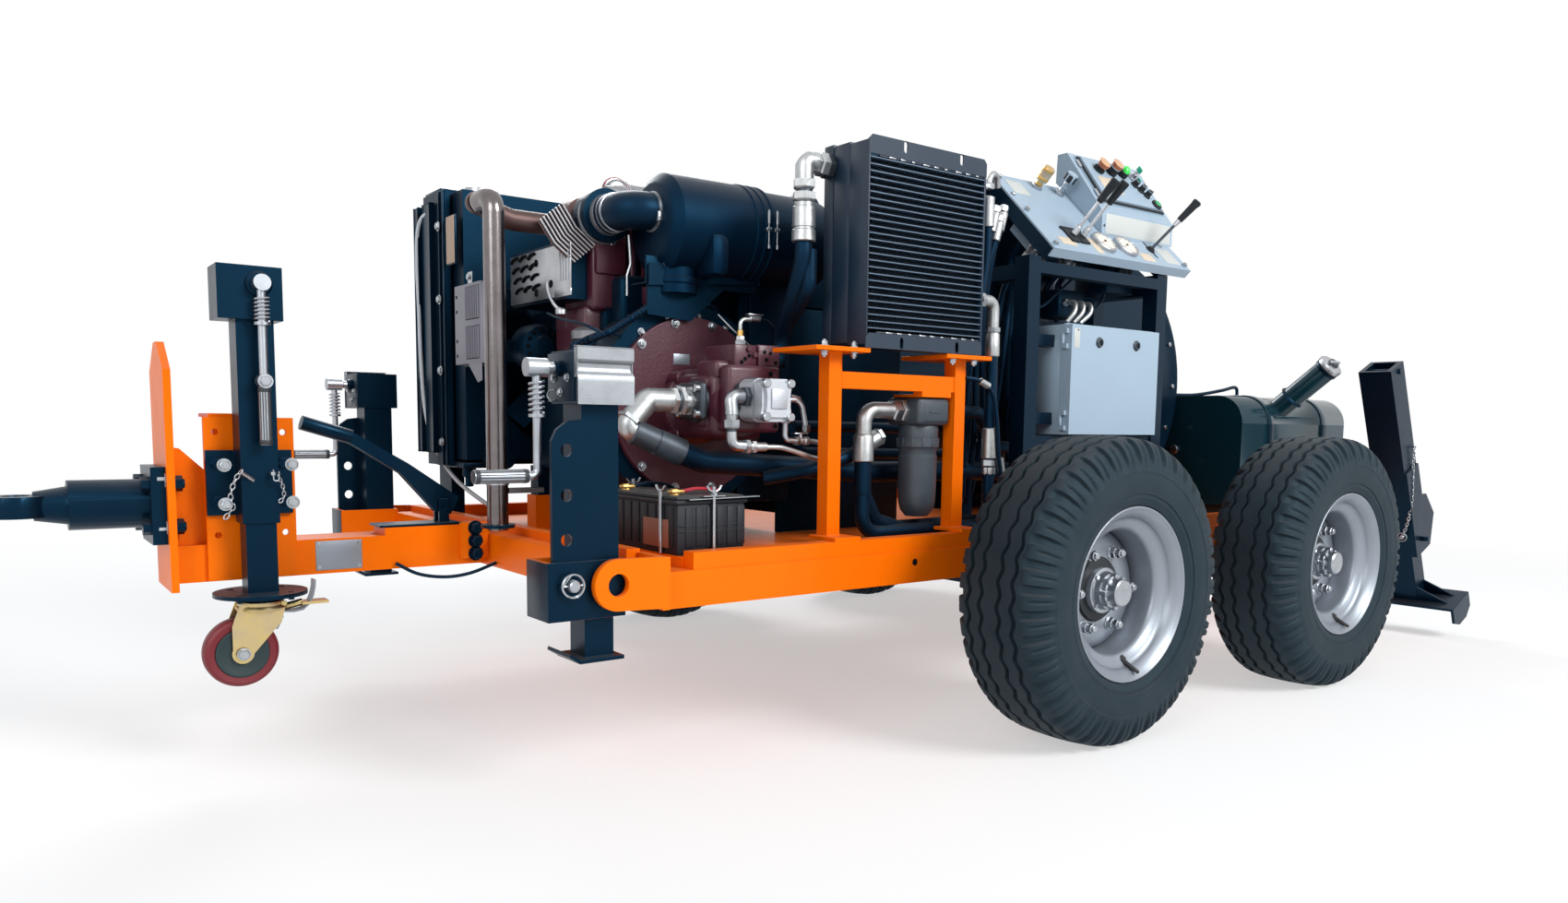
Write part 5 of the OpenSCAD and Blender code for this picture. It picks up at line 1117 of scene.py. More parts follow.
# pierced shield over the manifold, its slots and holes drawn as near-black painted shade
engine.slab((-1.0505, -0.16, 1.092), (-1.0485, 0.215, 1.222), shield_steel, 0.0006)
for row, z in enumerate((1.206, 1.178, 1.15, 1.122)):
    for col in range(3):
        y = 0.205 - col * 0.055 - 0.01 * row
        engine.pipe(smooth_way([(-1.052, y, z), (-1.0525, y - 0.02, z + 0.009), (-1.052, y - 0.042, z + 0.01)], 4),
            0.0042, hole_shade, 8)
for y, z in ((0.045, 1.19), (0.045, 1.112), (-0.045, 1.128)):
    engine.lathe((-1.05, y, z), front_way, [(0, 0.01), (0.0022, 0.01), (0.0022, 0.0)], hole_shade, 20)
for y in (-0.1, -0.115, -0.13, -0.145):
    engine.pipe([(-1.0515, y, 1.13), (-1.0515, y, 1.205)], 0.0026, shield_steel, 8)
engine.slab((-1.052, -0.162, 1.09), (-1.048, -0.066, 1.108), shield_steel, 0.001)
# rocker cover, coolant outlet, filter head, side covers and their bolts
engine.slab((-0.885, -0.11, 1.22), (-0.69, 0.27, 1.262), black_alloy, 0.012)
engine.slabs(maroon, [
    ((-0.87, -0.232, 1.072), (-0.728, -0.147, 1.132), 0.01),
    ((-0.865, -0.158, 1.13), (-0.725, -0.137, 1.232), 0.006)])
for i in range(3):
    engine.slab((-0.85 + 0.045 * i, -0.168, 1.14), (-0.838 + 0.045 * i, -0.155, 1.226), maroon, 0.003)
engine.lathe((-0.8, -0.236, 1.102), left_way, [(0, 0.03), (0.01, 0.03), (0.014, 0.024), (0.014, 0.0)], maroon, 30)
engine.slab((-0.955, -0.152, 0.9), (-0.9, -0.12, 1.06), black_alloy, 0.01)
engine.lathe((-0.985, -0.12, 0.985), down, [(0, 0.036), (0.01, 0.044), (0.022, 0.046), (0.14, 0.046), (0.155, 0.036),
    (0.16, 0.0)], black_plastic, 36)
engine.lathe((-0.985, -0.12, 0.985), up_way, [(0, 0.04), (0.02, 0.042), (0.03, 0.026), (0.03, 0.0)], cast_alloy, 30)
# alternator with its fan, pulley and covers, their slots drawn as near-black painted shade
alternator = Vector((-1.02, 0.17, 0.975))
engine.lathes(black_alloy, [
    (alternator, left_way, [(0, 0.03), (0.004, 0.056), (0.02, 0.062), (0.08, 0.062), (0.095, 0.054), (0.104, 0.03),
        (0.112, 0.026), (0.112, 0.0)], 40),
    (alternator, right_way, [(0, 0.052), (0.006, 0.052), (0.008, 0.03), (0.016, 0.03), (0.018, 0.036), (0.036, 0.036),
        (0.04, 0.02), (0.04, 0.0)], 36)])
for a in around(14):
    at = alternator + Vector((0.045 * cos(a), -0.099, 0.045 * sin(a)))
    engine.rod(at, at + Vector((0, -0.006, 0)), 0.0055, hole_shade, 10)
engine.slab((-0.96, 0.08, 1.01), (-0.93, 0.16, 1.06), black_alloy, 0.004)
# support plate under the air cleaner, steel lines, wiring in corrugated sleeve
strap(engine, [(-0.926, -0.332, 1.136), (-0.78, -0.332, 1.15), (-0.594, -0.332, 1.165)], (0, 0, 0.027),
    0.004, black_paint)
strap(engine, [(-0.594, -0.334, 1.165), (-0.586, -0.3, 1.165), (-0.59, -0.24, 1.165)], (0, 0, 0.03),
    0.004, black_paint)
engine.pipes(bright_zinc, [
    (bent([(-0.69, -0.336, 1.212), (-0.605, -0.336, 1.216), (-0.588, -0.336, 1.196), (-0.588, -0.3, 1.15)], 0.012),
        0.0045, 12),
    (bent([(-0.93, -0.24, 1.24), (-0.925, -0.24, 1.17), (-0.935, -0.24, 1.14), (-0.935, -0.24, 1.09)], 0.015),
        0.004, 12)])
engine.done("engine_fittings", "chassis", "engine_casting")
conduit_way = smooth_way([(-1.06, -0.19, 0.965), (-1.031, -0.296, 0.985), (-0.975, -0.312, 1.02),
    (-0.915, -0.316, 1.058), (-0.85, -0.3, 1.082), (-0.78, -0.3, 1.086), (-0.7, -0.27, 1.076), (-0.64, -0.2, 1.04)],
    26)
conduit = Stock()
conduit.pipe(conduit_way, 0.0085, hose_rubber, 12, swell=lambda d: 0.0085 + 0.0012 * sin(d * 2 * pi / 0.0075))
for k in (12, 30, 55, 90):
    conduit.pipe(conduit_way[k:k + 3], 0.0108, black_plastic, 14)
conduit.pipes(hose_rubber, [
    (smooth_way([(-1.033, -0.29, 0.988), (-1.06, -0.25, 1.01), (-1.075, -0.15, 1.03), (-1.068, -0.06, 1.05)], 8),
        0.0035, 8),
    (smooth_way([(-1.1, -0.24, 0.905), (-1.075, -0.23, 0.96), (-1.03, -0.27, 0.99), (-0.98, -0.3, 0.985)], 8),
        0.003, 8)])
conduit.pipe(smooth_way([(-0.72, -0.33, 1.052), (-0.69, -0.36, 1.01), (-0.65, -0.372, 0.975), (-0.61, -0.38, 0.955)],
    8), 0.0022, bright_zinc, 8)
conduit.done("engine_wiring", "chassis", "hose_rubber")
ribs("shield_ribs", bent([(-1.126, -0.15, 1.268), (-1.088, -0.15, 1.215), (-1.034, -0.15, 1.174)], 0.006), 8,
    (0.0082, 0.0, 0.0066), 0.003, shield_steel)
fold = Stock()
strap(fold, bent([(-1.097, -0.1455, 1.29), (-1.059, -0.1455, 1.238), (-1.005, -0.1455, 1.197)], 0.006),
    (0.034, 0.0, 0.027), 0.0015, brown_steel)
fold.done("shield_fold", "chassis", "exhaust_steel")
heads = Stock()
for k in range(4):
    x = -0.985 + 0.11 * k
    heads.slabs(maroon, [
        ((x, -0.15, 1.06), (x + 0.1, 0.02, 1.29), 0.012, None, 3),
        ((x + 0.006, -0.16, 1.15), (x + 0.094, -0.14, 1.25), 0.008)])
    heads.nut((x + 0.05, -0.161, 1.232), left_way, 0.018, 0.008, bright_zinc)
heads.slab((-1.0, -0.13, 0.96), (-0.56, 0.04, 1.07), maroon, 0.01, segments=3)
heads.done("cylinder_covers", "chassis", "maroon_paint")

# ---------------------------------------------------------------- exhaust, radiator side and cleaner
# Polished stack tarnished brown where it leaves the turbine; radiator with bolted side rails, a pale
# overflow hose, a louvred sheet box and drain cock; moulded air cleaner with two band clamps.
stack = Stock()
stack.pipes(brown_steel, [
    (bent([(-1.268, -0.108, 1.296), (-1.268, -0.09, 1.296), (-1.252, -0.09, 1.294)], 0.012), 0.0256, 24),
    (bent([(-1.236, -0.09, 1.286), (-1.18, -0.09, 1.268), (-1.073, -0.09, 1.268)], 0.08), 0.0262, 28)])
stack.lathe((-1.268, -0.205, 0.518), up_way, [(0, 0.04), (0.008, 0.04), (0.008, 0.026), (0.01, 0.0)], black_paint, 32)
stack.lathe((-1.268, -0.205, 0.62), up_way, [(0, 0.0258), (0.001, 0.0272), (0.022, 0.0272), (0.023, 0.0258)],
    shield_steel, 28)
stack.slab((-1.292, -0.232, 0.626), (-1.268, -0.222, 0.636), bright_zinc, 0.002)
stack.done("stack_fittings", "chassis", "exhaust_steel")

hose_grey = finish("overflow_grey", (0.55, 0.6, 0.64), (0.42, 0.47, 0.5), 0.4)
louvre_grey = finish("louvre_grey", (0.2, 0.2, 0.24), (0.15, 0.15, 0.18), 0.45, grain=(300.0, 0.15))
pale_label = finish("pale_label", (0.42, 0.3, 0.22), (0.36, 0.27, 0.2), 0.5, mottle=(20.0, 0.5))
rad = Stock()
for x in (-1.1625, -0.4015):
    s = -1 if x < -1 else 1
    rad.slabs(black_paint, [
        ((x - 0.003, 0.455, 0.642), (x + 0.003, 0.462, 1.428), 0.001),
        ((x - 0.003, 0.422, 0.642), (x + 0.003, 0.428, 1.428), 0.001),
        ((x + s * 0.001, 0.5, 0.68), (x + s * 0.012, 0.56, 1.4), 0.003),
        ((x + s * 0.001, 0.6, 0.68), (x + s * 0.012, 0.636, 1.4), 0.003)])
rad.slab((-1.1405, 0.504, 1.438), (-0.4235, 0.636, 1.449), black_paint, 0.004)
rad.lathe((-1.0, 0.57, 1.448), up_way, [(0, 0.034), (0.006, 0.034), (0.008, 0.04), (0.026, 0.04), (0.03, 0.034),
    (0.03, 0.0)], bright_zinc, 30)
rad.slab((-1.164, 0.34, 1.215), (-1.162, 0.4, 1.345), pale_label, 0.0004)
rad.slab((-1.1605, 0.338, 1.212), (-1.156, 0.402, 1.348), black_paint, 0.0004)
rad.pipe(smooth_way([(-1.16, 0.505, 1.372), (-1.172, 0.555, 1.372), (-1.176, 0.598, 1.34), (-1.177, 0.612, 1.25),
    (-1.176, 0.605, 1.1), (-1.176, 0.597, 0.95), (-1.17, 0.585, 0.8), (-1.15, 0.56, 0.69), (-1.12, 0.48, 0.6),
    (-1.08, 0.38, 0.54), (-1.04, 0.3, 0.5)], 8), 0.0062, hose_grey, 12)
rad.lathes(black_alloy, [
    ((-1.1, 0.42, 0.64), down, [(0, 0.02), (0.03, 0.02), (0.034, 0.012), (0.06, 0.012), (0.062, 0.0)], 24),
    ((-1.06, 0.36, 0.665), left_way, [(0, 0.03), (0.06, 0.03), (0.064, 0.033), (0.075, 0.033), (0.08, 0.028),
        (0.12, 0.028)], 28)])
rad.slab((-1.145, 0.345, 0.636), (-1.02, 0.48, 0.652), black_paint, 0.003)
# louvred box: two banks of slots and edge holes drawn as near-black painted shade, and a gusset under it
louvre_x = -1.183
rad.slab((louvre_x, 0.104, 0.926), (-1.164, 0.29, 1.14), louvre_grey, 0.002)
banks = (1.045, 0.94)
for bank in banks:
    rad.slab((louvre_x - 0.0006, 0.112, bank - 0.002), (louvre_x + 0.001, 0.206, bank + 0.086), hole_shade, 0.0002)
for z in (1.11, 1.07, 0.99, 0.95):
    rad.lathe((louvre_x + 0.0004, 0.274, z), front_way, [(0, 0.0048), (0.0012, 0.0048), (0.0012, 0.0)], hole_shade, 16)
rad.sheet([(0.104, 0.928), (0.2, 0.928), (0.13, 0.875), (0.104, 0.88)], 0.002, louvre_grey,
    Matrix(((0, 0, 1, louvre_x + 0.001), (1, 0, 0, 0), (0, 1, 0, 0), (0, 0, 0, 1))))
rad.lathe((louvre_x + 0.001, 0.18, 1.156), front_way, [(0, 0.008), (0.006, 0.008), (0.006, 0.0)], bright_zinc, 6)
rad.slab((louvre_x + 0.002, 0.165, 1.138), (louvre_x + 0.004, 0.195, 1.17), shield_steel, 0.001)
rad.done("radiator_fittings", "chassis", "black_aluminium")
bolts("radiator_bolts", [((x, 0.454, z), way) for x, way in ((-1.1662, front_way), (-0.3978, back_way))
    for z in (1.328, 1.121, 0.917, 0.71)], 0.018, height=0.005)
for bank in banks:
    ribs("louvre_bars_" + ("high" if bank > 1 else "low"), [(louvre_x - 0.001, 0.202, bank),
        (louvre_x - 0.001, 0.202, bank + 0.084)], 7, (0.0, -0.0143, 0.0), 0.0034, louvre_grey)

cleaner = Stock()
cy, cz = -0.29, 1.264
cleaner.lathe((-0.896, cy, cz), back_way, [(0, 0.0), (0, 0.096), (0.004, 0.102), (0.02, 0.1215), (0.024, 0.1255),
    (0.18, 0.1262), (0.236, 0.1262), (0.238, 0.129), (0.246, 0.129), (0.248, 0.1262), (0.262, 0.1262), (0.264, 0.129),
    (0.272, 0.129), (0.274, 0.1262), (0.286, 0.1262), (0.288, 0.129), (0.294, 0.129), (0.296, 0.12), (0.48, 0.12),
    (0.5, 0.116), (0.508, 0.106), (0.508, 0.0)], black_plastic, 72)
# outlet boot under the body, dust bowl latch and intake snorkel on its far end
cleaner.pipe(bent([(-0.835, -0.3, 1.2), (-0.835, -0.3, 1.15), (-0.835, -0.3, 1.096)], 0.02), 0.059, black_plastic, 36)
cleaner.lathe((-0.835, -0.3, 1.135), down, [(0, 0.0605), (0.002, 0.0625), (0.014, 0.0625), (0.016, 0.0605)],
    black_plastic, 40)
cleaner.slab((-0.8, -0.425, 1.135), (-0.745, -0.33, 1.24), black_plastic, 0.02)
cleaner.pipe(bent([(-0.455, -0.29, 1.32), (-0.43, -0.29, 1.345), (-0.4, -0.29, 1.345)], 0.02), 0.055,
    black_plastic, 30)
for x in (-0.628, -0.602):
    for dz, h in ((0.01, 0.036), (-0.052, 0.016)):
        cleaner.rod((x, -0.4215, cz + dz + 0.004), (x, -0.4215, cz + dz + h), 0.0042, bright_zinc, 10)
    cleaner.slab((x - 0.008, -0.4235, cz - 0.004), (x + 0.008, -0.417, cz + 0.006), bright_zinc, 0.001)
    cleaner.rod((x, -0.4215, cz - 0.04), (x, -0.4215, cz + 0.05), 0.0022, bright_zinc, 10)
cleaner.slab((-0.5, -0.405, 1.15), (-0.488, -0.38, 1.176), bright_zinc, 0.001)
# hose clamps on the rubber intake elbow
for x, r in ((-0.905, 0.0475), (-0.9, 0.0495)):
    cleaner.lathe((x, -0.3, 1.292), back_way, [(0, 0.046), (0.0005, r), (0.011, r), (0.0115, 0.046)], bright_zinc, 44)
cleaner.slab((-0.911, -0.352, 1.262), (-0.895, -0.338, 1.286), bright_zinc, 0.003)
cleaner.lathe((-0.962, -0.206, 1.292), left_way, [(0, 0.046), (0.0005, 0.0488), (0.012, 0.0488), (0.0125, 0.046)],
    cast_alloy, 44)
cleaner.lathe((-0.962, -0.232, 1.292), left_way, [(0, 0.046), (0.0005, 0.0478), (0.008, 0.0478), (0.0085, 0.046)],
    bright_zinc, 44)
cleaner.done("cleaner_fittings", "chassis", "black_plastic", stands_for=["air_cleaner"])

# ---------------------------------------------------------------- hydraulic pumps
# Maroon cast piston pump bolted through the adapter disc, a machined gear pump behind it, and heavy
# galvanised suction pipework: flange, hexagons, mitred elbow and a crimped ferrule on the hose.
galvanised = finish("galvanised", (0.5, 0.52, 0.53), (0.3, 0.31, 0.31), 0.34, metallic=0.9, mottle=(26.0, 0.8),
    grain=(120.0, 0.2))
dark_steel = finish("dark_steel", (0.05, 0.062, 0.076), (0.09, 0.1, 0.12), 0.4, metallic=0.7, mottle=(20.0, 0.6))
gear_face = finish("gear_face", (0.52, 0.54, 0.58), (0.4, 0.42, 0.46), 0.42, metallic=0.75, mottle=(20.0, 0.5),
    grain=(260.0, 0.3))
px, pz = -0.782, 0.816
bolts("disc_bolts", [((px + 0.2143 * cos(radians(15 + 30 * i)), -0.3102, pz + 0.2143 * sin(radians(15 + 30 * i))),
    left_way) for i in range(12)], 0.0155, height=0.009, stud=0.004)
pump = Stock(moved(px, 0, pz))
pump.lathe((0, -0.3095, 0), left_way, [(0, 0.096), (0.022, 0.096), (0.026, 0.092), (0.03, 0.08), (0.034, 0.072)],
    maroon, 60)
pump.slabs(maroon, [
    ((-0.078, -0.522, -0.08), (0.078, -0.338, 0.08), 0.026, None, 4),
    ((-0.082, -0.5, -0.058), (0.07, -0.41, 0.07), 0.014, None, 3)])
pump.lathe((0, -0.344, 0), left_way, [(0, 0.082), (0.15, 0.082), (0.18, 0.074)], maroon, 60)
pump.slabs(maroon, [
    ((-0.062, -0.562, -0.064), (0.092, -0.519, 0.096), 0.012, None, 3),
    ((-0.03, -0.54, 0.083), (0.036, -0.4, 0.146), 0.006),
    ((0.038, -0.542, 0.08), (0.104, -0.402, 0.148), 0.006),
    ((-0.07, -0.52, 0.06), (0.06, -0.43, 0.108), 0.012, None, 3)])
# bosses, each with a near-black disc in its bore: painted shade
for dx, dz, y, r in ((-0.06, 0.07, -0.352, 0.017), (0.058, 0.072, -0.352, 0.017), (-0.06, -0.07, -0.352, 0.017),
        (0.058, -0.07, -0.352, 0.017), (-0.02, 0.08, -0.545, 0.013), (0.06, 0.078, -0.556, 0.012),
        (-0.052, -0.05, -0.556, 0.012), (0.076, -0.048, -0.556, 0.012)):
    at = (dx, y + 0.02, dz)
    pump.lathe(at, left_way, [(-0.03, r), (0.022, r), (0.026, r - 0.003), (0.026, r * 0.52), (0.02, r * 0.5),
        (0.02, 0.0)], maroon, 24)
    pump.lathe((at[0], at[1] - 0.0255, at[2]), left_way, [(0, 0.0), (0, r * 0.5), (0.001, r * 0.5), (0.001, 0.0)],
        hole_shade, 20)
# near-black discs for tapped holes: painted shade
for dx, dz in ((0.0, 0.112), (0.012, 0.12), (-0.01, 0.104), (0.062, 0.112), (0.074, 0.128), (0.056, 0.13),
        (0.09, 0.106)):
    pump.lathe((dx, -0.5412 if dx < 0.037 else -0.5422, dz), left_way, [(-0.002, 0.005), (0.0004, 0.005),
        (0.0004, 0.0)], hole_shade, 16)
for dx, dz in ((0.028, 0.122), (0.01, 0.136)):
    pump.lathe((dx, -0.54, dz), left_way, [(0, 0.0075), (0.006, 0.0075), (0.007, 0.006), (0.007, 0.0)], maroon, 6)
pump.slab((-0.06, -0.3112, 0.105), (-0.012, -0.309, 0.132), silver, 0.0006)
# inductive pickup and its bent conduit on top of the control block
pickup_x = 0.034
pump.nut((pickup_x, -0.47, 0.147), up_way, 0.024, 0.012, bright_zinc, washer=0.003)
pump.nut((pickup_x, -0.47, 0.16), up_way, 0.019, 0.012, galvanised)
pump.rod((pickup_x, -0.47, 0.17), (pickup_x, -0.47, 0.186), 0.0085, brass, 18)
pump.pipe(bent([(pickup_x, -0.47, 0.184), (pickup_x, -0.47, 0.212), (pickup_x + 0.044, -0.47, 0.216)], 0.022), 0.0055,
    galvanised, 14)
pump.rod((pickup_x + 0.026, -0.47, 0.215), (pickup_x + 0.058, -0.47, 0.217), 0.009, bright_zinc, 18)
pump.slab((pickup_x + 0.02, -0.478, 0.224), (pickup_x + 0.066, -0.462, 0.228), shield_steel, 0.001)
pump.pipe(smooth_way([(pickup_x + 0.056, -0.47, 0.217), (pickup_x + 0.085, -0.468, 0.213),
    (pickup_x + 0.11, -0.455, 0.196), (pickup_x + 0.125, -0.43, 0.16), (pickup_x + 0.1, -0.39, 0.1)], 7), 0.0028,
    hose_rubber, 8)
# suction flange, its four screws and hexagons
pump.lathe((-0.078, -0.455, 0.01), front_way, [(0, 0.05), (0.014, 0.05), (0.016, 0.047), (0.016, 0.0)],
    dark_steel, 40)
pump.slab((-0.104, -0.512, -0.034), (-0.086, -0.398, 0.054), dark_steel, 0.012, segments=3)
for dy in (-0.045, 0.045):
    for dz in (-0.03, 0.03):
        pump.lathe((-0.103, -0.455 + dy * 0.92, 0.01 + dz), front_way, [(0, 0.0095), (0.012, 0.0095), (0.013, 0.008),
            (0.013, 0.0)], bright_zinc, 20)
pump.nut((-0.103, -0.455, 0.01), front_way, 0.066, 0.0105, galvanised)
pump.rod((-0.112, -0.455, 0.01), (-0.128, -0.455, 0.01), 0.03, galvanised, 36)
pump.done("piston_pump", "chassis", "maroon_paint", stands_for=["main_pump"])

suction = Stock()
port_x, port_z = -0.9085, 0.826
suction.nut((port_x, -0.455, port_z), front_way, 0.064, 0.012, galvanised)
suction.rod((port_x - 0.01, -0.455, port_z), (port_x - 0.022, -0.455, port_z), 0.0285, dark_steel, 36)
suction.nut((port_x - 0.02, -0.455, port_z), front_way, 0.058, 0.014, galvanised)
mitre = [(port_x - 0.03, -0.455, port_z), (-1.0, -0.455, port_z), (-1.05, -0.46, 0.775)]
suction.pipes(galvanised, [
    (bent(mitre, 0.01, 30), 0.0285, 40),
    (bent([(-1.032, -0.458, 0.793), (-1.06, -0.461, 0.765), (-1.02, -0.466, 0.742)], 0.012, 20), 0.0275, 40)])
suction.lathe((-1.046, -0.46, 0.779), (-0.7, -0.05, -0.71), [(0, 0.0285), (0.001, 0.0345), (0.01, 0.0345),
    (0.011, 0.0285)], bright_zinc, 6)
ferrule_in, ferrule_out = Vector((-1.046, -0.4635, 0.754)), Vector((-0.912, -0.486, 0.698))
run_way = (ferrule_out - ferrule_in).normalized()
suction.lathe(ferrule_in, run_way, [(0, 0.027), (0.004, 0.03), (0.06, 0.03), (0.061, 0.0285), (0.064, 0.0285),
    (0.065, 0.031), (0.126, 0.0325), (0.1345, 0.0325), (0.136, 0.0305), (0.1365, 0.028)], dark_steel, 44)
hose_way = bent([tuple(ferrule_out - run_way * 0.01), (-0.872, -0.493, 0.682), (-0.372, -0.52, 0.65),
    (0.76, -0.52, 0.64), (0.76, -0.3503, 0.64)], 0.09, 6)
suction.pipe(hose_way, 0.028, hose_rubber, 32)
suction.lathe((0.76, -0.3903, 0.64), right_way, [(0, 0.029), (0.002, 0.033), (0.03, 0.033), (0.032, 0.03),
    (0.0398, 0.03)], dark_steel, 36)
suction.done("suction_line", "chassis", "hose_rubber", stands_for=["suction_hose"])

gear = Stock(moved(-0.782, 0, 0.828))
gear.lathe((0, -0.5622, 0), left_way, [(0, 0.0545), (0.016, 0.0545), (0.018, 0.052), (0.018, 0.0)], dark_steel, 48)


def side_on(y):
    """Frame at one distance across whose Z faces the left side of the trailer."""
    return Matrix(((1, 0, 0, 0), (0, 0, -1, y), (0, 1, 0, 0), (0, 0, 0, 1)))


plate = []
for a in around(64):
    square = 1 / max(abs(cos(a)) / 0.041, abs(sin(a)) / 0.049)
    lug = 0.004 * max(0.0, cos(4 * (a - pi / 4)))
    r = min(square, 0.0545) + lug
    plate.append((r * cos(a), r * sin(a)))
small = [(x * 0.8, z * 0.8) for x, z in plate]
gear.sheet(plate, 0.046, gear_face, side_on(-0.58))
gear.sheet([(x * 1.03, z * 1.03) for x, z in plate], 0.01, gear_face, side_on(-0.626))
gear.sheet(plate, 0.03, gear_face, side_on(-0.638))
gear.sheet(small, 0.01, gear_face, side_on(-0.667))
gear.slab((-0.022, -0.6815, -0.02), (0.022, -0.6765, 0.026), gear_face, 0.002)
for dx in (-0.0345, 0.0345):
    for dz in (-0.0385, 0.0385):
        gear.lathe((dx, -0.6675, dz), left_way, [(0, 0.0105), (0.013, 0.0105), (0.015, 0.0085), (0.015, 0.0)],
            bright_zinc, 24)
gear.nut((-0.04, -0.61, 0.008), front_way, 0.042, 0.014, dark_steel)
gear.rod((-0.05, -0.61, 0.008), (-0.066, -0.61, 0.008), 0.015, bright_zinc, 24)
gear.pipe(bent([(-0.06, -0.612, 0.008), (-0.092, -0.615, 0.008), (-0.092, -0.62, -0.028)], 0.018, 8), 0.0155,
    bright_zinc, 26)
gear.lathe((-0.092, -0.62, -0.024), down, [(0, 0.0155), (0.01, 0.0165), (0.011, 0.0145), (0.024, 0.0145)],
    bright_zinc, 24)
gear.nut((-0.092, -0.62, -0.046), down, 0.034, 0.02, bright_zinc)
gear.rod((-0.092, -0.62, -0.064), (-0.092, -0.62, -0.078), 0.0125, dark_steel, 20)
gear.pipe(bent([(-0.092, -0.62, -0.074), (-0.092, -0.622, -0.104), (-0.04, -0.63, -0.108)], 0.016, 8), 0.013,
    bright_zinc, 24)
gear.nut((-0.062, -0.628, -0.107), back_way, 0.03, 0.014, bright_zinc)
gear.nut((-0.044, -0.63, -0.108), back_way, 0.026, 0.012, galvanised)
gear.lathe((-0.034, -0.631, -0.108), back_way, [(0, 0.0105), (0.03, 0.0105), (0.032, 0.008), (0.034, 0.0)],
    galvanised, 20)
gear.pipe(smooth_way([(-0.005, -0.632, -0.108), (0.04, -0.636, -0.11), (0.09, -0.636, -0.122), (0.13, -0.632, -0.132),
    (0.19, -0.61, -0.14), (0.26, -0.56, -0.135)], 8), 0.0062, galvanised, 14)
gear.nut((0.04, -0.612, 0.004), back_way, 0.03, 0.018, galvanised)
gear.nut((0.058, -0.612, 0.004), back_way, 0.026, 0.014, bright_zinc)
gear.pipe(bent([(0.07, -0.612, 0.004), (0.112, -0.616, 0.004), (0.126, -0.62, -0.068)], 0.034, 7), 0.007,
    bright_zinc, 16)
gear.rod((0.082, -0.6165, 0.012), (0.108, -0.6165, 0.006), 0.0052, bright_zinc, 12)
gear.nut((0.126, -0.62, -0.056), down, 0.019, 0.018, bright_zinc)
gear.nut((0.058, -0.625, -0.038), down, 0.022, 0.014, galvanised)
gear.pipe(bent([(0.058, -0.625, -0.05), (0.058, -0.625, -0.092), (0.09, -0.625, -0.094)], 0.014, 8), 0.007,
    bright_zinc, 16)
gear.nut((0.088, -0.625, -0.094), back_way, 0.02, 0.012, bright_zinc)
gear.lathe((0.1, -0.625, -0.094), back_way, [(0, 0.0085), (0.014, 0.0085), (0.016, 0.011), (0.026, 0.011),
    (0.027, 0.0)], galvanised, 20)
gear.slab((0.082, -0.633, -0.078), (0.124, -0.617, -0.075), bright_zinc, 0.001)
gear.rod((0.105, -0.625, -0.092), (0.105, -0.625, -0.074), 0.005, bright_zinc, 12)
gear.pipe(smooth_way([(0.124, -0.625, -0.094), (0.15, -0.624, -0.096), (0.18, -0.61, -0.1), (0.23, -0.57, -0.105)],
    8), 0.006, galvanised, 12)
gear.done("gear_pump_made", "chassis", "pump_aluminium", stands_for=["gear_pump"])

# ---------------------------------------------------------------- engine underside
# Black masses round the flywheel: bell housing with its flange bolts, starter, harness box, mounting
# brackets, and flat black sheets behind the pumps that stand for the bay's depth in shade: painted shade.
bay = Stock()
bay.lathe((px, -0.288, pz), right_way, [(0, 0.0), (0, 0.238), (0.004, 0.244), (0.02, 0.244), (0.026, 0.226),
    (0.11, 0.205), (0.15, 0.198), (0.16, 0.17), (0.16, 0.0)], black_alloy, 72)
bay.slabs(black_alloy, [
    ((-0.93, -0.2, 1.01), (-0.56, 0.06, 1.15), 0.02, None, 3),
    ((-0.9, -0.12, 1.13), (-0.58, 0.08, 1.235), 0.016, None, 3),
    ((-0.57, -0.255, 0.93), (-0.44, -0.06, 1.33), 0.006),
    ((-0.6, -0.248, 0.56), (-0.425, -0.225, 1.15), 0.003),
    ((-0.44, -0.2, 0.52), (-0.41, 0.38, 1.24), 0.004),
    # thin black sheets behind the pumps: painted shade
    ((-0.44, -0.216, 0.4645), (0.03, -0.206, 1.11), 0.002),
    ((-0.375, -0.216, 1.1), (-0.14, -0.206, 1.285), 0.002)])
bay.lathe((-0.56, -0.262, 0.76), right_way, [(0, 0.0), (0, 0.04), (0.006, 0.044), (0.12, 0.044), (0.126, 0.056),
    (0.2, 0.056)], black_alloy, 36)
for x in (-0.925, -0.895):
    bay.slab((x, -0.29, 0.59), (x + 0.01, -0.13, 0.68), black_alloy, 0.002)
bay.slabs(black_alloy, [
    ((-0.93, -0.326, 1.118), (-0.596, -0.318, 1.182), 0.002),
    ((-0.93, -0.326, 1.114), (-0.596, -0.25, 1.119), 0.002)])
bay.sheet([(-0.926, 1.116), (-0.7, 1.116), (-0.8, 1.03), (-0.926, 1.04)], 0.005, black_alloy, side_on(-0.32))
bay.done("engine_bay", "chassis", "black_aluminium")
bolts("bay_bolts", [((-0.93 + 0.05 * i, -0.3262, 1.166), left_way) for i in (1, 3, 5)] + [
    ((px + 0.232 * cos(radians(a)), -0.2905, pz + 0.232 * sin(radians(a))), left_way) for a in range(40, 150, 22)],
    0.012, height=0.007, stud=0.002)

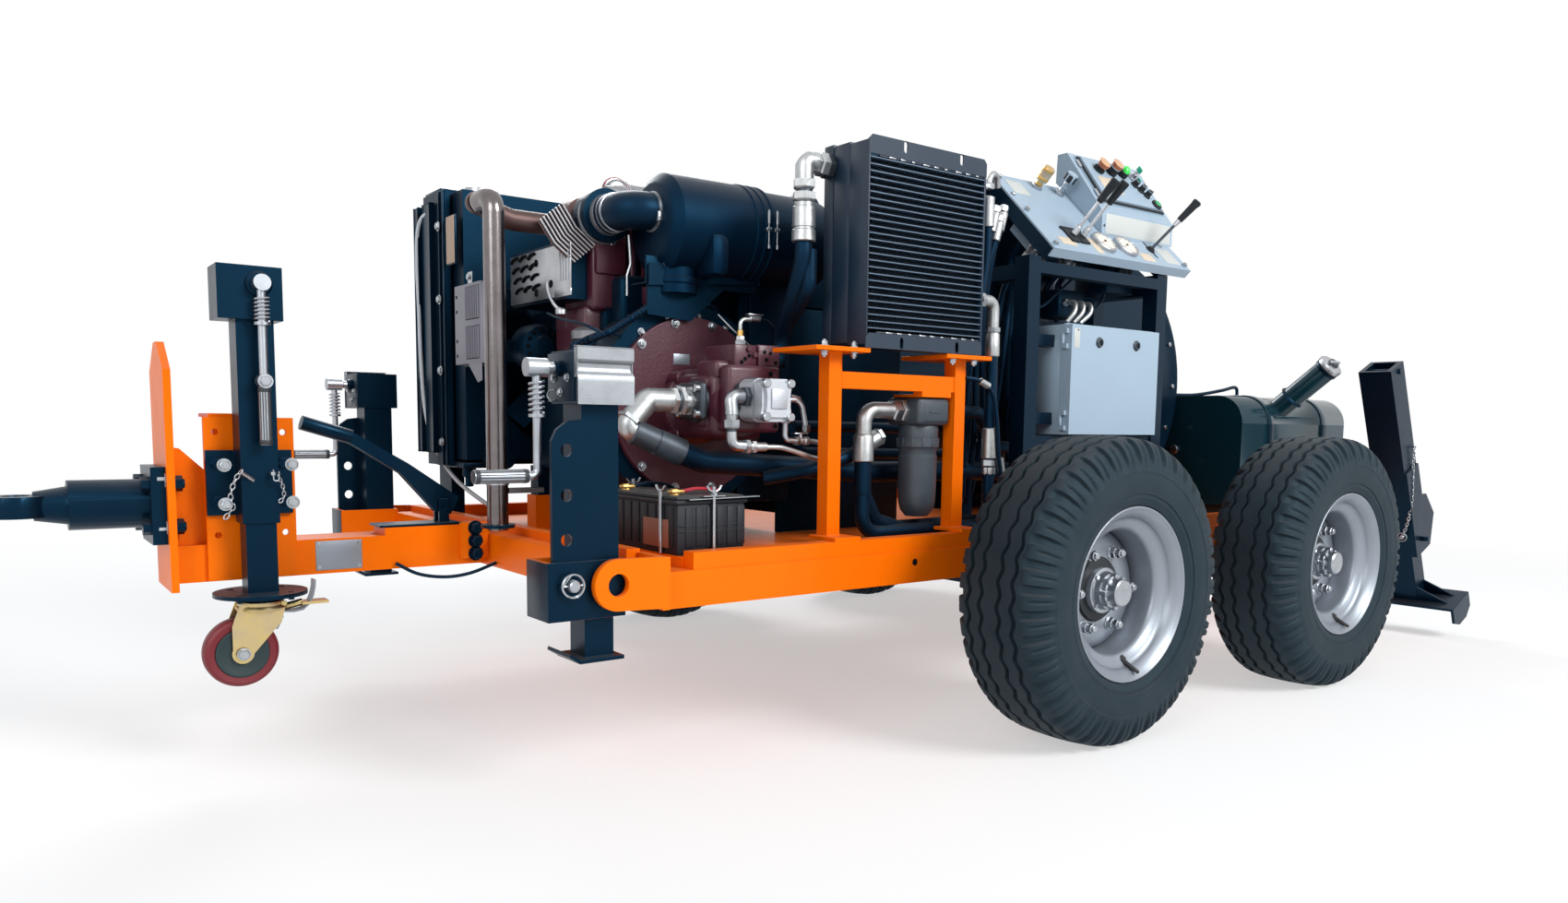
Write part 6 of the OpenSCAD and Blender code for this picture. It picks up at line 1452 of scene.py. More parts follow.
# ---------------------------------------------------------------- oil cooler
# Bar and plate aluminium cooler standing on the post plates: rows of bright flat tubes over fine dark
# fins, side tanks behind them, slotted flanges above and below, and galvanised hose fittings.
bar_edge = finish("bar_edge", (0.11, 0.16, 0.22), (0.07, 0.1, 0.14), 0.38, metallic=0.6, mottle=(60.0, 0.4))
# the navy in this near-black is painted sky reflection
tank_grey = finish("tank_grey", (0.004, 0.016, 0.036), (0.008, 0.026, 0.05), 0.4, mottle=(12.0, 0.5))
# the core's two sides across, its foot, top and front
c0, c1, cb, ct, cf = -0.576, -0.155, 0.955, 1.445, -0.742
fin_tree, given, made = new_tree("fin_bank", [("Columns", INTEGER, 60), ("Rows", INTEGER, 25),
    ("Column Pitch", FLOAT, 0.006), ("Row Pitch", FLOAT, 0.016), ("Size", VECTOR, (0.001, 0.01, 0.01)),
    ("Lean", VECTOR, (0.0, 0.0, 0.0)), ("Finish", MATERIAL, None)])
along_row, up_rows = [fin_tree.node("GeometryNodeMeshLine", {"Count": given[count],
    "Offset": fin_tree.node("ShaderNodeCombineXYZ", {axis: given[step]})}) for count, axis, step in (
    ("Columns", "X", "Column Pitch"), ("Rows", "Z", "Row Pitch"))]
# every other fin leans the other way
odd = fin_tree.math("MODULO", fin_tree.node("GeometryNodeInputIndex"), 2.0)
lean = fin_tree.node("ShaderNodeVectorMath", {0: given["Lean"], "Scale": fin_tree.math("SUBTRACT",
    times(fin_tree, odd, 2.0), 1.0)}, operation="SCALE")
copies = fin_tree.node("GeometryNodeInstanceOnPoints", {"Points": along_row,
    "Instance": fin_tree.node("GeometryNodeMeshCube", {"Size": given["Size"]}), "Rotation": lean})
for spots in (up_rows, given["Seeds"]):
    copies = fin_tree.node("GeometryNodeInstanceOnPoints", {"Points": spots, "Instance": copies})
real_copies(fin_tree, copies, given["Finish"], made)
rows, pitch = 26, 0.0157
grown("cooler_tubes", fin_tree, [(((c0 + c1) / 2 - 0.012, cf + 0.03, cb + 0.048), up_way)],
    {"Columns": 1, "Rows": rows, "Row Pitch": pitch, "Size": (c1 - c0 - 0.036, 0.056, 0.0024), "Finish": bar_edge},
    "chassis")
grown("cooler_fins", fin_tree, [((c0 + 0.008, cf + 0.04, cb + 0.048 + pitch / 2), up_way)],
    {"Columns": 78, "Rows": rows - 1, "Column Pitch": (c1 - c0 - 0.042) / 77, "Row Pitch": pitch,
    "Size": (0.0006, 0.05, pitch - 0.0026), "Lean": (0.0, 0.26, 0.0), "Finish": tank_grey}, "chassis")
core = Stock()
core.slab((c0 + 0.004, cf + 0.058, cb + 0.01), (c1 - 0.03, -0.6, ct - 0.01), black_alloy, 0.001)
for x in (c0, c1 - 0.024):
    core.slab((x, -0.672, cb + 0.014), (x + 0.034, -0.612, ct - 0.004), tank_grey, 0.004)
    core.slab((x + 0.001, -0.6755 if x < -0.3 else -0.6955, cb + 0.02), (x + 0.032, -0.6715, ct - 0.012),
        bar_edge, 0.001)
core.slabs(tank_grey, [
    ((c1 - 0.03, -0.741, cb + 0.006), (c1 - 0.024, -0.69, ct - 0.01), 0.001),
    ((c0 + 0.0005, -0.741, cb + 0.01), (c0 + 0.0045, -0.672, ct - 0.01), 0.001),
    ((c0 - 0.001, -0.612, cb + 0.006), (c0 + 0.06, -0.577, ct), 0.003)])
core.slab((c0 + 0.04, -0.605, cb + 0.02), (c1 - 0.01, -0.58, ct - 0.02), black_alloy, 0.002)
slot = [(0.006 * cos(radians(a)), 0.009 * sin(radians(a)) + (0.005 if a < 180 else -0.005))
    for a in range(0, 360, 24)]
for z in (ct - 0.042, cb):
    top = z > 1.2
    low, high = (z, ct + 0.001) if top else (cb + 0.001, cb + 0.036)
    outline = [(c0 - 0.001, low), (c1 - 0.024, low), (c1 - 0.024, high - 0.01), (c1 - 0.034, high),
        (c0 + 0.009, high), (c0 - 0.001, high - 0.01)]
    mid = (low + high) / 2 + (0.008 if top else -0.002)
    holes = [[(x + u, mid + v) for u, v in slot] for x in (c0 + 0.115, c1 - 0.115)]
    core.sheet(outline, 0.0035, tank_grey, side_on(cf + 0.004), holes)
    core.slab((c0 + 0.034, cf + 0.002, low - 0.004 if top else high), (c1 - 0.034, cf + 0.06,
        low if top else high + 0.004), tank_grey, 0.001)
for k in range(9):
    x = c0 + 0.062 + k * 0.037
    for z in (ct - 0.045, cb + 0.038):
        core.slab((x, cf - 0.0008, z - 0.0015), (x + 0.021 - 0.006 * (k % 3), cf + 0.004, z + 0.002),
            shield_steel, 0.0008)
# hose fittings: upper left elbow, lower right elbow, brass plug and drain
elbow = (c0 - 0.088, -0.61)
core.nut((c0 - 0.003, -0.6, 1.394), front_way, 0.052, 0.018, dark_steel)
core.nut((c0 - 0.024, -0.606, 1.394), front_way, 0.05, 0.022, galvanised)
core.nut((c0 - 0.05, -0.608, 1.394), front_way, 0.044, 0.02, galvanised)
core.pipe(bent([(c0 - 0.06, -0.61, 1.394), (*elbow, 1.394), (*elbow, 1.33)], 0.02, 10), 0.0225, galvanised, 30)
core.nut((*elbow, 1.35), down, 0.048, 0.022, galvanised)
core.rod((*elbow, 1.328), (*elbow, 1.318), 0.02, dark_steel, 28)
core.nut((*elbow, 1.32), down, 0.05, 0.02, galvanised)
core.lathe((*elbow, 1.3), down, [(0, 0.02), (0.004, 0.0245), (0.012, 0.0245), (0.014, 0.027), (0.06, 0.028),
    (0.062, 0.0262), (0.066, 0.0262), (0.068, 0.0285), (0.092, 0.029), (0.094, 0.027), (0.094, 0.018)],
    galvanised, 32)
core.pipe(smooth_way([(*elbow, 1.215), (c0 - 0.088, -0.606, 1.16), (c0 - 0.078, -0.56, 1.08), (-0.625, -0.48, 1.0),
    (-0.625, -0.47, 0.95), (-0.64, -0.47, 0.93), (-0.678, -0.47, 0.928)], 8), 0.0205, hose_rubber, 24)
pipe_x = c1 + 0.074
down_pipe = (pipe_x, -0.69)
core.nut((c1 - 0.001, -0.69, 1.105), back_way, 0.036, 0.014, galvanised)
core.nut((c1 + 0.016, -0.69, 1.105), back_way, 0.034, 0.018, bright_zinc)
core.pipe(bent([(c1 + 0.03, -0.69, 1.105), (*down_pipe, 1.105), (*down_pipe, 1.0)], 0.04, 8), 0.0155, galvanised, 28)
core.nut((*down_pipe, 1.036), down, 0.034, 0.014, bright_zinc)
core.lathe((*down_pipe, 1.022), down, [(0, 0.016), (0.004, 0.0188), (0.06, 0.0195), (0.062, 0.0185), (0.064, 0.015)],
    galvanised, 30)
core.nut((c1 - 0.001, -0.664, 1.045), back_way, 0.02, 0.01, brass)
core.rod((c1 + 0.009, -0.664, 1.045), (c1 + 0.026, -0.664, 1.045), 0.0075, brass, 16)
core.done("oil_cooler_made", "chassis", "black_aluminium", stands_for=["oil_cooler"])
stand_bolts = []
for x in (-0.69, -0.6, -0.268, -0.19):
    stand_bolts.append(((x, -0.726, 0.9555), up_way))
    stand_bolts.append(((x, -0.726, 0.943), down))
for x in (-0.325, -0.262):
    stand_bolts.append(((x, -0.664, 0.8455), down))
bolts("stand_bolts", stand_bolts, 0.013, height=0.008, stud=0.004)
welds("stand_welds", [[(x + 0.002, -0.701, 0.5095), (x + 0.038, -0.701, 0.5095)] for x in (-0.652, -0.23)] + [
    [(-0.6125, -0.6985, 0.862), (-0.6125, -0.6985, 0.898)], [(-0.2295, -0.6985, 0.862), (-0.2295, -0.6985, 0.898)]],
    0.003)

# ---------------------------------------------------------------- return filter and its hoses
# Grey cast head with an arrow boss, ribbed collar and a long screwed bowl; galvanised elbow and
# ferrules on the hoses, and the braided hose that lies along the deck edge.
cast_grey = finish("filter_grey", (0.032, 0.044, 0.058), (0.06, 0.075, 0.09), 0.4, grain=(500.0, 0.3),
    mottle=(18.0, 0.4))
fx, fy = -0.29, -0.63
filt = Stock(moved(fx, fy, 0))
filt.slabs(cast_grey, [
    ((-0.058, -0.062, 0.775), (0.052, 0.062, 0.846), 0.012, None, 3),
    ((-0.04, -0.0635, 0.782), (0.048, -0.05, 0.838), 0.006, None, 3),
    ((-0.02, -0.0655, 0.806), (0.01, -0.063, 0.811), 0.001)])
filt.lathe((0, 0, 0.776), down, [(0, 0.05), (0.01, 0.053), (0.034, 0.052), (0.036, 0.0548), (0.056, 0.0552),
    (0.06, 0.052), (0.066, 0.049), (0.078, 0.0488), (0.08, 0.0505), (0.17, 0.05), (0.204, 0.048), (0.222, 0.043),
    (0.238, 0.03), (0.24, 0.0)], cast_grey, 56)
for a in around(12):
    filt.slab((-0.003, 0.05, -0.012), (0.003, 0.0566, 0.012), cast_grey, 0.0014,
        moved(0, 0, 0.73) @ Matrix.Rotation(a, 4, "Z"))
filt.nut((0, 0, 0.54), down, 0.024, 0.004, cast_grey)
filt.nut((-0.056, 0, 0.812), front_way, 0.052, 0.016, galvanised)
filt.rod((-0.07, 0, 0.812), (-0.08, 0, 0.812), 0.022, dark_steel, 28)
filt.nut((-0.078, 0, 0.812), front_way, 0.048, 0.022, bright_zinc)
filt.pipe(bent([(-0.098, 0, 0.812), (-0.19, 0, 0.812), (-0.19, 0, 0.74)], 0.045, 8), 0.0205, galvanised, 32)
filt.lathe((-0.19, 0, 0.752), down, [(0, 0.0205), (0.003, 0.024), (0.01, 0.0262), (0.068, 0.0268), (0.07, 0.025),
    (0.07, 0.018)], galvanised, 36)
filt.pipe(bent([(-0.19, 0, 0.69), (-0.19, 0, 0.6), (-0.14, 0.01, 0.53), (-0.05, 0.02, 0.505), (0.39, 0.055, 0.505),
    (0.71, 0.175, 0.56), (0.89, 0.175, 0.69), (0.89, 0.2797, 0.69)], 0.05, 8), 0.0215, hose_rubber, 28)
filt.nut((0.05, 0, 0.812), back_way, 0.046, 0.018, bright_zinc)
filt.lathe((0.068, 0, 0.812), back_way, [(0, 0.018), (0.003, 0.02), (0.04, 0.0205), (0.042, 0.0185), (0.042, 0.014)],
    galvanised, 28)
filt.slab((0.096, -0.022, 0.786), (0.104, -0.004, 0.818), shield_steel, 0.001)
ang = Vector((-0.118, 0.03, 0.742))
filt.nut(ang, (0.8, 0.0, 0.25), 0.04, 0.014, galvanised)
filt.lathe(ang, (-0.86, 0.02, -0.42), [(0, 0.018), (0.003, 0.0225), (0.06, 0.0235), (0.062, 0.0215), (0.064, 0.016)],
    galvanised, 30)
filt.pipe(smooth_way([(-0.165, 0.03, 0.715), (-0.22, 0.04, 0.69), (-0.33, 0.06, 0.66), (-0.42, 0.11, 0.64)], 8),
    0.018, hose_rubber, 24)
filt.done("filter_made", "chassis", "black_aluminium", stands_for=["return_filter"])

lines = Stock()
lines.pipe(bent([(*down_pipe, 0.965), (*down_pipe, 0.7)], 0.03), 0.0165, hose_rubber, 24)
lines.lathe((*down_pipe, 0.77), down, [(0, 0.017), (0.003, 0.0205), (0.08, 0.021), (0.082, 0.019), (0.084, 0.015)],
    galvanised, 28)
lines.nut((*down_pipe, 0.684), down, 0.036, 0.018, bright_zinc)
lines.nut((*down_pipe, 0.664), down, 0.032, 0.02, galvanised)
lines.pipes(hose_rubber, [
    (bent([(*down_pipe, 0.65), (*down_pipe, 0.56), (0.02, -0.6, 0.545), (0.88, -0.6, 0.545), (0.88, -0.3503, 0.545)],
        0.06, 8), 0.016, 24),
    (bent([(fx + 0.106, fy, 0.812), (-0.06, fy, 0.812), (0.06, -0.575, 0.715), (0.82, -0.575, 0.71),
        (0.82, -0.3503, 0.71)], 0.04, 8), 0.017, 24)])
lines.lathe((pipe_x + 0.006, -0.655, 1.385), down, [(0, 0.008), (0.004, 0.0165), (0.08, 0.0175), (0.082, 0.015)],
    galvanised, 26)
lines.nut((pipe_x + 0.006, -0.655, 1.402), up_way, 0.024, 0.016, bright_zinc)
lines.pipe(smooth_way([(pipe_x + 0.006, -0.655, 1.412), (pipe_x + 0.01, -0.655, 1.434), (pipe_x + 0.03, -0.65, 1.446),
    (pipe_x + 0.052, -0.64, 1.44), (pipe_x + 0.066, -0.632, 1.42)], 6), 0.0085, galvanised, 16)
lines.pipe(smooth_way([(pipe_x + 0.006, -0.655, 1.305), (pipe_x + 0.002, -0.654, 1.2), (pipe_x - 0.012, -0.64, 1.06),
    (pipe_x - 0.016, -0.6, 0.9), (pipe_x - 0.01, -0.56, 0.7), (pipe_x + 0.02, -0.52, 0.56)], 8), 0.0125,
    hose_rubber, 18)
for k, (x, y, z) in enumerate(((-0.03, -0.64, 1.32), (-0.005, -0.632, 1.3), (0.02, -0.624, 1.33))):
    lines.nut((x, y, z + 0.03), (0.35, 0, 1), 0.022, 0.018, bright_zinc)
    lines.lathe((x, y, z + 0.028), (-0.3, 0, -1), [(0, 0.008), (0.002, 0.0135), (0.052, 0.014), (0.054, 0.012)],
        galvanised, 22)
    lines.pipe(smooth_way([(x - 0.014, y, z - 0.02), (x - 0.03, y + 0.01, z - 0.1), (x - 0.03, y + 0.04, z - 0.3),
        (x - 0.01 + 0.02 * k, y + 0.08, z - 0.55), (x + 0.03, y + 0.12, z - 0.75)], 7), 0.0095, hose_rubber, 14)
lines.pipe(smooth_way([(-0.19, -0.7, 0.9), (-0.15, -0.712, 0.892), (-0.105, -0.716, 0.862), (-0.085, -0.716, 0.8),
    (-0.07, -0.714, 0.7), (-0.055, -0.712, 0.64), (-0.04, -0.7, 0.56)], 8), 0.0058, hose_rubber, 14)
lines.lathes(galvanised, [
    ((-0.15, -0.7125, 0.8925), (0.92, -0.02, -0.35), [(0, 0.0062), (0.002, 0.0095), (0.034, 0.01), (0.036, 0.007)],
        18),
    ((-0.052, -0.711, 0.65), (-0.25, 0, 1), [(0, 0.0062), (0.002, 0.0095), (0.04, 0.01), (0.042, 0.007)], 18)])
lines.done("return_lines", "chassis", "hose_rubber")
wrap = Stock()
deck_way = smooth_way([(-0.775, -0.694, 0.4775), (-0.56, -0.688, 0.4775), (-0.3, -0.693, 0.4775),
    (-0.12, -0.688, 0.4775), (0.14, -0.69, 0.4775), (0.4, -0.69, 0.4775)], 60)
turns = []
for k, p in enumerate(deck_way[:-1]):
    for j in range(3):
        t = (k + j / 3) * 2.1
        turns.append(Vector(p).lerp(Vector(deck_way[k + 1]), j / 3) + Vector((0, 0.0128 * cos(t), 0.0128 * sin(t))))
wrap.pipe(turns, 0.0022, hose_rubber, 6)
wrap.done("deck_hose_wrap", "chassis", "hose_rubber")

# ---------------------------------------------------------------- control panel
# Folded grey panel leaning back at forty five degrees: two gauges with bezels, a two-lever valve with
# rubber boots, a slotted speed lever, brass and star knobs, bolted corners and bare label places.
pale_tag = finish("pale_tag", (0.62, 0.52, 0.4), (0.5, 0.44, 0.36), 0.5, mottle=(40.0, 0.4))
dial_white = finish("dial_white", (0.75, 0.72, 0.62), (0.62, 0.6, 0.52), 0.35, coat=0.8, dust=0.0)
cream_paint = finish("cream_paint", (0.5, 0.52, 0.5), (0.42, 0.45, 0.45), 0.42, dust=0.08)
black_rubber = finish("black_rubber", (0.006, 0.01, 0.014), (0.02, 0.024, 0.03), 0.6, specular=0.3)
panel_at = moved(0.118, -0.722, 1.259) @ Matrix.Rotation(radians(45), 4, "X")
lid_at = moved(0.431, -0.644, 1.414) @ Matrix.Rotation(radians(54.3), 4, "X")


def on_panel(x, y, z):
    """Shared place of a point given on the leaning panel."""
    return panel_at @ Vector((x, y, z))


panel_up = (panel_at.to_3x3() @ Vector((0, 0, 1))).normalized()
panel_down = -panel_up
fit = Stock(panel_at)
for x in (0.272, 0.378):
    fit.lathe((x, 0.064, 0.0051), up_way, [(0, 0.0435), (0.002, 0.0435), (0.01, 0.0425), (0.0125, 0.04),
        (0.013, 0.0365), (0.0105, 0.0355), (0.01, 0.0)], shield_steel, 60)
    fit.lathe((x, 0.064, 0.0156), up_way, [(-0.001, 0.035), (0.0002, 0.035), (0.0002, 0.0)], dial_white, 48)
    for k in range(11):
        a = radians(-135 + 27 * k)
        fit.slab((-0.0005, 0.027, 0.0), (0.0005, 0.0335, 0.0006), black_rubber, 0.0001,
            moved(x, 0.064, 0.0158) @ Matrix.Rotation(-a, 4, "Z"))
    fit.slab((-0.0007, -0.008, 0.0), (0.0007, 0.028, 0.0008), red_plastic, 0.0002,
        moved(x, 0.064, 0.0166) @ Matrix.Rotation(radians(118), 4, "Z"))
    fit.lathe((x, 0.064, 0.016), up_way, [(0, 0.0038), (0.002, 0.0034), (0.0022, 0.0)], black_rubber, 16)
fit.slabs(pale_tag, [
    ((0.062, 0.028, 0.0051), (0.128, 0.062, 0.0058), 0.0002),
    ((0.205, 0.012, 0.0051), (0.236, 0.08, 0.0057), 0.0002),
    ((0.43, 0.014, 0.0051), (0.49, 0.052, 0.0057), 0.0002)])
fit.slabs(cream_paint, [
    ((0.552, 0.02, 0.0051), (0.624, 0.092, 0.0057), 0.0002),
    ((0.04, 0.255, 0.0051), (0.11, 0.32, 0.0057), 0.0002)])
for x in (0.134, 0.176):
    fit.slab((x - 0.019, 0.045, 0.0051), (x + 0.019, 0.1, 0.011), black_rubber, 0.002)
fit.slabs(black_rubber, [
    ((0.11, 0.1, 0.0051), (0.2, 0.112, 0.011), 0.002),
    ((0.515, 0.04, 0.0052), (0.523, 0.066, 0.006), 0.001),
    ((0.515, 0.092, 0.0052), (0.523, 0.128, 0.006), 0.001)])
fit.lathe((0.519, 0.078, 0.0052), up_way, [(0, 0.016), (0.002, 0.016), (0.002, 0.0125)], black_rubber, 32)
# brass needle valve knob and black star knob on a chrome stem
fit.nut((0.178, 0.312, 0.005), up_way, 0.03, 0.01, bright_zinc)
fit.lathe((0.178, 0.312, 0.016), up_way, [(0, 0.0115), (0.012, 0.0115), (0.013, 0.014), (0.02, 0.015)], brass, 24)
grip(fit, (0.178, 0.312, 0.032), (0.178, 0.312, 0.0745), 0.0176, brass, 22, 0.001)
fit.nut((0.272, 0.3, 0.005), up_way, 0.026, 0.01, bright_zinc)
fit.lathe((0.272, 0.3, 0.014), up_way, [(0, 0.0085), (0.014, 0.0085), (0.016, 0.006), (0.026, 0.006), (0.028, 0.0082),
    (0.038, 0.0082)], bright_zinc, 20)
for a in around(5):
    fit.lathe((0.272 + 0.0105 * cos(a), 0.3 + 0.0105 * sin(a), 0.0525), up_way,
        [(0, 0.0), (0, 0.007), (0.002, 0.0086), (0.02, 0.0086), (0.0235, 0.0062), (0.024, 0.0)], black_rubber, 16)
fit.lathe((0.272, 0.3, 0.0525), up_way, [(0, 0.0), (0, 0.012), (0.0225, 0.012), (0.0245, 0.009), (0.025, 0.0)],
    black_rubber, 20)
fit.done("panel_fittings", "chassis", "grey_paint")
bolts("panel_screws", [(on_panel(x, y, 0.01), panel_up) for x, y in ((0.018, 0.02), (0.018, 0.17), (0.018, 0.322),
    (0.638, 0.02))] + [(on_panel(0.02, 0.245, 0.0051), panel_up), (on_panel(0.6, 0.11, 0.0051), panel_up)], 0.011,
    height=0.003, stud=0.001)
for n, x, y, tilt in (("a", 0.134, 0.072, 12), ("b", 0.176, 0.072, 12), ("c", 0.519, 0.078, 22)):
    at = panel_at @ moved(x, y, 0.004) @ Matrix.Rotation(radians(tilt), 4, "Y") @ Matrix.Rotation(radians(-6), 4, "X")
    ball = panel_at @ Vector((x, y, 0.006))
    way = (at.to_3x3() @ Vector((0, 0, 1))).normalized()
    arm = Stock()
    arm.lathe(ball - panel_up * 0.0118, panel_up, [(0, 0.0), (0.001, 0.004), (0.004, 0.009), (0.0118, 0.0119),
        (0.02, 0.0092), (0.0236, 0.0)], black_rubber, 28)
    if n != "c":
        arm.lathe(at @ Vector((0, 0, 0.012)), way, [(0, 0.0098), (0.002, 0.0098), (0.022, 0.0086), (0.024, 0.0068),
            (0.026, 0.0)], bright_zinc, 24)
        arm.nut(at @ Vector((0, 0, 0.03)), way, 0.014, 0.01, bright_zinc)
    arm.rod(at @ Vector((0, 0, 0.01)), at @ Vector((0, 0, 0.124)), 0.0045,
        shield_steel if n != "c" else dark_steel, 20)
    profile = [(0, 0.006), (0.002, 0.0098), (0.006, 0.01), (0.066, 0.0136), (0.071, 0.0138),
        (0.0738, 0.011), (0.074, 0.0)]
    if n == "c":
        arm.lathe(at @ Vector((0, 0, 0.096)), way, [(0, 0.0046), (0.001, 0.006), (0.022, 0.0078), (0.023, 0.0)],
            shield_steel, 20)
        profile = [(0, 0.0078), (0.002, 0.0096), (0.058, 0.0118), (0.066, 0.0136), (0.072, 0.0138),
            (0.0735, 0.012), (0.0735, 0.0)]
        arm.lathe(at @ Vector((0, 0, 0.1905)), way, [(0, 0.0), (0, 0.01), (0.001, 0.01), (0.0016, 0.0)],
            shield_steel, 20)
    arm.lathe(at @ Vector((0, 0, 0.1165)), way, profile, black_rubber, 28)
    arm.done("lever_made_" + n, "valve_lever_" + n, "black_plastic", stands_for=["lever_" + n])

# ---------------------------------------------------------------- control box
# Wedge shaped box on the panel with a gasketed lid: two mushroom buttons, a green lamp, selectors, a
# green key in its lock and a green push button.
lamp_green = finish("lamp_green", (0.03, 0.85, 0.08), (0.02, 0.6, 0.06), 0.2, coat=1.0, dust=0.0)
mushroom = finish("mushroom", (0.34, 0.1, 0.035), (0.2, 0.05, 0.02), 0.3, coat=0.3, dust=0.05)
# paler colour on the buttons' top faces: painted highlight
mushroom_top_highlight = finish("mushroom_top_highlight", (0.58, 0.32, 0.16), (0.42, 0.22, 0.11), 0.3, coat=0.4)
key_green = finish("key_green", (0.01, 0.36, 0.22), (0.01, 0.26, 0.17), 0.35)
lid = Stock(lid_at)
u0, u1, v0, v1 = 0.034, 0.324, 0.044, 0.212
for a, b in (((u0 - 0.01, v0 - 0.008), (u1 + 0.01, v0)), ((u0 - 0.01, v1), (u1 + 0.01, v1 + 0.008)),
        ((u0 - 0.01, v0), (u0, v1)), ((u1, v0), (u1 + 0.01, v1))):
    lid.slab((*a, 0.0031), (*b, 0.0075), black_rubber, 0.001)
lid.slab((0.062, 0.075, 0.0131), (0.15, 0.14, 0.0137), pale_tag, 0.0002)
lid.lathe((0.205, 0.17, 0.03), up_way, [(0, 0.0145), (0.004, 0.015), (0.012, 0.012), (0.016, 0.006), (0.0165, 0.0)],
    lamp_green, 28)
lid.lathes(black_rubber, [
    ((0.205, 0.17, 0.0131), up_way, [(0, 0.017), (0.016, 0.017), (0.018, 0.015)], 28),
    ((0.15, 0.17, 0.0131), up_way, [(0, 0.019), (0.01, 0.019), (0.012, 0.0155), (0.026, 0.0145)], 32)])
lid.lathe((0.15, 0.17, 0.0345), up_way, [(0, 0.0), (0, 0.013), (0.002, 0.0178), (0.012, 0.0208), (0.0165, 0.02)],
    mushroom, 36)
lid.lathe((0.15, 0.17, 0.0505), up_way, [(0, 0.02), (0.002, 0.015), (0.0028, 0.0)], mushroom_top_highlight, 36)
for k in range(3):
    c = (0.246 + k * 0.016, 0.136 - k * 0.02)
    lid.lathe((*c, 0.0131), up_way, [(0, 0.0135), (0.003, 0.0135), (0.005, 0.0098), (0.0185, 0.0094),
        (0.0215, 0.008)], black_rubber, 28)
    lid.slab((-0.0018, -0.0085, 0.0205), (0.0018, 0.0085, 0.0252), shield_steel if k else key_green, 0.0006,
        moved(*c, 0.013) @ Matrix.Rotation(radians(30 * k), 4, "Z"))
lid.lathes(black_rubber, [
    ((0.304, 0.062, 0.0131), up_way, [(0, 0.0185), (0.004, 0.0185), (0.006, 0.016), (0.006, 0.0134)], 32),
    ((0.09, 0.17, 0.0131), up_way, [(0, 0.019), (0.007, 0.019), (0.009, 0.0155), (0.009, 0.0134)], 32)])
lid.lathe((0.26, 0.17, 0.0131), up_way, [(0, 0.016), (0.005, 0.016), (0.006, 0.014), (0.006, 0.0114)],
    shield_steel, 32)
for v in (0.07, 0.19):
    lid.rod((0.02, v - 0.014, 0.0045), (0.02, v + 0.014, 0.0045), 0.0042, shield_steel, 14)
lid.done("lid_fittings", "lid", "grey_paint")
stop = Stock(lid_at)
stop.lathe((0.09, 0.17, 0.002), up_way, [(0, 0.0), (0, 0.0128), (0.026, 0.0128)], black_rubber, 28)
stop.lathe((0.09, 0.17, 0.0278), up_way, [(0, 0.0), (0, 0.013), (0.002, 0.0175), (0.012, 0.0208), (0.016, 0.0204)],
    mushroom, 40)
stop.lathe((0.09, 0.17, 0.0436), up_way, [(0, 0.0204), (0.0018, 0.016), (0.0024, 0.0)], mushroom_top_highlight, 40)
stop.done("stop_made", "stop_push", "red_plastic", stands_for=["stop_button"])
start = Stock(lid_at)
start.lathe((0.304, 0.062, 0.002), up_way, [(0, 0.0), (0, 0.0128), (0.018, 0.0128), (0.0195, 0.0124)],
    black_rubber, 32)
start.lathe((0.304, 0.062, 0.0214), up_way, [(0, 0.0124), (0.0016, 0.01), (0.0022, 0.0)], green_plastic, 32)
start.done("start_made", "start_push", "green_plastic", stands_for=["start_button"])
key = Stock(lid_at)
key_at = moved(0.26, 0.17, 0.002)
key.lathe((0.26, 0.17, 0.002), up_way, [(0, 0.0), (0, 0.0108), (0.0285, 0.0108), (0.03, 0.0095), (0.03, 0.0)],
    shield_steel, 28)
key.slab((-0.0012, -0.0045, 0.028), (0.0012, 0.0045, 0.04), shield_steel, 0.0003, key_at)
key.slab((-0.0025, -0.0108, 0.037), (0.0025, 0.0108, 0.052), key_green, 0.0022, key_at, segments=3)
key.done("key_made", "key", "green_plastic", stands_for=["key_switch"])
side = Stock()
side.slab((0.43, -0.642, 1.346), (0.4312, -0.5, 1.352), grey_paint, 0.0003)
side.rod((0.429, -0.64, 1.372), (0.432, -0.64, 1.372), 0.004, shield_steel, 12)
side.rod((0.442, -0.6445, 1.372), (0.442, -0.6435, 1.372), 0.0045, dark_steel, 14)
side.slab((0.448, -0.645, 1.35), (0.776, -0.6438, 1.408), cream_paint, 0.0004)
side.slab((0.785, -0.6, 1.43), (0.7895, -0.56, 1.47), shield_steel, 0.001)
side.done("box_fittings", "chassis", "grey_paint")

